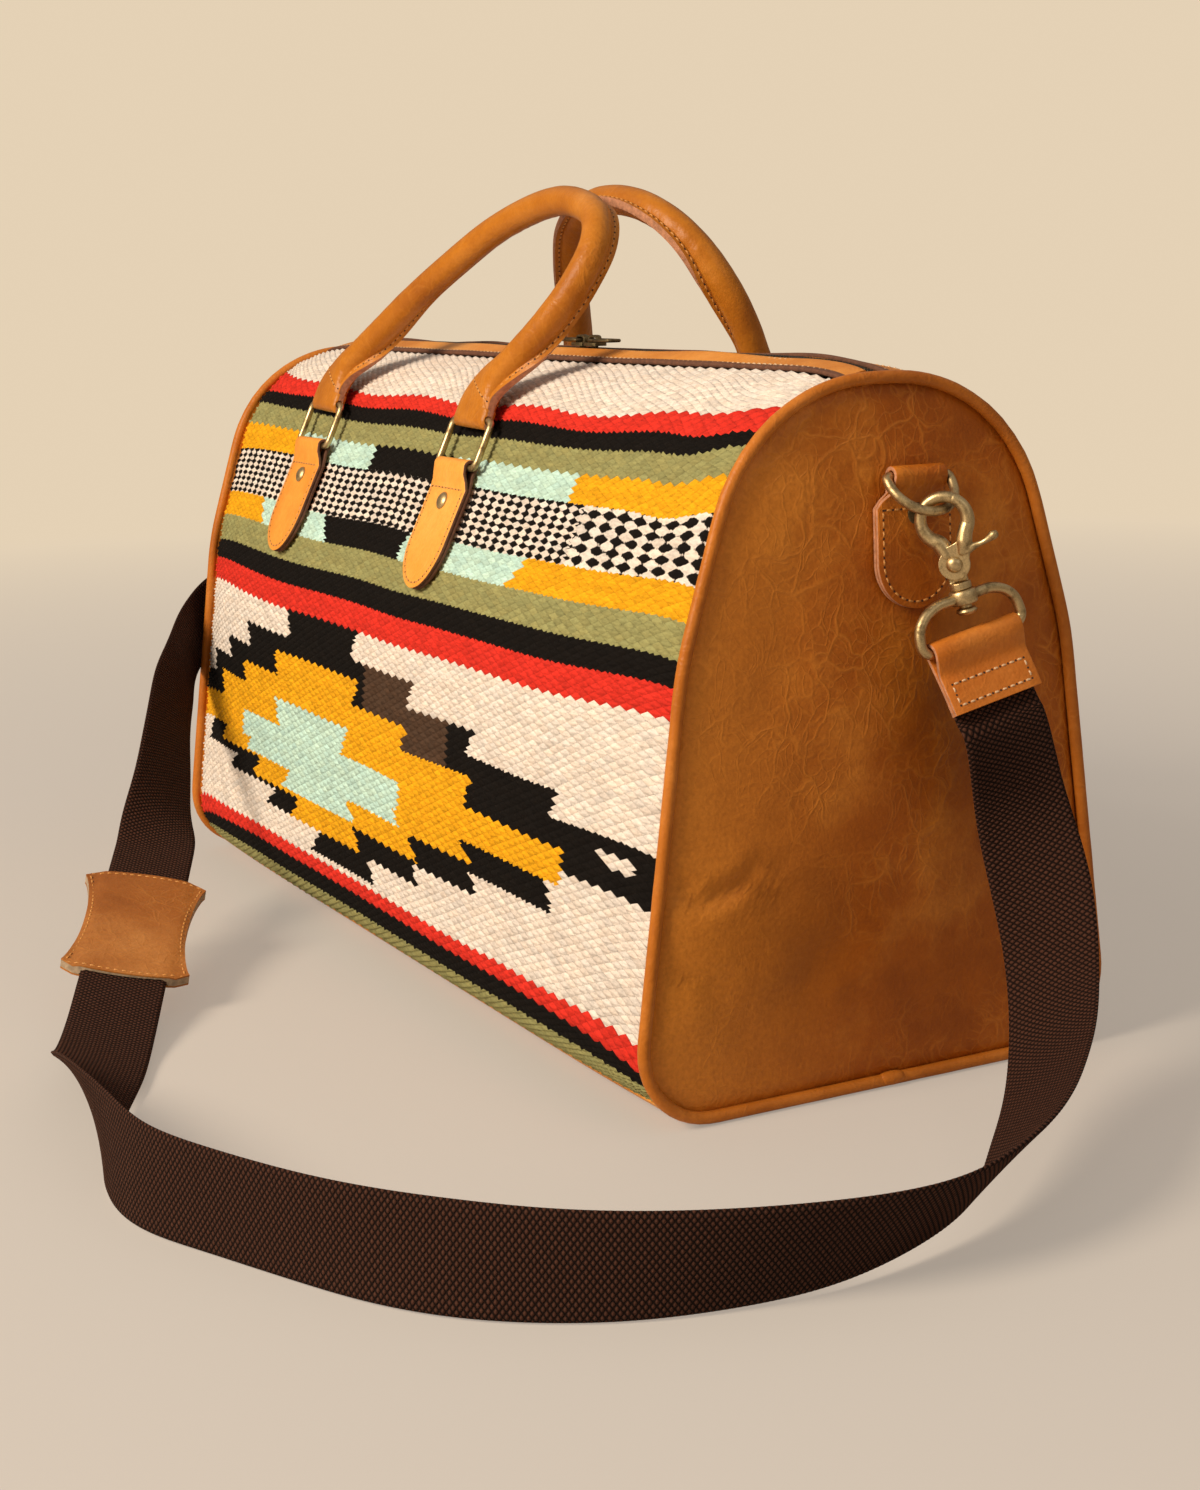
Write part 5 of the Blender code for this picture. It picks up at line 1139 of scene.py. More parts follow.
def d_down(side):
    lean = D_LEAN_NEAR if side > 0 else D_LEAN_FAR
    return Vector((side * math.sin(lean), 0.0, -math.cos(lean)))


def d_wire_point(side, roll):
    """The D ring's wire at a roll angle from straight down, towards +Y."""
    down = d_down(side)
    centre = end_chape_frame(side).translation + down * D_STRAIGHT
    return centre + (Vector((0.0, 1.0, 0.0)) * math.sin(roll) + down * math.cos(roll)) * D_RADIUS


def hook_frame(side, turn=HOOK_TURN):
    """A hook's frame: origin at the eye's centre, local Z up along the hook."""
    roll = NEAR_ROLL if side > 0 else FAR_ROLL
    drop = -math.cos(roll) * math.cos(CHAIN_LEAN)
    down = Vector((side * math.sin(CHAIN_LEAN) * math.cos(roll), math.sin(roll), drop))
    down.normalize()
    origin = d_wire_point(side, roll) + down * EYE_HANG
    return outward_frame(origin, (side, 0.0, 0.0), -down) @ Matrix.Rotation(-turn, 4, "Z")


def bail_frame(side):
    """A bail's frame: origin at its bar, local Z up to the collar."""
    return hook_frame(side, 0.0) @ Matrix.Translation((0.0, 0.0, -COLLAR_DROP - BAIL_BAR_DROP))


def tab_frame(side):
    """A tab's frame on the bail's bar, leaning out at its lower edge."""
    return bail_frame(side) @ Matrix.Rotation(-TAB_LEAN, 4, "X")


def strap_start(side):
    """Where the webbing lies behind a tab: its middle line's points and its width direction."""
    place = tab_frame(side)
    inward = BAIL_WIRE + GAP + TAB_LAYER + GAP + WEBBING_THICK / 2
    drops = (0.005, TAB_LENGTH + 0.003, TAB_LENGTH + 0.014)
    across = place.to_3x3() @ Vector((1.0, 0.0, 0.0))
    return [place @ Vector((0.0, inward, -drop)) for drop in drops], across


def strap_stations(per_span=2):
    """The webbing's middle line and width direction, smoothed."""
    near, near_across = strap_start(1)
    far, far_across = strap_start(-1)
    middle = [Vector(place) for place, _ in STRAP_ROUTE]
    across = [Vector(direction).normalized() for _, direction in STRAP_ROUTE]
    places = near + middle + far[::-1]
    directions = [near_across] * 3 + across + [far_across] * 3
    return smooth_path(places, per_span), smooth_path(directions, per_span)


def pad_frame():
    """The pad's frame on the webbing's straight stretch: X along it, Y across and Z outward."""
    places, directions = strap_stations()
    nearest = min(range(len(places)), key=lambda k: (places[k] - Vector(PAD_CENTRE)).length)
    along = (places[nearest + 3] - places[nearest - 3]).normalized()
    across = directions[nearest]
    across = (across - along * across.dot(along)).normalized()
    made = Matrix((along, across, along.cross(across))).transposed().to_4x4()
    made.translation = places[nearest]
    return made


# The strap


def corner_values(mesh, values):
    """The points' values, one for each corner of the faces."""
    corners = np.empty(len(mesh.loops), int)
    mesh.loops.foreach_get("vertex_index", corners)
    return values[corners]


def add_layer(mesh, name, values):
    mesh.uv_layers.new(name=name).data.foreach_set("uv", values.ravel())


def webbing_mesh(name, places, directions):
    """A length of webbing with its nubs; the nubs' places are kept for the material."""
    columns = round(WEBBING_WIDTH / NUB_PITCH)
    points, marks = [], []
    stations = zip(places, directions, course(places), arc_marks(places))
    for row, (place, across, along, arc) in enumerate(stations):
        across = (across - along * across.dot(along)).normalized()
        normal = along.cross(across)
        for face, order in ((1, range(columns + 1)), (-1, range(columns, -1, -1))):
            for k in order:
                nub = 1 - 2 * ((k + row) % 2)
                rim = 0.35 if k in (0, columns) else 1.0
                rise = (WEBBING_THICK / 2 + NUB_DEPTH * nub) * rim
                shift = (k / columns - 0.5) * WEBBING_WIDTH
                points.append(place + across * shift + normal * face * rise)
                marks.append(((k + row) / 2, (k - row) / 2, shift + WEBBING_WIDTH / 2, arc))
    ring = 2 * (columns + 1)
    shape = Shape().loft([points[k : k + ring] for k in range(0, len(points), ring)])
    made = add_piece(name, shape, ["webbing"], None, ["strap_webbing"], 80)
    marks = corner_values(made.data, np.array(marks))
    add_layer(made.data, "length", marks[:, 2:])
    add_layer(made.data, "nub", marks[:, :2])
    return made


def strap():
    """The webbing in two lengths that meet inside the pad: each word's piece and middle line."""
    places, directions = strap_stations(12)
    marks = arc_marks(places)
    count = round(marks[-1] / NUB_ROW)
    table = np.array([(*place, *across) for place, across in zip(places, directions)])
    stops = np.linspace(0, marks[-1], count)
    even = np.stack([np.interp(stops, marks, table[:, k]) for k in range(6)], axis=1)
    middle = pad_frame().translation
    split = min(range(count), key=lambda k: (Vector(even[k, :3]) - middle).length)
    # The rows are eased towards their neighbours, but for those by the tabs and round the pad
    row = np.arange(count)
    free = np.minimum(row, count - 1 - row) - (TAB_LENGTH + TAB_HOLD) / NUB_ROW
    free = np.minimum(free, abs(row - split) - (PAD_REACH + PAD_HOLD) / NUB_ROW)
    give = np.clip(free / EASE_ROWS, 0.0, 1.0)[1:-1, None]
    for _ in range(EASE_PASSES):
        even[1:-1] += give * ((even[:-2] + even[2:]) / 2 - even[1:-1])
    made = {}
    for word, rows in (("near", even[: split + 1]), ("far", even[: split - 1 : -1])):
        line = [Vector(values[:3]) for values in rows]
        across = [Vector(values[3:]) for values in rows]
        made[word] = (webbing_mesh(f"webbing_{word}", line, across), line)
    return made


def declare_strap(webbing):
    """Bake each length's place into its mesh."""
    for word, top in (("near", 0.150), ("far", 0.165)):
        made, line = webbing[word]
        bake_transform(made)


def half_pad(share):
    """Half the pad's width at a share of its reach."""
    return PAD_WAIST + (PAD_END - PAD_WAIST) * abs(share) ** 2.2


def pad_top(share, over):
    """The pad's upper face, bulging over the webbing with a dented welt beside it."""
    width = abs(over) * half_pad(share)
    reach = WEBBING_WIDTH / 2 + PAD_SLIT_PLAY
    ripple = noise.noise(Vector((share * 3.0, over * 1.5, 0.3))) * 0.0003
    bulge = (0.0006 + ripple) * smooth_step((reach + 0.0035 - width) / 0.004)
    welt = 0.0006 * math.exp(-(((width - reach - 0.0042) / 0.0012) ** 2))
    return PAD_THICK / 2 - 0.0002 + bulge - welt


def pad_points(level):
    """Rows of points along the pad; level gives the height at (share along, share across)."""
    rows = []
    for i in range(PAD_STEPS + 1):
        share = 2 * i / PAD_STEPS - 1
        row = []
        for j in range(PAD_PARTS + 1):
            over = 2 * j / PAD_PARTS - 1
            bow = PAD_BOW * (1 - over**2) * abs(share) ** 3
            corner = PAD_CORNER * max(0.0, abs(over) - 0.8) / 0.2 * abs(share) ** 8
            x = share * PAD_REACH + math.copysign(1.0, share) * (bow - corner)
            row.append(Vector((x, over * half_pad(share), level(share, over))))
        rows.append(row)
    return rows


def pad_sheet(name, look, smooth, upper, lower):
    """A closed sheet of the pad between two levels."""
    wide, back = PAD_PARTS + 1, (PAD_STEPS + 1) * (PAD_PARTS + 1)
    faces = []
    for i in range(PAD_STEPS):
        for a in range(i * wide, i * wide + PAD_PARTS):
            faces.append((a, a + 1, a + wide + 1, a + wide))
            faces.append((back + a, back + a + wide, back + a + wide + 1, back + a + 1))
    rim = list(range(PAD_PARTS)) + [i * wide + PAD_PARTS for i in range(PAD_STEPS)]
    rim += [PAD_STEPS * wide + j for j in range(PAD_PARTS, 0, -1)]
    rim += [i * wide for i in range(PAD_STEPS, 0, -1)]
    faces += [(a, a + back, b + back, b) for a, b in zip(rim, rim[1:] + rim[:1])]
    place = pad_frame()
    points = [place @ point for level in (upper, lower) for row in pad_points(level) for point in row]
    return add_piece(name, Shape().add(points, faces), [look], "shoulder_pad", ["shoulder_pad"], smooth)


def shoulder_pad():
    """A waisted leather pad, bowed at its short ends, over a felt back; the webbing runs between."""
    slit = WEBBING_THICK / 2 + PAD_SLIT_PLAY
    reach = WEBBING_WIDTH / 2 + PAD_SLIT_PLAY
    thick = (PAD_THICK / 2 - slit) * 0.55

    def beside(inner, outer):
        """One level over the webbing and another beside it."""
        return lambda share, over: inner if abs(over) * half_pad(share) < reach else outer

    felt = beside(slit, -PAD_THICK / 2 + 0.0009)
    backing = beside(-slit, -PAD_THICK / 2 + 0.0008)
    made = [
        pad_sheet("pad_leather", "pad", 50, pad_top, lambda *spot: pad_top(*spot) - thick),
        pad_sheet("pad_felt", "felt", 30, lambda *spot: pad_top(*spot) - thick - 0.0001, felt),
        pad_sheet("pad_backing", "pad", 30, backing, lambda *spot: -PAD_THICK / 2),
    ]
    place = pad_frame()
    normal = place.to_3x3() @ Vector((0.0, 0.0, 1.0))
    seam = Shape()
    for edge in (-1, 1):
        side_line, end_line = [], []
        for i in range(41):
            share = 2 * i / 40 - 1
            over = edge * (1 - 0.0022 / half_pad(share))
            x, y = share * (PAD_REACH - 0.003), over * half_pad(share)
            side_line.append(Vector((x, y, pad_top(share, over))))
        for i in range(31):
            over = (2 * i / 30 - 1) * 0.93
            x = edge * (PAD_REACH + PAD_BOW * (1 - over**2) - 0.0020)
            end_line.append(Vector((x, over * half_pad(1.0), pad_top(edge, over))))
        for line in (side_line, end_line):
            seam.stitches([(place @ spot, normal) for spot in line], radius=0.00034, holes=False)
    return made + [add_piece("pad_stitches", seam, ["thread"], "shoulder_pad")]


# The kilim walls


def nearest_tuft(x, arc, coarse):
    """The middle of the tuft that covers a spot of the cloth, and the spot's place within it."""
    scale = COARSE_CHECK if coarse else 1.0
    u, v = x / BUMP_PITCH, arc / ROW_PITCH
    p, q = scale * (u + v) / 2, scale * (u - v) / 2
    near_p, near_q = math.floor(p + 0.5), math.floor(q + 0.5)
    middle_u, middle_v = (near_p + near_q) / scale, (near_p - near_q) / scale
    return middle_u * BUMP_PITCH, middle_v * ROW_PITCH, p - near_p, q - near_q


def stripe_edges():
    mids = [KILIM_TOP] + [mid for _, _, mid in STRIPES]
    seams = [KILIM_TOP] + [seam for _, seam, _ in STRIPES]
    mids.append(section_length(0.0) - BASE_PANEL_HALF)
    seams.append(section_length(BAG_LENGTH / 2) - BASE_PANEL_HALF)
    return mids, seams


def in_checker(arc):
    return STRIPES[4][2] < arc < STRIPES[5][2]


def in_coarse_checker(x, arc):
    return in_checker(arc) and x > COARSE_START


def diamond_colour(x, arc):
    """The diamond's colour at a spot, or cream off it."""
    found = "cream"
    for colour, above, below, far, near in DIAMOND:
        if not above <= arc < below:
            continue
        upper = arc < DIAMOND_MIDDLE and above < DIAMOND_MIDDLE - 0.003
        if upper:
            draw_in = UPPER_SLANT * (arc - above) / (below - above)
        elif below > DIAMOND_MIDDLE + 0.008 and above > DIAMOND_MIDDLE:
            draw_in = LOWER_SLANT * (below - arc) / (below - above)
        else:
            draw_in = 0.0
        if far + draw_in < x < near - draw_in:
            found = colour
    top, bottom, far, near = BROWN_PATCH
    if found == "black" and top < arc < bottom and far < x < near:
        return "brown"
    return found


def tuft_colour(x, arc):
    """The wool of the tuft whose middle is at x and an arc at mid length."""
    kind = LAST_STRIPE
    for colour, _, below in STRIPES:
        if arc < below:
            kind = colour
            break
    if kind == "upper band":
        return next(colour for colour, reach in UPPER_BAND if x < reach)
    if kind == "lower band":
        lean = (arc - 0.126) * 0.9
        return next(colour for colour, reach in LOWER_BAND if x + (lean if x > 0 else -lean) < reach)
    if kind == "cream" and arc > 0.17:
        return diamond_colour(x, arc)
    return kind


def edge_ripple(x, arc):
    """How the stripes wander: a dip and a rise by the near seam, and a slow wave everywhere."""
    upper = smooth_step((0.130 - arc) / 0.035)
    dip = 0.0020 * math.exp(-(((x - 0.222) / 0.020) ** 2))
    rise = -0.0045 * math.exp(-(((x - 0.262) / 0.018) ** 2))
    slow = 0.0013 * noise.noise(Vector((x * 14.0, arc * 9.0, 3.1)))
    top_wave = 0.0016 * math.sin(x * 52.0 + 1.0) * smooth_step((0.08 - arc) / 0.03)
    fade = smooth_step((arc - KILIM_TOP) / 0.020)
    return (upper * (dip + rise) + slow + top_wave) * fade


def flat_cloth(name, low_arc, high_arc):
    """The wall's cloth laid flat as (x, arc): four faces to a tuft, cut straight round its edges."""
    half = BAG_LENGTH / 2 - 0.0021
    reach = int(1.05 * (half / BUMP_PITCH + high_arc / ROW_PITCH)) + 17
    span = np.arange(-reach, reach) / 2 - 0.5
    p, q = np.meshgrid(span, span, indexing="ij")
    xs, arcs = (p + q) * BUMP_PITCH, (p - q) * ROW_PITCH
    middle_x, middle_arc = xs[:-1, :-1] + BUMP_PITCH / 2, arcs[:-1, :-1]
    kept = (middle_arc > low_arc - ROW_PITCH) & (middle_arc < high_arc + ROW_PITCH)
    rows, columns = np.nonzero(kept & (abs(middle_x) < half + BUMP_PITCH))
    wide = len(span)
    corner = rows * wide + columns
    quads = np.stack([corner, corner + wide, corner + wide + 1, corner + 1], axis=1)
    used, index = np.unique(quads, return_inverse=True)
    flat = np.stack([xs.ravel()[used], arcs.ravel()[used], np.zeros(len(used))], axis=1)
    mesh = bpy.data.meshes.new(name)
    mesh.from_pydata(flat.tolist(), [], index.reshape(-1, 4).tolist())
    shell = bmesh.new()
    shell.from_mesh(mesh)
    for place, normal in (
        ((half, 0, 0), (1, 0, 0)), ((-half, 0, 0), (-1, 0, 0)),
        ((0, low_arc, 0), (0, -1, 0)), ((0, high_arc, 0), (0, 1, 0)),
    ):
        geometry = shell.verts[:] + shell.edges[:] + shell.faces[:]
        bmesh.ops.bisect_plane(shell, geom=geometry, plane_co=place, plane_no=normal, clear_outer=True)
    shell.to_mesh(mesh)
    shell.free()
    return mesh


def kilim_wall(word, side):
    """A woven wall: a lattice of tufts, coloured tuft by tuft and laid on the bag's curve."""
    length = section_length(0.0, FINE_ARC_STEPS) - BASE_PANEL_HALF
    mesh = flat_cloth(f"kilim_{word}", KILIM_TOP - 0.0018, length + 0.0022)
    colour_cloth(mesh, side)
    lay_cloth(mesh, side, length)
    mesh.shade_smooth()
    mesh.materials.append(LOOKS["wool"])
    made = add_object(f"kilim_{word}", mesh)
    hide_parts(f"carpet_{word}")
    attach(made, "bag")


def colour_cloth(mesh, side):
    """Give every face the wool of its tuft, each tuft and row a little off the next.

    The alpha marks the checked band, whose black tufts the material draws, and the tuft layer keeps
    every spot's place in the weave.
    """
    chance = random.Random(11 + side)
    row_shade, tuft_shade = {}, {}
    colours, scales = [], []
    for face in mesh.polygons:
        x, arc = face.center[0], face.center[1]
        coarse = in_coarse_checker(x, arc)
        middle_x, middle_arc, _, _ = nearest_tuft(x, arc, coarse)
        kind = tuft_colour(middle_x + 0.45 * (x - middle_x), middle_arc + 0.5 * (arc - middle_arc))
        if in_checker(arc):
            kind = "cream"
        elif kind == "checker":
            kind = tuft_colour(middle_x, arc)
        row = round(middle_arc / ROW_PITCH)
        tuft = (row, round(middle_x / BUMP_PITCH))
        if row not in row_shade:
            row_shade[row] = 1.0 + chance.uniform(-0.05, 0.04)
        if tuft not in tuft_shade:
            tuft_shade[tuft] = (chance.uniform(0.86, 1.08), chance.uniform(-0.03, 0.03))
        light, warm = tuft_shade[tuft]
        shade = row_shade[row] * light
        red, green, blue = WOOL[kind]
        checked = float(in_checker(arc))
        colours.append((red * shade * (1 + warm), green * shade, blue * shade * (1 - warm), checked))
        scales.append(COARSE_CHECK if coarse else 1.0)
    totals = np.empty(len(mesh.polygons), int)
    mesh.polygons.foreach_get("loop_total", totals)
    layer = mesh.attributes.new("wool", "FLOAT_COLOR", "CORNER")
    layer.data.foreach_set("color", np.repeat(np.array(colours), totals, axis=0).ravel())
    flat = corner_values(mesh, mesh_points(mesh))
    u, v = flat[:, 0] / BUMP_PITCH, flat[:, 1] / ROW_PITCH
    scale = np.repeat(scales, totals)
    add_layer(mesh, "tuft", np.stack([scale * (u + v) / 2, scale * (u - v) / 2], axis=1))


def cloth_inset(x, arc, side, length):
    """How deep a spot of the cloth lies: between tufts, in sags and tucked in at the edges."""
    near_seam = BAG_LENGTH / 2 - abs(x)
    _, _, p, q = nearest_tuft(x, arc, in_coarse_checker(x, arc))
    dome = math.cos(math.pi * min(0.5, abs(p))) * math.cos(math.pi * min(0.5, abs(q)))
    sag = CLOTH_SAG * (0.5 + 0.5 * noise.noise(Vector((x * 11.0, arc * 14.0, 5.0 * side))))
    sag += FINE_SAG * (0.5 + 0.5 * noise.noise(Vector((x * 40.0, arc * 40.0, 9.0 + side))))
    ruffle = 1 + math.sin(arc * 390.0 + 4 * noise.noise(Vector((arc * 30, side, x))))
    pucker = PUCKER_DEPTH * ruffle * math.exp(-near_seam / 0.010)
    tuck = 0.0017 * smooth_step((KILIM_TOP + 0.0006 - arc) / 0.002)
    tuck += 0.0020 * smooth_step((arc - length + 0.0004) / 0.0022)
    tuck += 0.0016 * smooth_step((0.0062 - near_seam) / 0.0036)
    return BUMP_DEPTH * (1 - dome) + sag + pucker + tuck


def mesh_points(mesh):
    places = np.empty(len(mesh.vertices) * 3)
    mesh.vertices.foreach_get("co", places)
    return places.reshape(-1, 3)


def lay_cloth(mesh, side, length):
    """Bend the flat cloth onto the wall, with its tufts, its sag and its tucked edges."""
    mids, seams = stripe_edges()
    places = mesh_points(mesh)
    columns = {}
    for k, (x, _, _) in enumerate(places):
        columns.setdefault(round(x, 6), []).append(k)
    for x, members in columns.items():
        share = min(1.0, abs(2 * x / BAG_LENGTH))
        middle = 1 - share**BULGE_POWER
        cloth_arcs = places[members, 1]
        seam_arcs = np.interp(cloth_arcs, mids, seams)
        seam_arcs += np.maximum(cloth_arcs - mids[-1], 0.0) + np.minimum(cloth_arcs - mids[0], 0.0)
        arcs = seam_arcs + (cloth_arcs - seam_arcs) * middle
        arcs += [edge_ripple(x, arc) for arc in cloth_arcs]
        insets = [cloth_inset(x, arc, side, length) for arc in cloth_arcs]
        places[members] = wall_line(x, arcs, insets, side)[0]
    if side > 0:
        mesh.flip_normals()
    mesh.vertices.foreach_set("co", places.ravel())
    mesh.update()


# The leather of the body


def press(y, z, folds, swells):
    """How far a spot of an end panel is pressed in (negative) or swells out."""
    depth = 0.0
    for (y0, z0), (y1, z1), width, deep in folds:
        along = Vector((y1 - y0, z1 - z0))
        share = max(0.0, min(1.0, Vector((y - y0, z - z0)).dot(along) / along.length_squared))
        bend = 0.0022 * math.sin(share * 9.0 + y0 * 300)
        spot = Vector((y0, z0)) + along * share
        across = Vector((-along.y, along.x)).normalized()
        away = (Vector((y, z)) - spot - across * bend).length
        taper = 0.35 + 0.65 * math.sin(math.pi * min(1.0, 0.15 + share * 0.85))
        depth -= deep * taper * math.exp(-((away / width) ** 2))
        depth += 0.25 * deep * taper * math.exp(-(((away - 2.1 * width) / width) ** 2))
    for (y0, z0), width, rise in swells:
        depth += rise * math.exp(-(((y - y0) ** 2 + (z - z0) ** 2) / width**2))
    return depth


def end_panel(word, side, folds, swells):
    """A bulged leather end with its folds, rolled in at the seam."""
    rim = even_outline(PIPING_RADIUS * 0.6, 168)
    shares = [1.0, 0.985, 0.965, 0.94, 0.91, 0.875, 0.84] + [0.80 - 0.04 * k for k in range(20)]
    rings = []
    for thickness, order in ((0.0, shares[::-1]), (END_LEATHER, shares)):
        for share in order:
            ring = []
            for across, height in rim:
                y = share * across
                z = END_CENTRE_HEIGHT + share * (height - END_CENTRE_HEIGHT)
                x = panel_start() + thickness + END_BULGE * (1 - share**2)
                if thickness:
                    roll = smooth_step((share - 0.955) / 0.045)
                    beside, below = (y - END_CHAPE_ACROSS) / 0.026, (z - 0.220) / 0.040
                    calm = 1 - math.exp(-(beside**4 + below**4))
                    wave = 0.0007 * noise.noise(Vector((y * 16, z * 16, side))) - 0.0005
                    fine = 0.00022 * noise.noise(Vector((y * 70, z * 70, side)))
                    x += (press(y, z, folds, swells) + wave + fine) * (1 - roll) * calm - 0.0019 * roll
                ring.append(Vector((side * x, y, z)))
            rings.append(ring)
    add_piece(f"leather_end_{word}", Shape().loft(rings), ["panel"], "bag", [f"end_panel_{word}"], 60)


def piping(word, side):
    """The welt round an end seam, with the lap where its ends meet under the panel."""
    points = [(side * BAG_LENGTH / 2, across, height) for across, height in even_outline(0.0, 200)]
    swells = [noise.noise(Vector((k * 0.35, side, 2.0))) for k in range(len(points))]
    shape = Shape().tube(points, [PIPING_RADIUS * (1 + 0.035 * swell) for swell in swells], 14, True)
    lap_x, lap_z = side * (BAG_LENGTH / 2 + 0.0004), PIPING_RADIUS + 0.0005
    lap = [(lap_x, 0.0010 + 0.0014 * k, lap_z) for k in range(6)]
    shape.tube(lap, [0.0026, 0.0028, 0.0029, 0.0029, 0.0028, 0.0026], 14)
    add_piece(f"welt_{word}", shape, ["piping"], "bag", [f"piping_{word}"], 60)


def base_panel():
    """The leather base, its edges rounded."""
    reach = BASE_PANEL_HALF - GAP
    rings = []
    for x in even_x(60):
        bottom = section_length(x, FINE_ARC_STEPS)
        arcs = [bottom - reach + reach * (k / 22) ** 1.3 for k in range(22)]
        skins = []
        for insets in ([0.0008, 0.0002] + [0.0] * 20, [0.0016] + [LEATHER] * 21):
            half = [Vector(p) for p in wall_line(x, arcs, insets, -1)[0]]
            skins.append(half + [Vector((p.x, -p.y, p.z)) for p in reversed(half)])
        rings.append(skins[0] + skins[1][::-1])
    add_piece("base_leather", Shape().loft(rings), ["tan"], "bag", ["base_panel"], 60)


def zip_band(word, side):
    """The leather band beside the zip, a little wavy at its lower edge."""
    middle, width = (BAND_INNER + BAND_OUTER) / 2, (BAND_OUTER - BAND_INNER) / 2
    stations = []
    for x in even_x(150):
        rise = BAND_RAISED - LEATHER / 2 + 0.0004 * noise.noise(Vector((x * 22, side, 0.0)))
        place, normal = wall_point(x, middle, -rise, side, FINE_ARC_STEPS)
        lift = BAND_LIFT * (0.6 + 0.9 * noise.noise(Vector((x * 17, side * 5, 7.0))))
        across = Vector((1.0, 0.0, 0.0)).cross(normal)
        across = (across * width + normal * side * lift / 2).normalized()
        normal_up = across.cross(Vector((-1.0, 0.0, 0.0)))
        stations.append((place + normal * lift / 2, across, normal_up, width, LEATHER))
    shape = Shape().ribbon(stations, 0.0007, 6, 1)
    add_piece(f"band_{word}", shape, ["tan", "edge"], "bag", [f"zip_band_{word}"], 60)


def zip_tape(word, side):
    """The tape and its row of metal teeth."""
    inset = LEATHER - BAND_RAISED + GAP + TAPE_THICK / 2
    middle, width = (TAPE_INNER + TAPE_OUTER) / 2, (TAPE_OUTER - TAPE_INNER) / 2
    stations = []
    for x in even_x(120):
        place, normal = wall_point(x, middle, inset, side, FINE_ARC_STEPS)
        stations.append((place, Vector((1.0, 0.0, 0.0)).cross(normal), normal, width, TAPE_THICK))
    shape = Shape().ribbon(stations, 0.0003, 4)
    low_y, high_y = sorted((side * TEETH_OUTER, side * TEETH_INNER))
    start = 0.003 - end_x() + TOOTH_PITCH * (0.25 if side < 0 else 0.75)
    for n in range(int(2 * (end_x() - 0.003) / TOOTH_PITCH)):
        x = start + TOOTH_PITCH * n
        place = Matrix.Translation((x, 0.0, wall_point(x, 0.0, 0.0, side, FINE_ARC_STEPS)[0].z))
        low, high = (-TOOTH_HALF, low_y, -TEETH_DEEP), (TOOTH_HALF, high_y, -TEETH_TOP)
        shape.block(low, high, place, 0.00025, 1)
    add_piece(f"tape_{word}", shape, ["tape", "tooth"], "bag", [f"zip_tape_{word}"], 50)


def zip_height():
    return wall_point(0.0, 0.0)[0].z


def slider_x(side):
    return SLIDER_MEETING + side * SLIDER_PITCH / 2


def pull_axis(side):
    top = zip_height() + SLIDER_TOP_GAP + SLIDER_PLATE
    return Vector((slider_x(side), 0.0, top + GAP + PULL_WIRE))


def zip_slider(word, side):
    """A slider's two plates, its neck between the rows of teeth and the bridge for the pull."""
    x, top = slider_x(side), zip_height()
    half, end = SLIDER_WIDTH / 2, SLIDER_LENGTH / 2
    low, bottom = top + SLIDER_TOP_GAP, top - SLIDER_BOTTOM_DEPTH
    high = low + SLIDER_PLATE
    outline = []
    for share, width in ((-1, 0.72), (-0.6, 0.98), (0.1, 0.86), (0.7, 0.90), (1, 0.62)):
        outline.append((share * end * side, width * half))
    outline += [(a, -b) for a, b in reversed(outline)]
    shape = Shape()
    flat = Matrix.Translation((x, 0.0, 0.0)) @ Matrix.Rotation(-math.pi / 2, 4, "X")
    for below, above in ((low, high), (bottom - SLIDER_PLATE, bottom)):
        shape.slab(outline, -below, -above, flat)
    neck_low = (x - end * 0.5, -SLIDER_NECK / 2, bottom - SLIDER_PLATE / 2)
    neck_high = (x + end * 0.5, SLIDER_NECK / 2, low + SLIDER_PLATE / 2)
    shape.block(neck_low, neck_high, Matrix.Identity(4), 0.00015)
    rise = high + BRIDGE_HEIGHT
    room = BRIDGE_LENGTH / 2 - 0.0006
    arch = [(-room, high - 0.0004), (-room, rise - 0.0016), (-room + 0.0012, rise - 0.0006)]
    arch += [(-a, b) for a, b in reversed(arch)]
    path = smooth_path([Vector((x + a, 0.0, b)) for a, b in arch], 4)
    across = Vector((0.0, 1.0, 0.0))
    stations = []
    for place, along in zip(path, course(path)):
        stations.append((place, across, along.cross(across), BRIDGE_WIDTH / 2, 0.0012))
    shape.ribbon(stations, 0.0004, 2)
    body = f"zip_slider_{word}"
    add_piece(f"slider_{word}", shape, ["dark_brass"], body, [body])


def bent(before, corner, after, reach, shares):
    """Points of the curve that rounds a corner, from reach before it to reach after it."""
    start = corner + (before - corner).normalized() * reach
    stop = corner + (after - corner).normalized() * reach
    return [start * (1 - t) ** 2 + corner * 2 * t * (1 - t) + stop * t**2 for t in shares]


def zip_pull(word, side):
    """The wire pull: a long loop that narrows under the bridge."""
    half = PULL_WIDTH / 2
    outline = [(0.0, -0.92), (0.0, 0.92), (0.55, 1.0), (1.0, 0.8), (1.0, -0.8), (0.55, -1.0)]
    corners = [Vector((side * PULL_LENGTH * along, half * across, 0.0)) for along, across in outline]
    points = []
    for before, here, after in zip(corners[-1:] + corners, corners, corners[1:] + corners[:1]):
        points += [pull_axis(side) + spot for spot in bent(before, here, after, 0.0016, (0.0, 0.5, 1.0))]
    body = f"zip_pull_{word}"
    add_piece(f"pull_{word}", Shape().tube(points, PULL_WIRE, 8, True), ["dark_brass"], body, [body])


# Leather folded round a bar


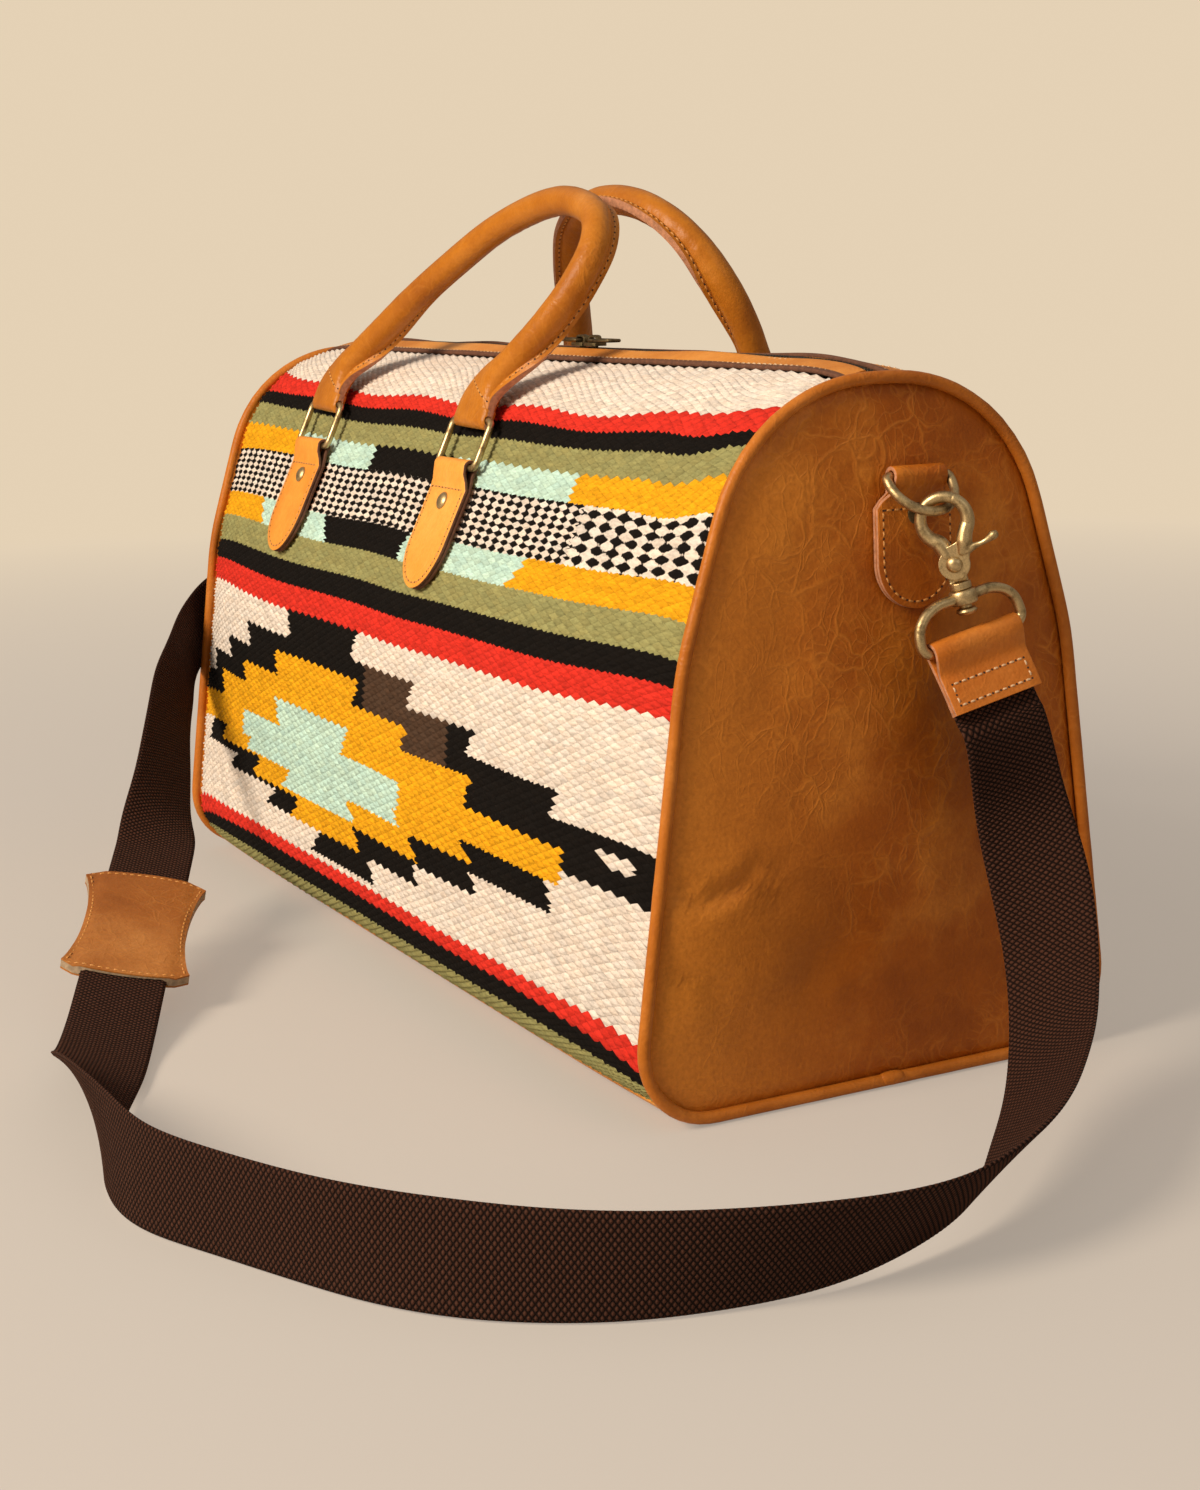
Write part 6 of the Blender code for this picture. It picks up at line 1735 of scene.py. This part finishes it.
def folded(bar, turn, wire, layer, stand, face, width_at, length):
    """Leather from its lower end behind, round the bar and down in front.

    turn gives the directions across, up and out at the bar, face the surface point and its normal a
    drop below the bar, and stand is the gap under the leather.
    """
    across, up, out = turn
    radius = wire + GAP + layer / 2
    drops = [length * (1 - (1 - k / 26) ** 1.6) for k in range(1, 27)]
    line = []
    for drop in reversed(drops):
        place, normal = face(drop)
        line.append((place + normal * (stand + layer / 2), drop))
    for k in range(17):
        angle = math.pi * (1 - k / 16)
        line.append((bar + (out * math.cos(angle) + up * math.sin(angle)) * radius, 0.0))
    base, base_normal = face(0.0)
    bar_stand = (bar - base).dot(base_normal) + radius
    for drop in drops:
        place, normal = face(drop)
        settle = smooth_step(drop / 0.0105)
        line.append((place + normal * (bar_stand + (stand + 1.5 * layer - bar_stand) * settle), drop))
    stations = []
    for (place, drop), along in zip(line, course([place for place, _ in line])):
        stations.append((place, across, along.cross(across).normalized(), width_at(drop), layer * 0.97))
    return Shape().ribbon(stations, layer * 0.30, 6, 1)


class Chape(typing.NamedTuple):
    """A leather tongue's sizes. Drops are measured down from the bar that it is folded round."""

    loop: float  # its width round the bar
    width: float
    length: float
    tip: float  # the height of its round tip
    shoulder: float  # the drop where it widens
    stand: float  # the gap under it
    seam: float  # the drop where its seam begins
    row: float  # and that of the row of stitches across
    margin: float  # from the seam to the edge
    row_margin: float
    stitch: float
    rivet: float  # the drop of its rivet

    def half_at(self, drop):
        """Half its width: a narrow loop, a wider body and a rounded tip."""
        half = self.loop / 2 + (self.width - self.loop) / 2 * smooth_step((drop - self.shoulder) / 0.0035)
        past = (drop - (self.length - self.tip)) / self.tip
        if past > 0:
            half *= math.sqrt(max(0.0, 1 - min(past, 0.9995) ** 2))
        return max(half, 0.0008)

    def seam_line(self, face, across, stand):
        """The stitch path from one shoulder round the tip to the other."""
        left, right = [], []
        for k in range(40):
            drop = self.seam + (self.length - self.margin - self.seam) * (1 - (1 - k / 39) ** 1.7)
            past = (drop - (self.length - self.tip)) / (self.tip - self.margin)
            half = self.half_at(min(drop, self.length - self.tip)) - self.margin
            if past > 0:
                half *= math.sqrt(max(0.0, 1 - min(past, 1.0) ** 2))
            place, normal = face(drop)
            left.append((place + normal * stand - across * half, normal))
            right.append((place + normal * stand + across * half, normal))
        return left + right[::-1][1:]


WALL_CHAPE = Chape(
    LOOP_WIDTH, CHAPE_WIDTH, CHAPE_LENGTH, CHAPE_TIP, 0.0052, GAP, 0.0108, 0.0104, 0.0024, 0.0030,
    STITCH_LENGTH, CHAPE_RIVET_DROP,
)
END_CHAPE = Chape(
    END_LOOP_WIDTH, END_CHAPE_WIDTH, END_CHAPE_LENGTH, END_CHAPE_TIP, 0.0070, END_CHAPE_STAND, 0.0125, 0.0125,
    0.0026, 0.0035, 0.0024, END_RIVET_DROP,
)


def chape(name, node, looks, sizes, bar, turn, wire, face, seams):
    """A doubled tongue on its bar and its seam. Gives its rivet's place and the normal there."""
    shape = folded(bar, turn, wire, CHAPE_LAYER, sizes.stand, face, sizes.half_at, sizes.length)
    add_piece(name, shape, looks, "bag", [node], 50)
    across = turn[0]
    stand = sizes.stand + 2 * CHAPE_LAYER
    seams.stitches(sizes.seam_line(face, across, stand), length=sizes.stitch)
    place, normal = face(sizes.row)
    reach = across * (sizes.width / 2 - sizes.row_margin)
    row = [(place + normal * stand + reach * (k / 4 - 1), normal) for k in range(9)]
    seams.stitches(row, length=sizes.stitch)
    place, normal = face(sizes.rivet)
    return place + normal * (stand + 0.0001), normal


def chape_x(side, end):
    centre = HANDLE_FRONT_CENTRE if side < 0 else HANDLE_BACK_CENTRE
    return centre + end * HANDLE_SPREAD / 2


def lower_bar(side, end):
    """The centre of a ring's lower bar."""
    place, normal = wall_point(0.0, CHAPE_ARC, 0.0, side)
    centre = place + normal * (GAP + CHAPE_LAYER + GAP + RING_WIRE)
    return Vector((chape_x(side, end), centre.y, centre.z))


def ring_direction(side):
    return Vector((0.0, -side * math.sin(RING_LEAN), math.cos(RING_LEAN)))


def upper_bar(side, end):
    return lower_bar(side, end) + ring_direction(side) * RING_RISE


def rivet(name, look, node, place, head, dome):
    """A rivet's head, with a fine rim round its foot."""
    shares = [(0.0, 1.0), (0.35, 0.95), (0.65, 0.76), (0.88, 0.42), (0.97, 0.18), (1.0, 0.0)]
    profile = [(head * wide, dome * high) for wide, high in shares]
    profile += [(head * 0.95, -0.0003), (head * 0.4, -0.0003)]
    shape = Shape().lathe(profile, place @ Matrix.Rotation(math.pi / 2, 4, "X"), 28)
    add_piece(name, shape, [look], "bag", [node], 60)


def handle_chape(name, side, end, seams):
    """A chape on the wall with its rivet."""
    x = chape_x(side, end)

    def face(drop):
        place, normal = wall_point(0.0, CHAPE_ARC + drop, 0.0, side, FINE_ARC_STEPS)
        return Vector((x, place.y, place.z)), normal

    def upward(normal):
        return Vector((0.0, -side * normal.z, side * normal.y))

    _, normal = face(0.0)
    turn = (Vector((1.0, 0.0, 0.0)), upward(normal), normal)
    spot, out = chape(
        f"chape_{name}", f"handle_chape_{name}", ["chape", "edge"], WALL_CHAPE, lower_bar(side, end), turn,
        RING_WIRE, face, seams,
    )
    place = outward_frame(spot, out, upward(out))
    rivet(f"rivet_{name}", "brass", f"chape_rivet_{name}", place, RIVET_HEAD, RIVET_DOME)


def arc_points(radius, first, last, steps, centre=(0.0, 0.0)):
    """Points of an arc in the local XZ plane, angles in degrees."""
    points = []
    for k in range(steps + 1):
        angle = math.radians(first + (last - first) * k / steps)
        x, z = radius * math.cos(angle), radius * math.sin(angle)
        points.append(Vector((centre[0] + x, 0.0, centre[1] + z)))
    return points


def handle_ring(name, side, end):
    """A rectangular wire ring with rounded corners."""
    low, up = lower_bar(side, end), ring_direction(side)
    reach = RING_INNER / 2 + RING_WIRE - RING_BEND
    points = []
    for right, top, first in ((1, 0, -90), (1, 1, 0), (-1, 1, 90), (-1, 0, 180)):
        height = RING_RISE * top + RING_BEND * (1 - 2 * top)
        for bend in arc_points(RING_BEND, first, first + 90, 6, (right * reach, height)):
            points.append(low + Vector((bend.x, 0.0, 0.0)) + up * bend.z)
    shape = Shape().tube(points, RING_WIRE, 14, True)
    add_piece(f"wire_ring_{name}", shape, ["brass"], f"ring_{name}", [f"handle_ring_{name}"], 60)


# Handles


def handle_route(side):
    """The handle's middle line from its far bar to its near bar."""
    far, near = upper_bar(side, -1), upper_bar(side, 1)
    rise = CROWN_HEIGHT - far.z
    crown_y = side * CROWN_OFFSET
    route = []
    for along, up in FRONT_ARCH if side < 0 else BACK_ARCH:
        x = far.x + along * (near.x - far.x)
        route.append(Vector((x, far.y + (crown_y - far.y) * up**1.1, far.z + rise * up)))
    return route


def handle_lines(side):
    """Places, tangents, inward directions, directions across, flatness and arcs along a handle."""
    route = smooth_path(handle_route(side), 16)
    arcs = arc_marks(route)
    lines = []
    for place, tangent, arc in zip(route, course(route), arcs):
        distance = min(arc, arcs[-1] - arc)
        flatness = smooth_step(1.0 - distance / HANDLE_FLAT_REACH)
        turn = math.pi / 2 * smooth_step(1.2 - distance / FIN_TURN_REACH)
        inward = Vector((-side * math.sin(turn), -side * math.cos(turn), 0.0))
        normal = (inward - tangent * inward.dot(tangent)).normalized()
        lines.append((place, tangent, normal, tangent.cross(normal), flatness, arc))
    return lines


def handle_section(flatness):
    """Half the handle's width and thickness, and how square its section is."""
    wide = HANDLE_RADIUS + (HANDLE_END_WIDTH / 2 - HANDLE_RADIUS) * flatness
    thick = HANDLE_RADIUS + (HANDLE_END_THICK / 2 - HANDLE_RADIUS) * flatness
    return wide, thick, 1.0 - 0.55 * flatness


def squared(value, power):
    return math.copysign(abs(value) ** power, value)


def handle_ring_points(place, normal, across, flatness, arc, thinning, side):
    """The handle's section at a place: its round, then the fin."""
    half_wide, half_thick, power = handle_section(flatness)
    half_thick *= thinning
    base = math.asin(FIN_WIDTH / 2 / HANDLE_RADIUS)
    ring = []
    for k in range(HANDLE_SIDES):
        angle = base + (2 * math.pi - 2 * base) * k / (HANDLE_SIDES - 1)
        cosine, sine = math.cos(angle), math.sin(angle)
        wrinkle = 0.0
        if flatness < 0.2 and cosine > -0.2:
            wrinkle = 0.00030 * (cosine + 0.2) * noise.noise(Vector((arc * 260, angle * 0.7, side * 3)))
        wide = squared(cosine, power) * (half_wide - wrinkle)
        thick = squared(sine, power) * (half_thick - wrinkle)
        ring.append(place + normal * wide + across * thick)
    half_fin = FIN_WIDTH / 2 * (1 - flatness) + half_thick * 0.35 * flatness
    edge = place + normal * (half_wide + FIN_DEPTH * (1 - flatness))
    ring += [edge - across * half_fin, edge + normal * 0.0002 * (1 - flatness), edge + across * half_fin]
    return ring


def handle(word, side):
    """A rolled handle: round with a stitched fin, flat where its ends fold round the rings."""
    lines = handle_lines(side)
    ends = []
    for outward, line in ((-1, lines[0]), (1, lines[-1])):
        place, tangent, *rest = line
        caps = []
        for angle in map(math.radians, (20, 40, 58, 72, 82)):
            below = tangent * outward * HANDLE_END_THICK / 2 * math.sin(angle)
            caps.append((place + below, tangent, *rest, math.cos(angle)))
        ends.append(caps)
    rings = []
    for place, _, *form in ends[0][::-1] + [(*line, 1.0) for line in lines] + ends[1]:
        rings.append(handle_ring_points(place, *form, side))
    looks = [0] * HANDLE_SIDES + [1, 1, 0]
    shape = Shape().loft(rings, ring_looks=looks)
    made = add_piece(f"handle_{word}_leather", shape, ["handle", "raw"], smooth=50)
    for end in (-1, 1):
        bar = upper_bar(side, end)
        points = [bar + Vector((HANDLE_END_WIDTH * (k / 4 - 1), 0.0, 0.0)) for k in range(9)]
        cutter = add_piece("handle_eye", Shape().tube(points, RING_WIRE + GAP, 20), ["edge"])
        step = made.modifiers.new("eye", "BOOLEAN")
        step.object = cutter
        step.solver = "EXACT"
        apply_modifiers(made)
        bpy.data.objects.remove(cutter)
    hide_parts(f"handle_{word}")
    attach(made, f"handle_{word}")
    handle_seam(word, lines)


def handle_seam(word, lines):
    """Stitches on both sides of the fin, and a row across each flat end."""
    seam = Shape()
    for edge in (-1, 1):
        path = []
        for place, _, normal, across, flatness, _ in lines:
            if flatness < 0.55:
                rise = handle_section(flatness)[0] + FIN_DEPTH * 0.30 * (1 - flatness)
                shift = across * edge * FIN_WIDTH / 2 * (1 - flatness)
                path.append((place + normal * rise + shift, across * edge))
        seam.stitches(path)
    for group in (lines, lines[::-1]):
        line = next(line for line in group if abs(line[5] - group[0][5]) > HANDLE_ROW_DROP)
        place, _, normal, across, flatness, _ = line
        half_wide, half_thick, power = handle_section(flatness)
        for face in (-1, 1):
            row = []
            for k in range(21):
                angle = math.radians(22 + 136 * k / 20)
                wide = squared(math.cos(angle), power) * half_wide
                thick = math.sin(angle) ** power * half_thick
                row.append((place + normal * wide + across * face * thick, across * face))
            seam.stitches(row, 0.0034, 0.0025)
    add_piece(f"handle_{word}_stitches", seam, ["thread", "hole_shade"], f"handle_{word}")


# The ends: chapes, D rings, hooks, bails and tabs


def end_chape(word, side, seams):
    """A chape on an end panel with its rivet."""
    place = end_chape_frame(side)
    across, inward, up = (place.to_3x3() @ Vector(axis) for axis in Matrix.Identity(3))

    def face(drop):
        return end_surface(END_CHAPE_ACROSS, END_BAR_HEIGHT - drop, side)

    spot, normal = chape(
        f"tongue_{word}", f"end_chape_{word}", ["panel", "raw"], END_CHAPE, place.translation,
        (across, up, -inward), D_WIRE, face, seams,
    )
    head = outward_frame(spot, normal, (0.0, 0.0, 1.0))
    rivet(f"end_rivet_head_{word}", "dark_brass", f"end_rivet_{word}", head, END_RIVET_HEAD, END_RIVET_FLAT)


def d_ring(word, side):
    down = d_down(side)
    origin = end_chape_frame(side).translation
    points = [d_wire_point(side, math.radians(-90 + 180 * k / 28)) for k in range(29)]
    for y in (1, -1):
        corner = origin + Vector((0.0, y * D_RADIUS, 0.0))
        points += bent(corner + down, corner, origin, 0.0024, (0.25, 0.5, 0.75, 1.0))[::y]
    shape = Shape().tube(points, D_WIRE, 14, True)
    add_piece(f"d_wire_{word}", shape, ["brass"], f"strap_end_{word}", [f"d_ring_{word}"], 60)


def add_cast(name, shape, node, body):
    """A brass piece whose parts are melted into one."""
    made = add_piece(name, shape, ["brass"])
    cast(made)
    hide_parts(node)
    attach(made, body)


def curved_wire(shape, place, ring, tail, radii):
    """A wire that follows a ring and runs out into a tail; radii gives its radius at each share."""
    points = ring + [Vector(spot) for spot in tail]
    points = points[:-4] + smooth_path(points[-4:], 5)
    last = len(points) - 1
    shape.tube([place @ p for p in points], [radii(k, last) for k in range(last + 1)], 18)


def hook_body(word, place):
    """The snap hook's body: open eye, shank, neck and ball."""
    half = SHANK_WIDTH / 2
    body = Shape()
    curved_wire(
        body, place, arc_points(EYE_RADIUS, 60, 226, 26),
        [(-0.0040, 0.0, -0.0082), (-0.0028, 0.0, -0.0106), (-0.0020, 0.0, -0.0135)],
        lambda k, last: EYE_WIRE * (0.98 + 0.50 * smooth_step(k / last * 1.8 - 0.6)),
    )
    collar_top = -COLLAR_DROP + COLLAR_THICK / 2
    outline = [(-half * 1.10, -PIVOT_DROP * 0.72), (-half * 0.7, -PIVOT_DROP * 0.56)]
    outline += [(-0.0010, -PIVOT_DROP * 0.62)]
    outline += [(p.x, p.z) for p in arc_points(half, 30, -50, 5, (0.0, -PIVOT_DROP))]
    outline += [(NECK_RADIUS * 1.35, collar_top + GAP * 3), (-NECK_RADIUS * 1.35, collar_top + GAP * 3)]
    outline += [(-half * 0.8, -PIVOT_DROP - half * 0.78), (-half * 1.05, -PIVOT_DROP - half * 0.2)]
    body.slab(outline, -SHANK_THICK / 2 + GATE_PLATE + 2 * GAP, SHANK_THICK / 2, place)
    neck = [(NECK_RADIUS * 1.75, collar_top + 0.0030), (NECK_RADIUS * 1.75, collar_top + GAP)]
    neck += [(NECK_RADIUS, collar_top), (NECK_RADIUS, -NECK_END + 0.0004)]
    ball = [(0.85, 0.0), (1.0, 0.0010), (0.75, 0.0022), (0.0, 0.0028)]
    neck += [(BALL_RADIUS * wide, -NECK_END - drop) for wide, drop in ball]
    body.lathe(neck, place, 24)
    add_cast(f"hook_{word}", body, f"hook_body_{word}", f"hook_{word}")


def hook_gate(word, place):
    """The gate that closes the eye: arm, round plate, web and thumb lever."""
    depth = -SHANK_THICK / 2 + GATE_PLATE / 2
    gate = Shape()
    curved_wire(
        gate, place, arc_points(EYE_RADIUS, 53, -22, 16),
        [(0.0064, depth * 0.6, -0.0068), (0.0054, depth * 0.9, -0.0098), (0.0040, depth, -0.0128)],
        lambda k, last: EYE_WIRE * (0.98 + 0.42 * k / last if last - k > 5 else 0.85 + 0.09 * (last - k)),
    )
    disc = arc_points(SHANK_WIDTH / 2 * 1.16, 128, 368, 20, (0.0, -PIVOT_DROP))
    web = [(0.90, -1.20), (0.96, -0.84), (0.62, -0.76), (0.45, -0.94)]
    web += [(0.15, -1.06), (-0.15, -1.12), (-0.3, -1.26)]
    plate = [(p.x, p.z) for p in disc] + [(EYE_RADIUS * x, EYE_RADIUS * z) for x, z in web]
    gate.slab(plate, depth - GATE_PLATE / 2, depth + GATE_PLATE / 2, place)
    lever = []
    for out, ahead, drop in ((0.60, 0.9, 0.76), (1.00, 1.0, 0.70), (1.45, 1.1, 0.66), (1.92, 1.2, 0.56)):
        lever.append(Vector((EYE_RADIUS * out, depth * ahead, -PIVOT_DROP * drop)))
    radii = [0.0019, 0.0018, 0.0017, 0.0016, 0.0014, 0.0012, 0.0011]
    radii += [0.0011, 0.0011, 0.0012, 0.0014, 0.0017, 0.0018]
    gate.tube([place @ p for p in smooth_path(lever, 4)], radii, 12)
    add_cast(f"gate_{word}", gate, f"hook_gate_{word}", f"hook_gate_{word}")


def hook_pin(word, place):
    """The pin that the gate turns on."""
    spot = place @ Matrix.Translation((0.0, 0.0, -PIVOT_DROP)) @ Matrix.Rotation(math.pi / 2, 4, "X")
    front = SHANK_THICK / 2 + GAP
    head = [(0.0, 0.0016), (0.4, 0.0015), (0.75, 0.0010), (0.95, 0.0003), (1.0, 0.0)]
    profile = [(PIN_HEAD * wide, front + rise) for wide, rise in head]
    profile += [(PIN_RADIUS, front), (PIN_RADIUS, -front)]
    foot = [(0.8, 0.0), (0.75, 0.0006), (0.0, 0.0008)]
    profile += [(PIN_HEAD * wide, -front - rise) for wide, rise in foot]
    pin = Shape().lathe(profile, spot, 24)
    add_piece(f"pin_{word}", pin, ["brass"], f"hook_{word}", [f"hook_pin_{word}"], 50)


def hook(word, side):
    place = hook_frame(side)
    hook_body(word, place)
    hook_gate(word, place)
    hook_pin(word, place)


def bail(word, side):
    """The bail: a wide loop whose ends meet in the swivel's collar."""
    place = bail_frame(side)
    corner = 0.0040
    right = arc_points(corner, -90, 0, 6, (BAIL_HALF - corner, corner))
    shares = [(1.0, 0.35), (0.93, 0.64), (0.76, 0.87), (0.52, 0.99), (0.26, 1.0)]
    top = [Vector((BAIL_HALF * out, 0.0, BAIL_BAR_DROP * up)) for out, up in shares]
    top.append(Vector((COLLAR_RADIUS * 0.8, 0.0, BAIL_BAR_DROP)))
    right += smooth_path(top, 4)[1:]
    line = [Vector((-p.x, p.y, p.z)) for p in reversed(right)] + [Vector()] + right
    shape = Shape().tube([place @ p for p in line], BAIL_WIRE, 16)
    room, bevel, thick = NECK_RADIUS + GAP, 0.0006, COLLAR_THICK / 2
    profile = [(room, -thick), (COLLAR_RADIUS - bevel, -thick), (COLLAR_RADIUS, -thick + bevel)]
    profile += [(radius, -height) for radius, height in reversed(profile)]
    rings = []
    for x, y in circle(28):
        rings.append([place @ Vector((r * x, r * y, BAIL_BAR_DROP + h)) for r, h in profile])
    shape.loft(rings, 0, True)
    add_piece(f"bail_{word}", shape, ["brass"], f"strap_end_{word}", [f"strap_bail_{word}"], 50)


def tab(word, side):
    """The leather tab round the bail, with its box of stitches."""
    place = tab_frame(side)
    across, inward, up = (place.to_3x3() @ Vector(axis) for axis in Matrix.Identity(3))
    body = f"strap_end_{word}"

    def face(drop):
        bow = 0.0004 * math.sin(math.pi * min(1.0, drop / TAB_LENGTH))
        return place @ Vector((0.0, BAIL_WIRE + GAP + TAB_LAYER - bow, -drop)), -inward

    turn = (across, up, -inward)
    bar = place.translation
    shape = folded(bar, turn, BAIL_WIRE, TAB_LAYER, 0.0, face, lambda _: TAB_WIDTH / 2, TAB_LENGTH)
    add_piece(f"tab_{word}", shape, ["tab", "raw"], body, [f"strap_tab_{word}"], 50)
    seam = Shape()
    half = TAB_WIDTH / 2 - 0.0035
    box = [(-half, 0.0135), (half, 0.0135), (half, 0.0220), (-half, 0.0220), (-half, 0.0135)]
    for (x0, d0), (x1, d1) in zip(box, box[1:]):
        row = []
        for share in (k / 8 for k in range(9)):
            spot, normal = face(d0 + (d1 - d0) * share)
            row.append((spot + normal * 2 * TAB_LAYER + across * (x0 + (x1 - x0) * share), normal))
        seam.stitches(row, length=0.0023)
    add_piece(f"tab_stitches_{word}", seam, ["pale_thread", "hole_shade"], body)


# Assembly


def dress_kept_nodes():
    """The solids that stay get their cloth and board."""
    looks = dict.fromkeys(("lining_body", "lining_end_near", "lining_end_far"), "lining")
    for node, look in (looks | {"base_board": "board"}).items():
        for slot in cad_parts[node].material_slots:
            slot.material = LOOKS[look]


def body_seams():
    """Stitches along both edges of the zip bands."""
    shape = Shape()
    for side in (-1, 1):
        for arc in (BAND_INNER + 0.0018, BAND_OUTER - 0.0020):
            path = [wall_point(x, arc, -BAND_RAISED, side, FINE_ARC_STEPS) for x in even_x(260)]
            shape.stitches(path, 0.0040, 0.0028, 0.00034, False)
    add_piece("zip_band_stitches", shape, ["pale_thread"], "bag")


def main():
    camera()
    stage()
    webbing = strap()
    pad = shoulder_pad()
    companions = {}
    seams = Shape()
    walls, ends = (("front", -1), ("back", 1)), (("near", 1), ("far", -1))
    for word, side in walls:
        kilim_wall(word, side)
    end_panel("near", 1, NEAR_FOLDS, NEAR_SWELLS)
    end_panel("far", -1, FAR_FOLDS, FAR_SWELLS)
    for word, side in ends:
        piping(word, side)
    base_panel()
    for word, side in walls:
        zip_band(word, side)
        zip_tape(word, side)
    body_seams()
    for word, side in walls:
        for end_word, end in ends:
            handle_chape(f"{word}_{end_word}", side, end, seams)
            handle_ring(f"{word}_{end_word}", side, end)
        handle(word, side)
    for word, side in ends:
        zip_slider(word, side)
        zip_pull(word, side)
        end_chape(word, side, seams)
        d_ring(word, side)
        hook(word, side)
        bail(word, side)
        tab(word, side)
        kinds = ("tab", "tab_stitches", "bail", "hook", "gate", "pin")
        companions[word] = [bpy.data.objects[f"{kind}_{word}"] for kind in kinds]
    companions["near"] += pad
    add_piece("chape_stitches", seams, ["thread", "hole_shade"], "bag")
    dress_kept_nodes()
    declare_strap(webbing)


main()
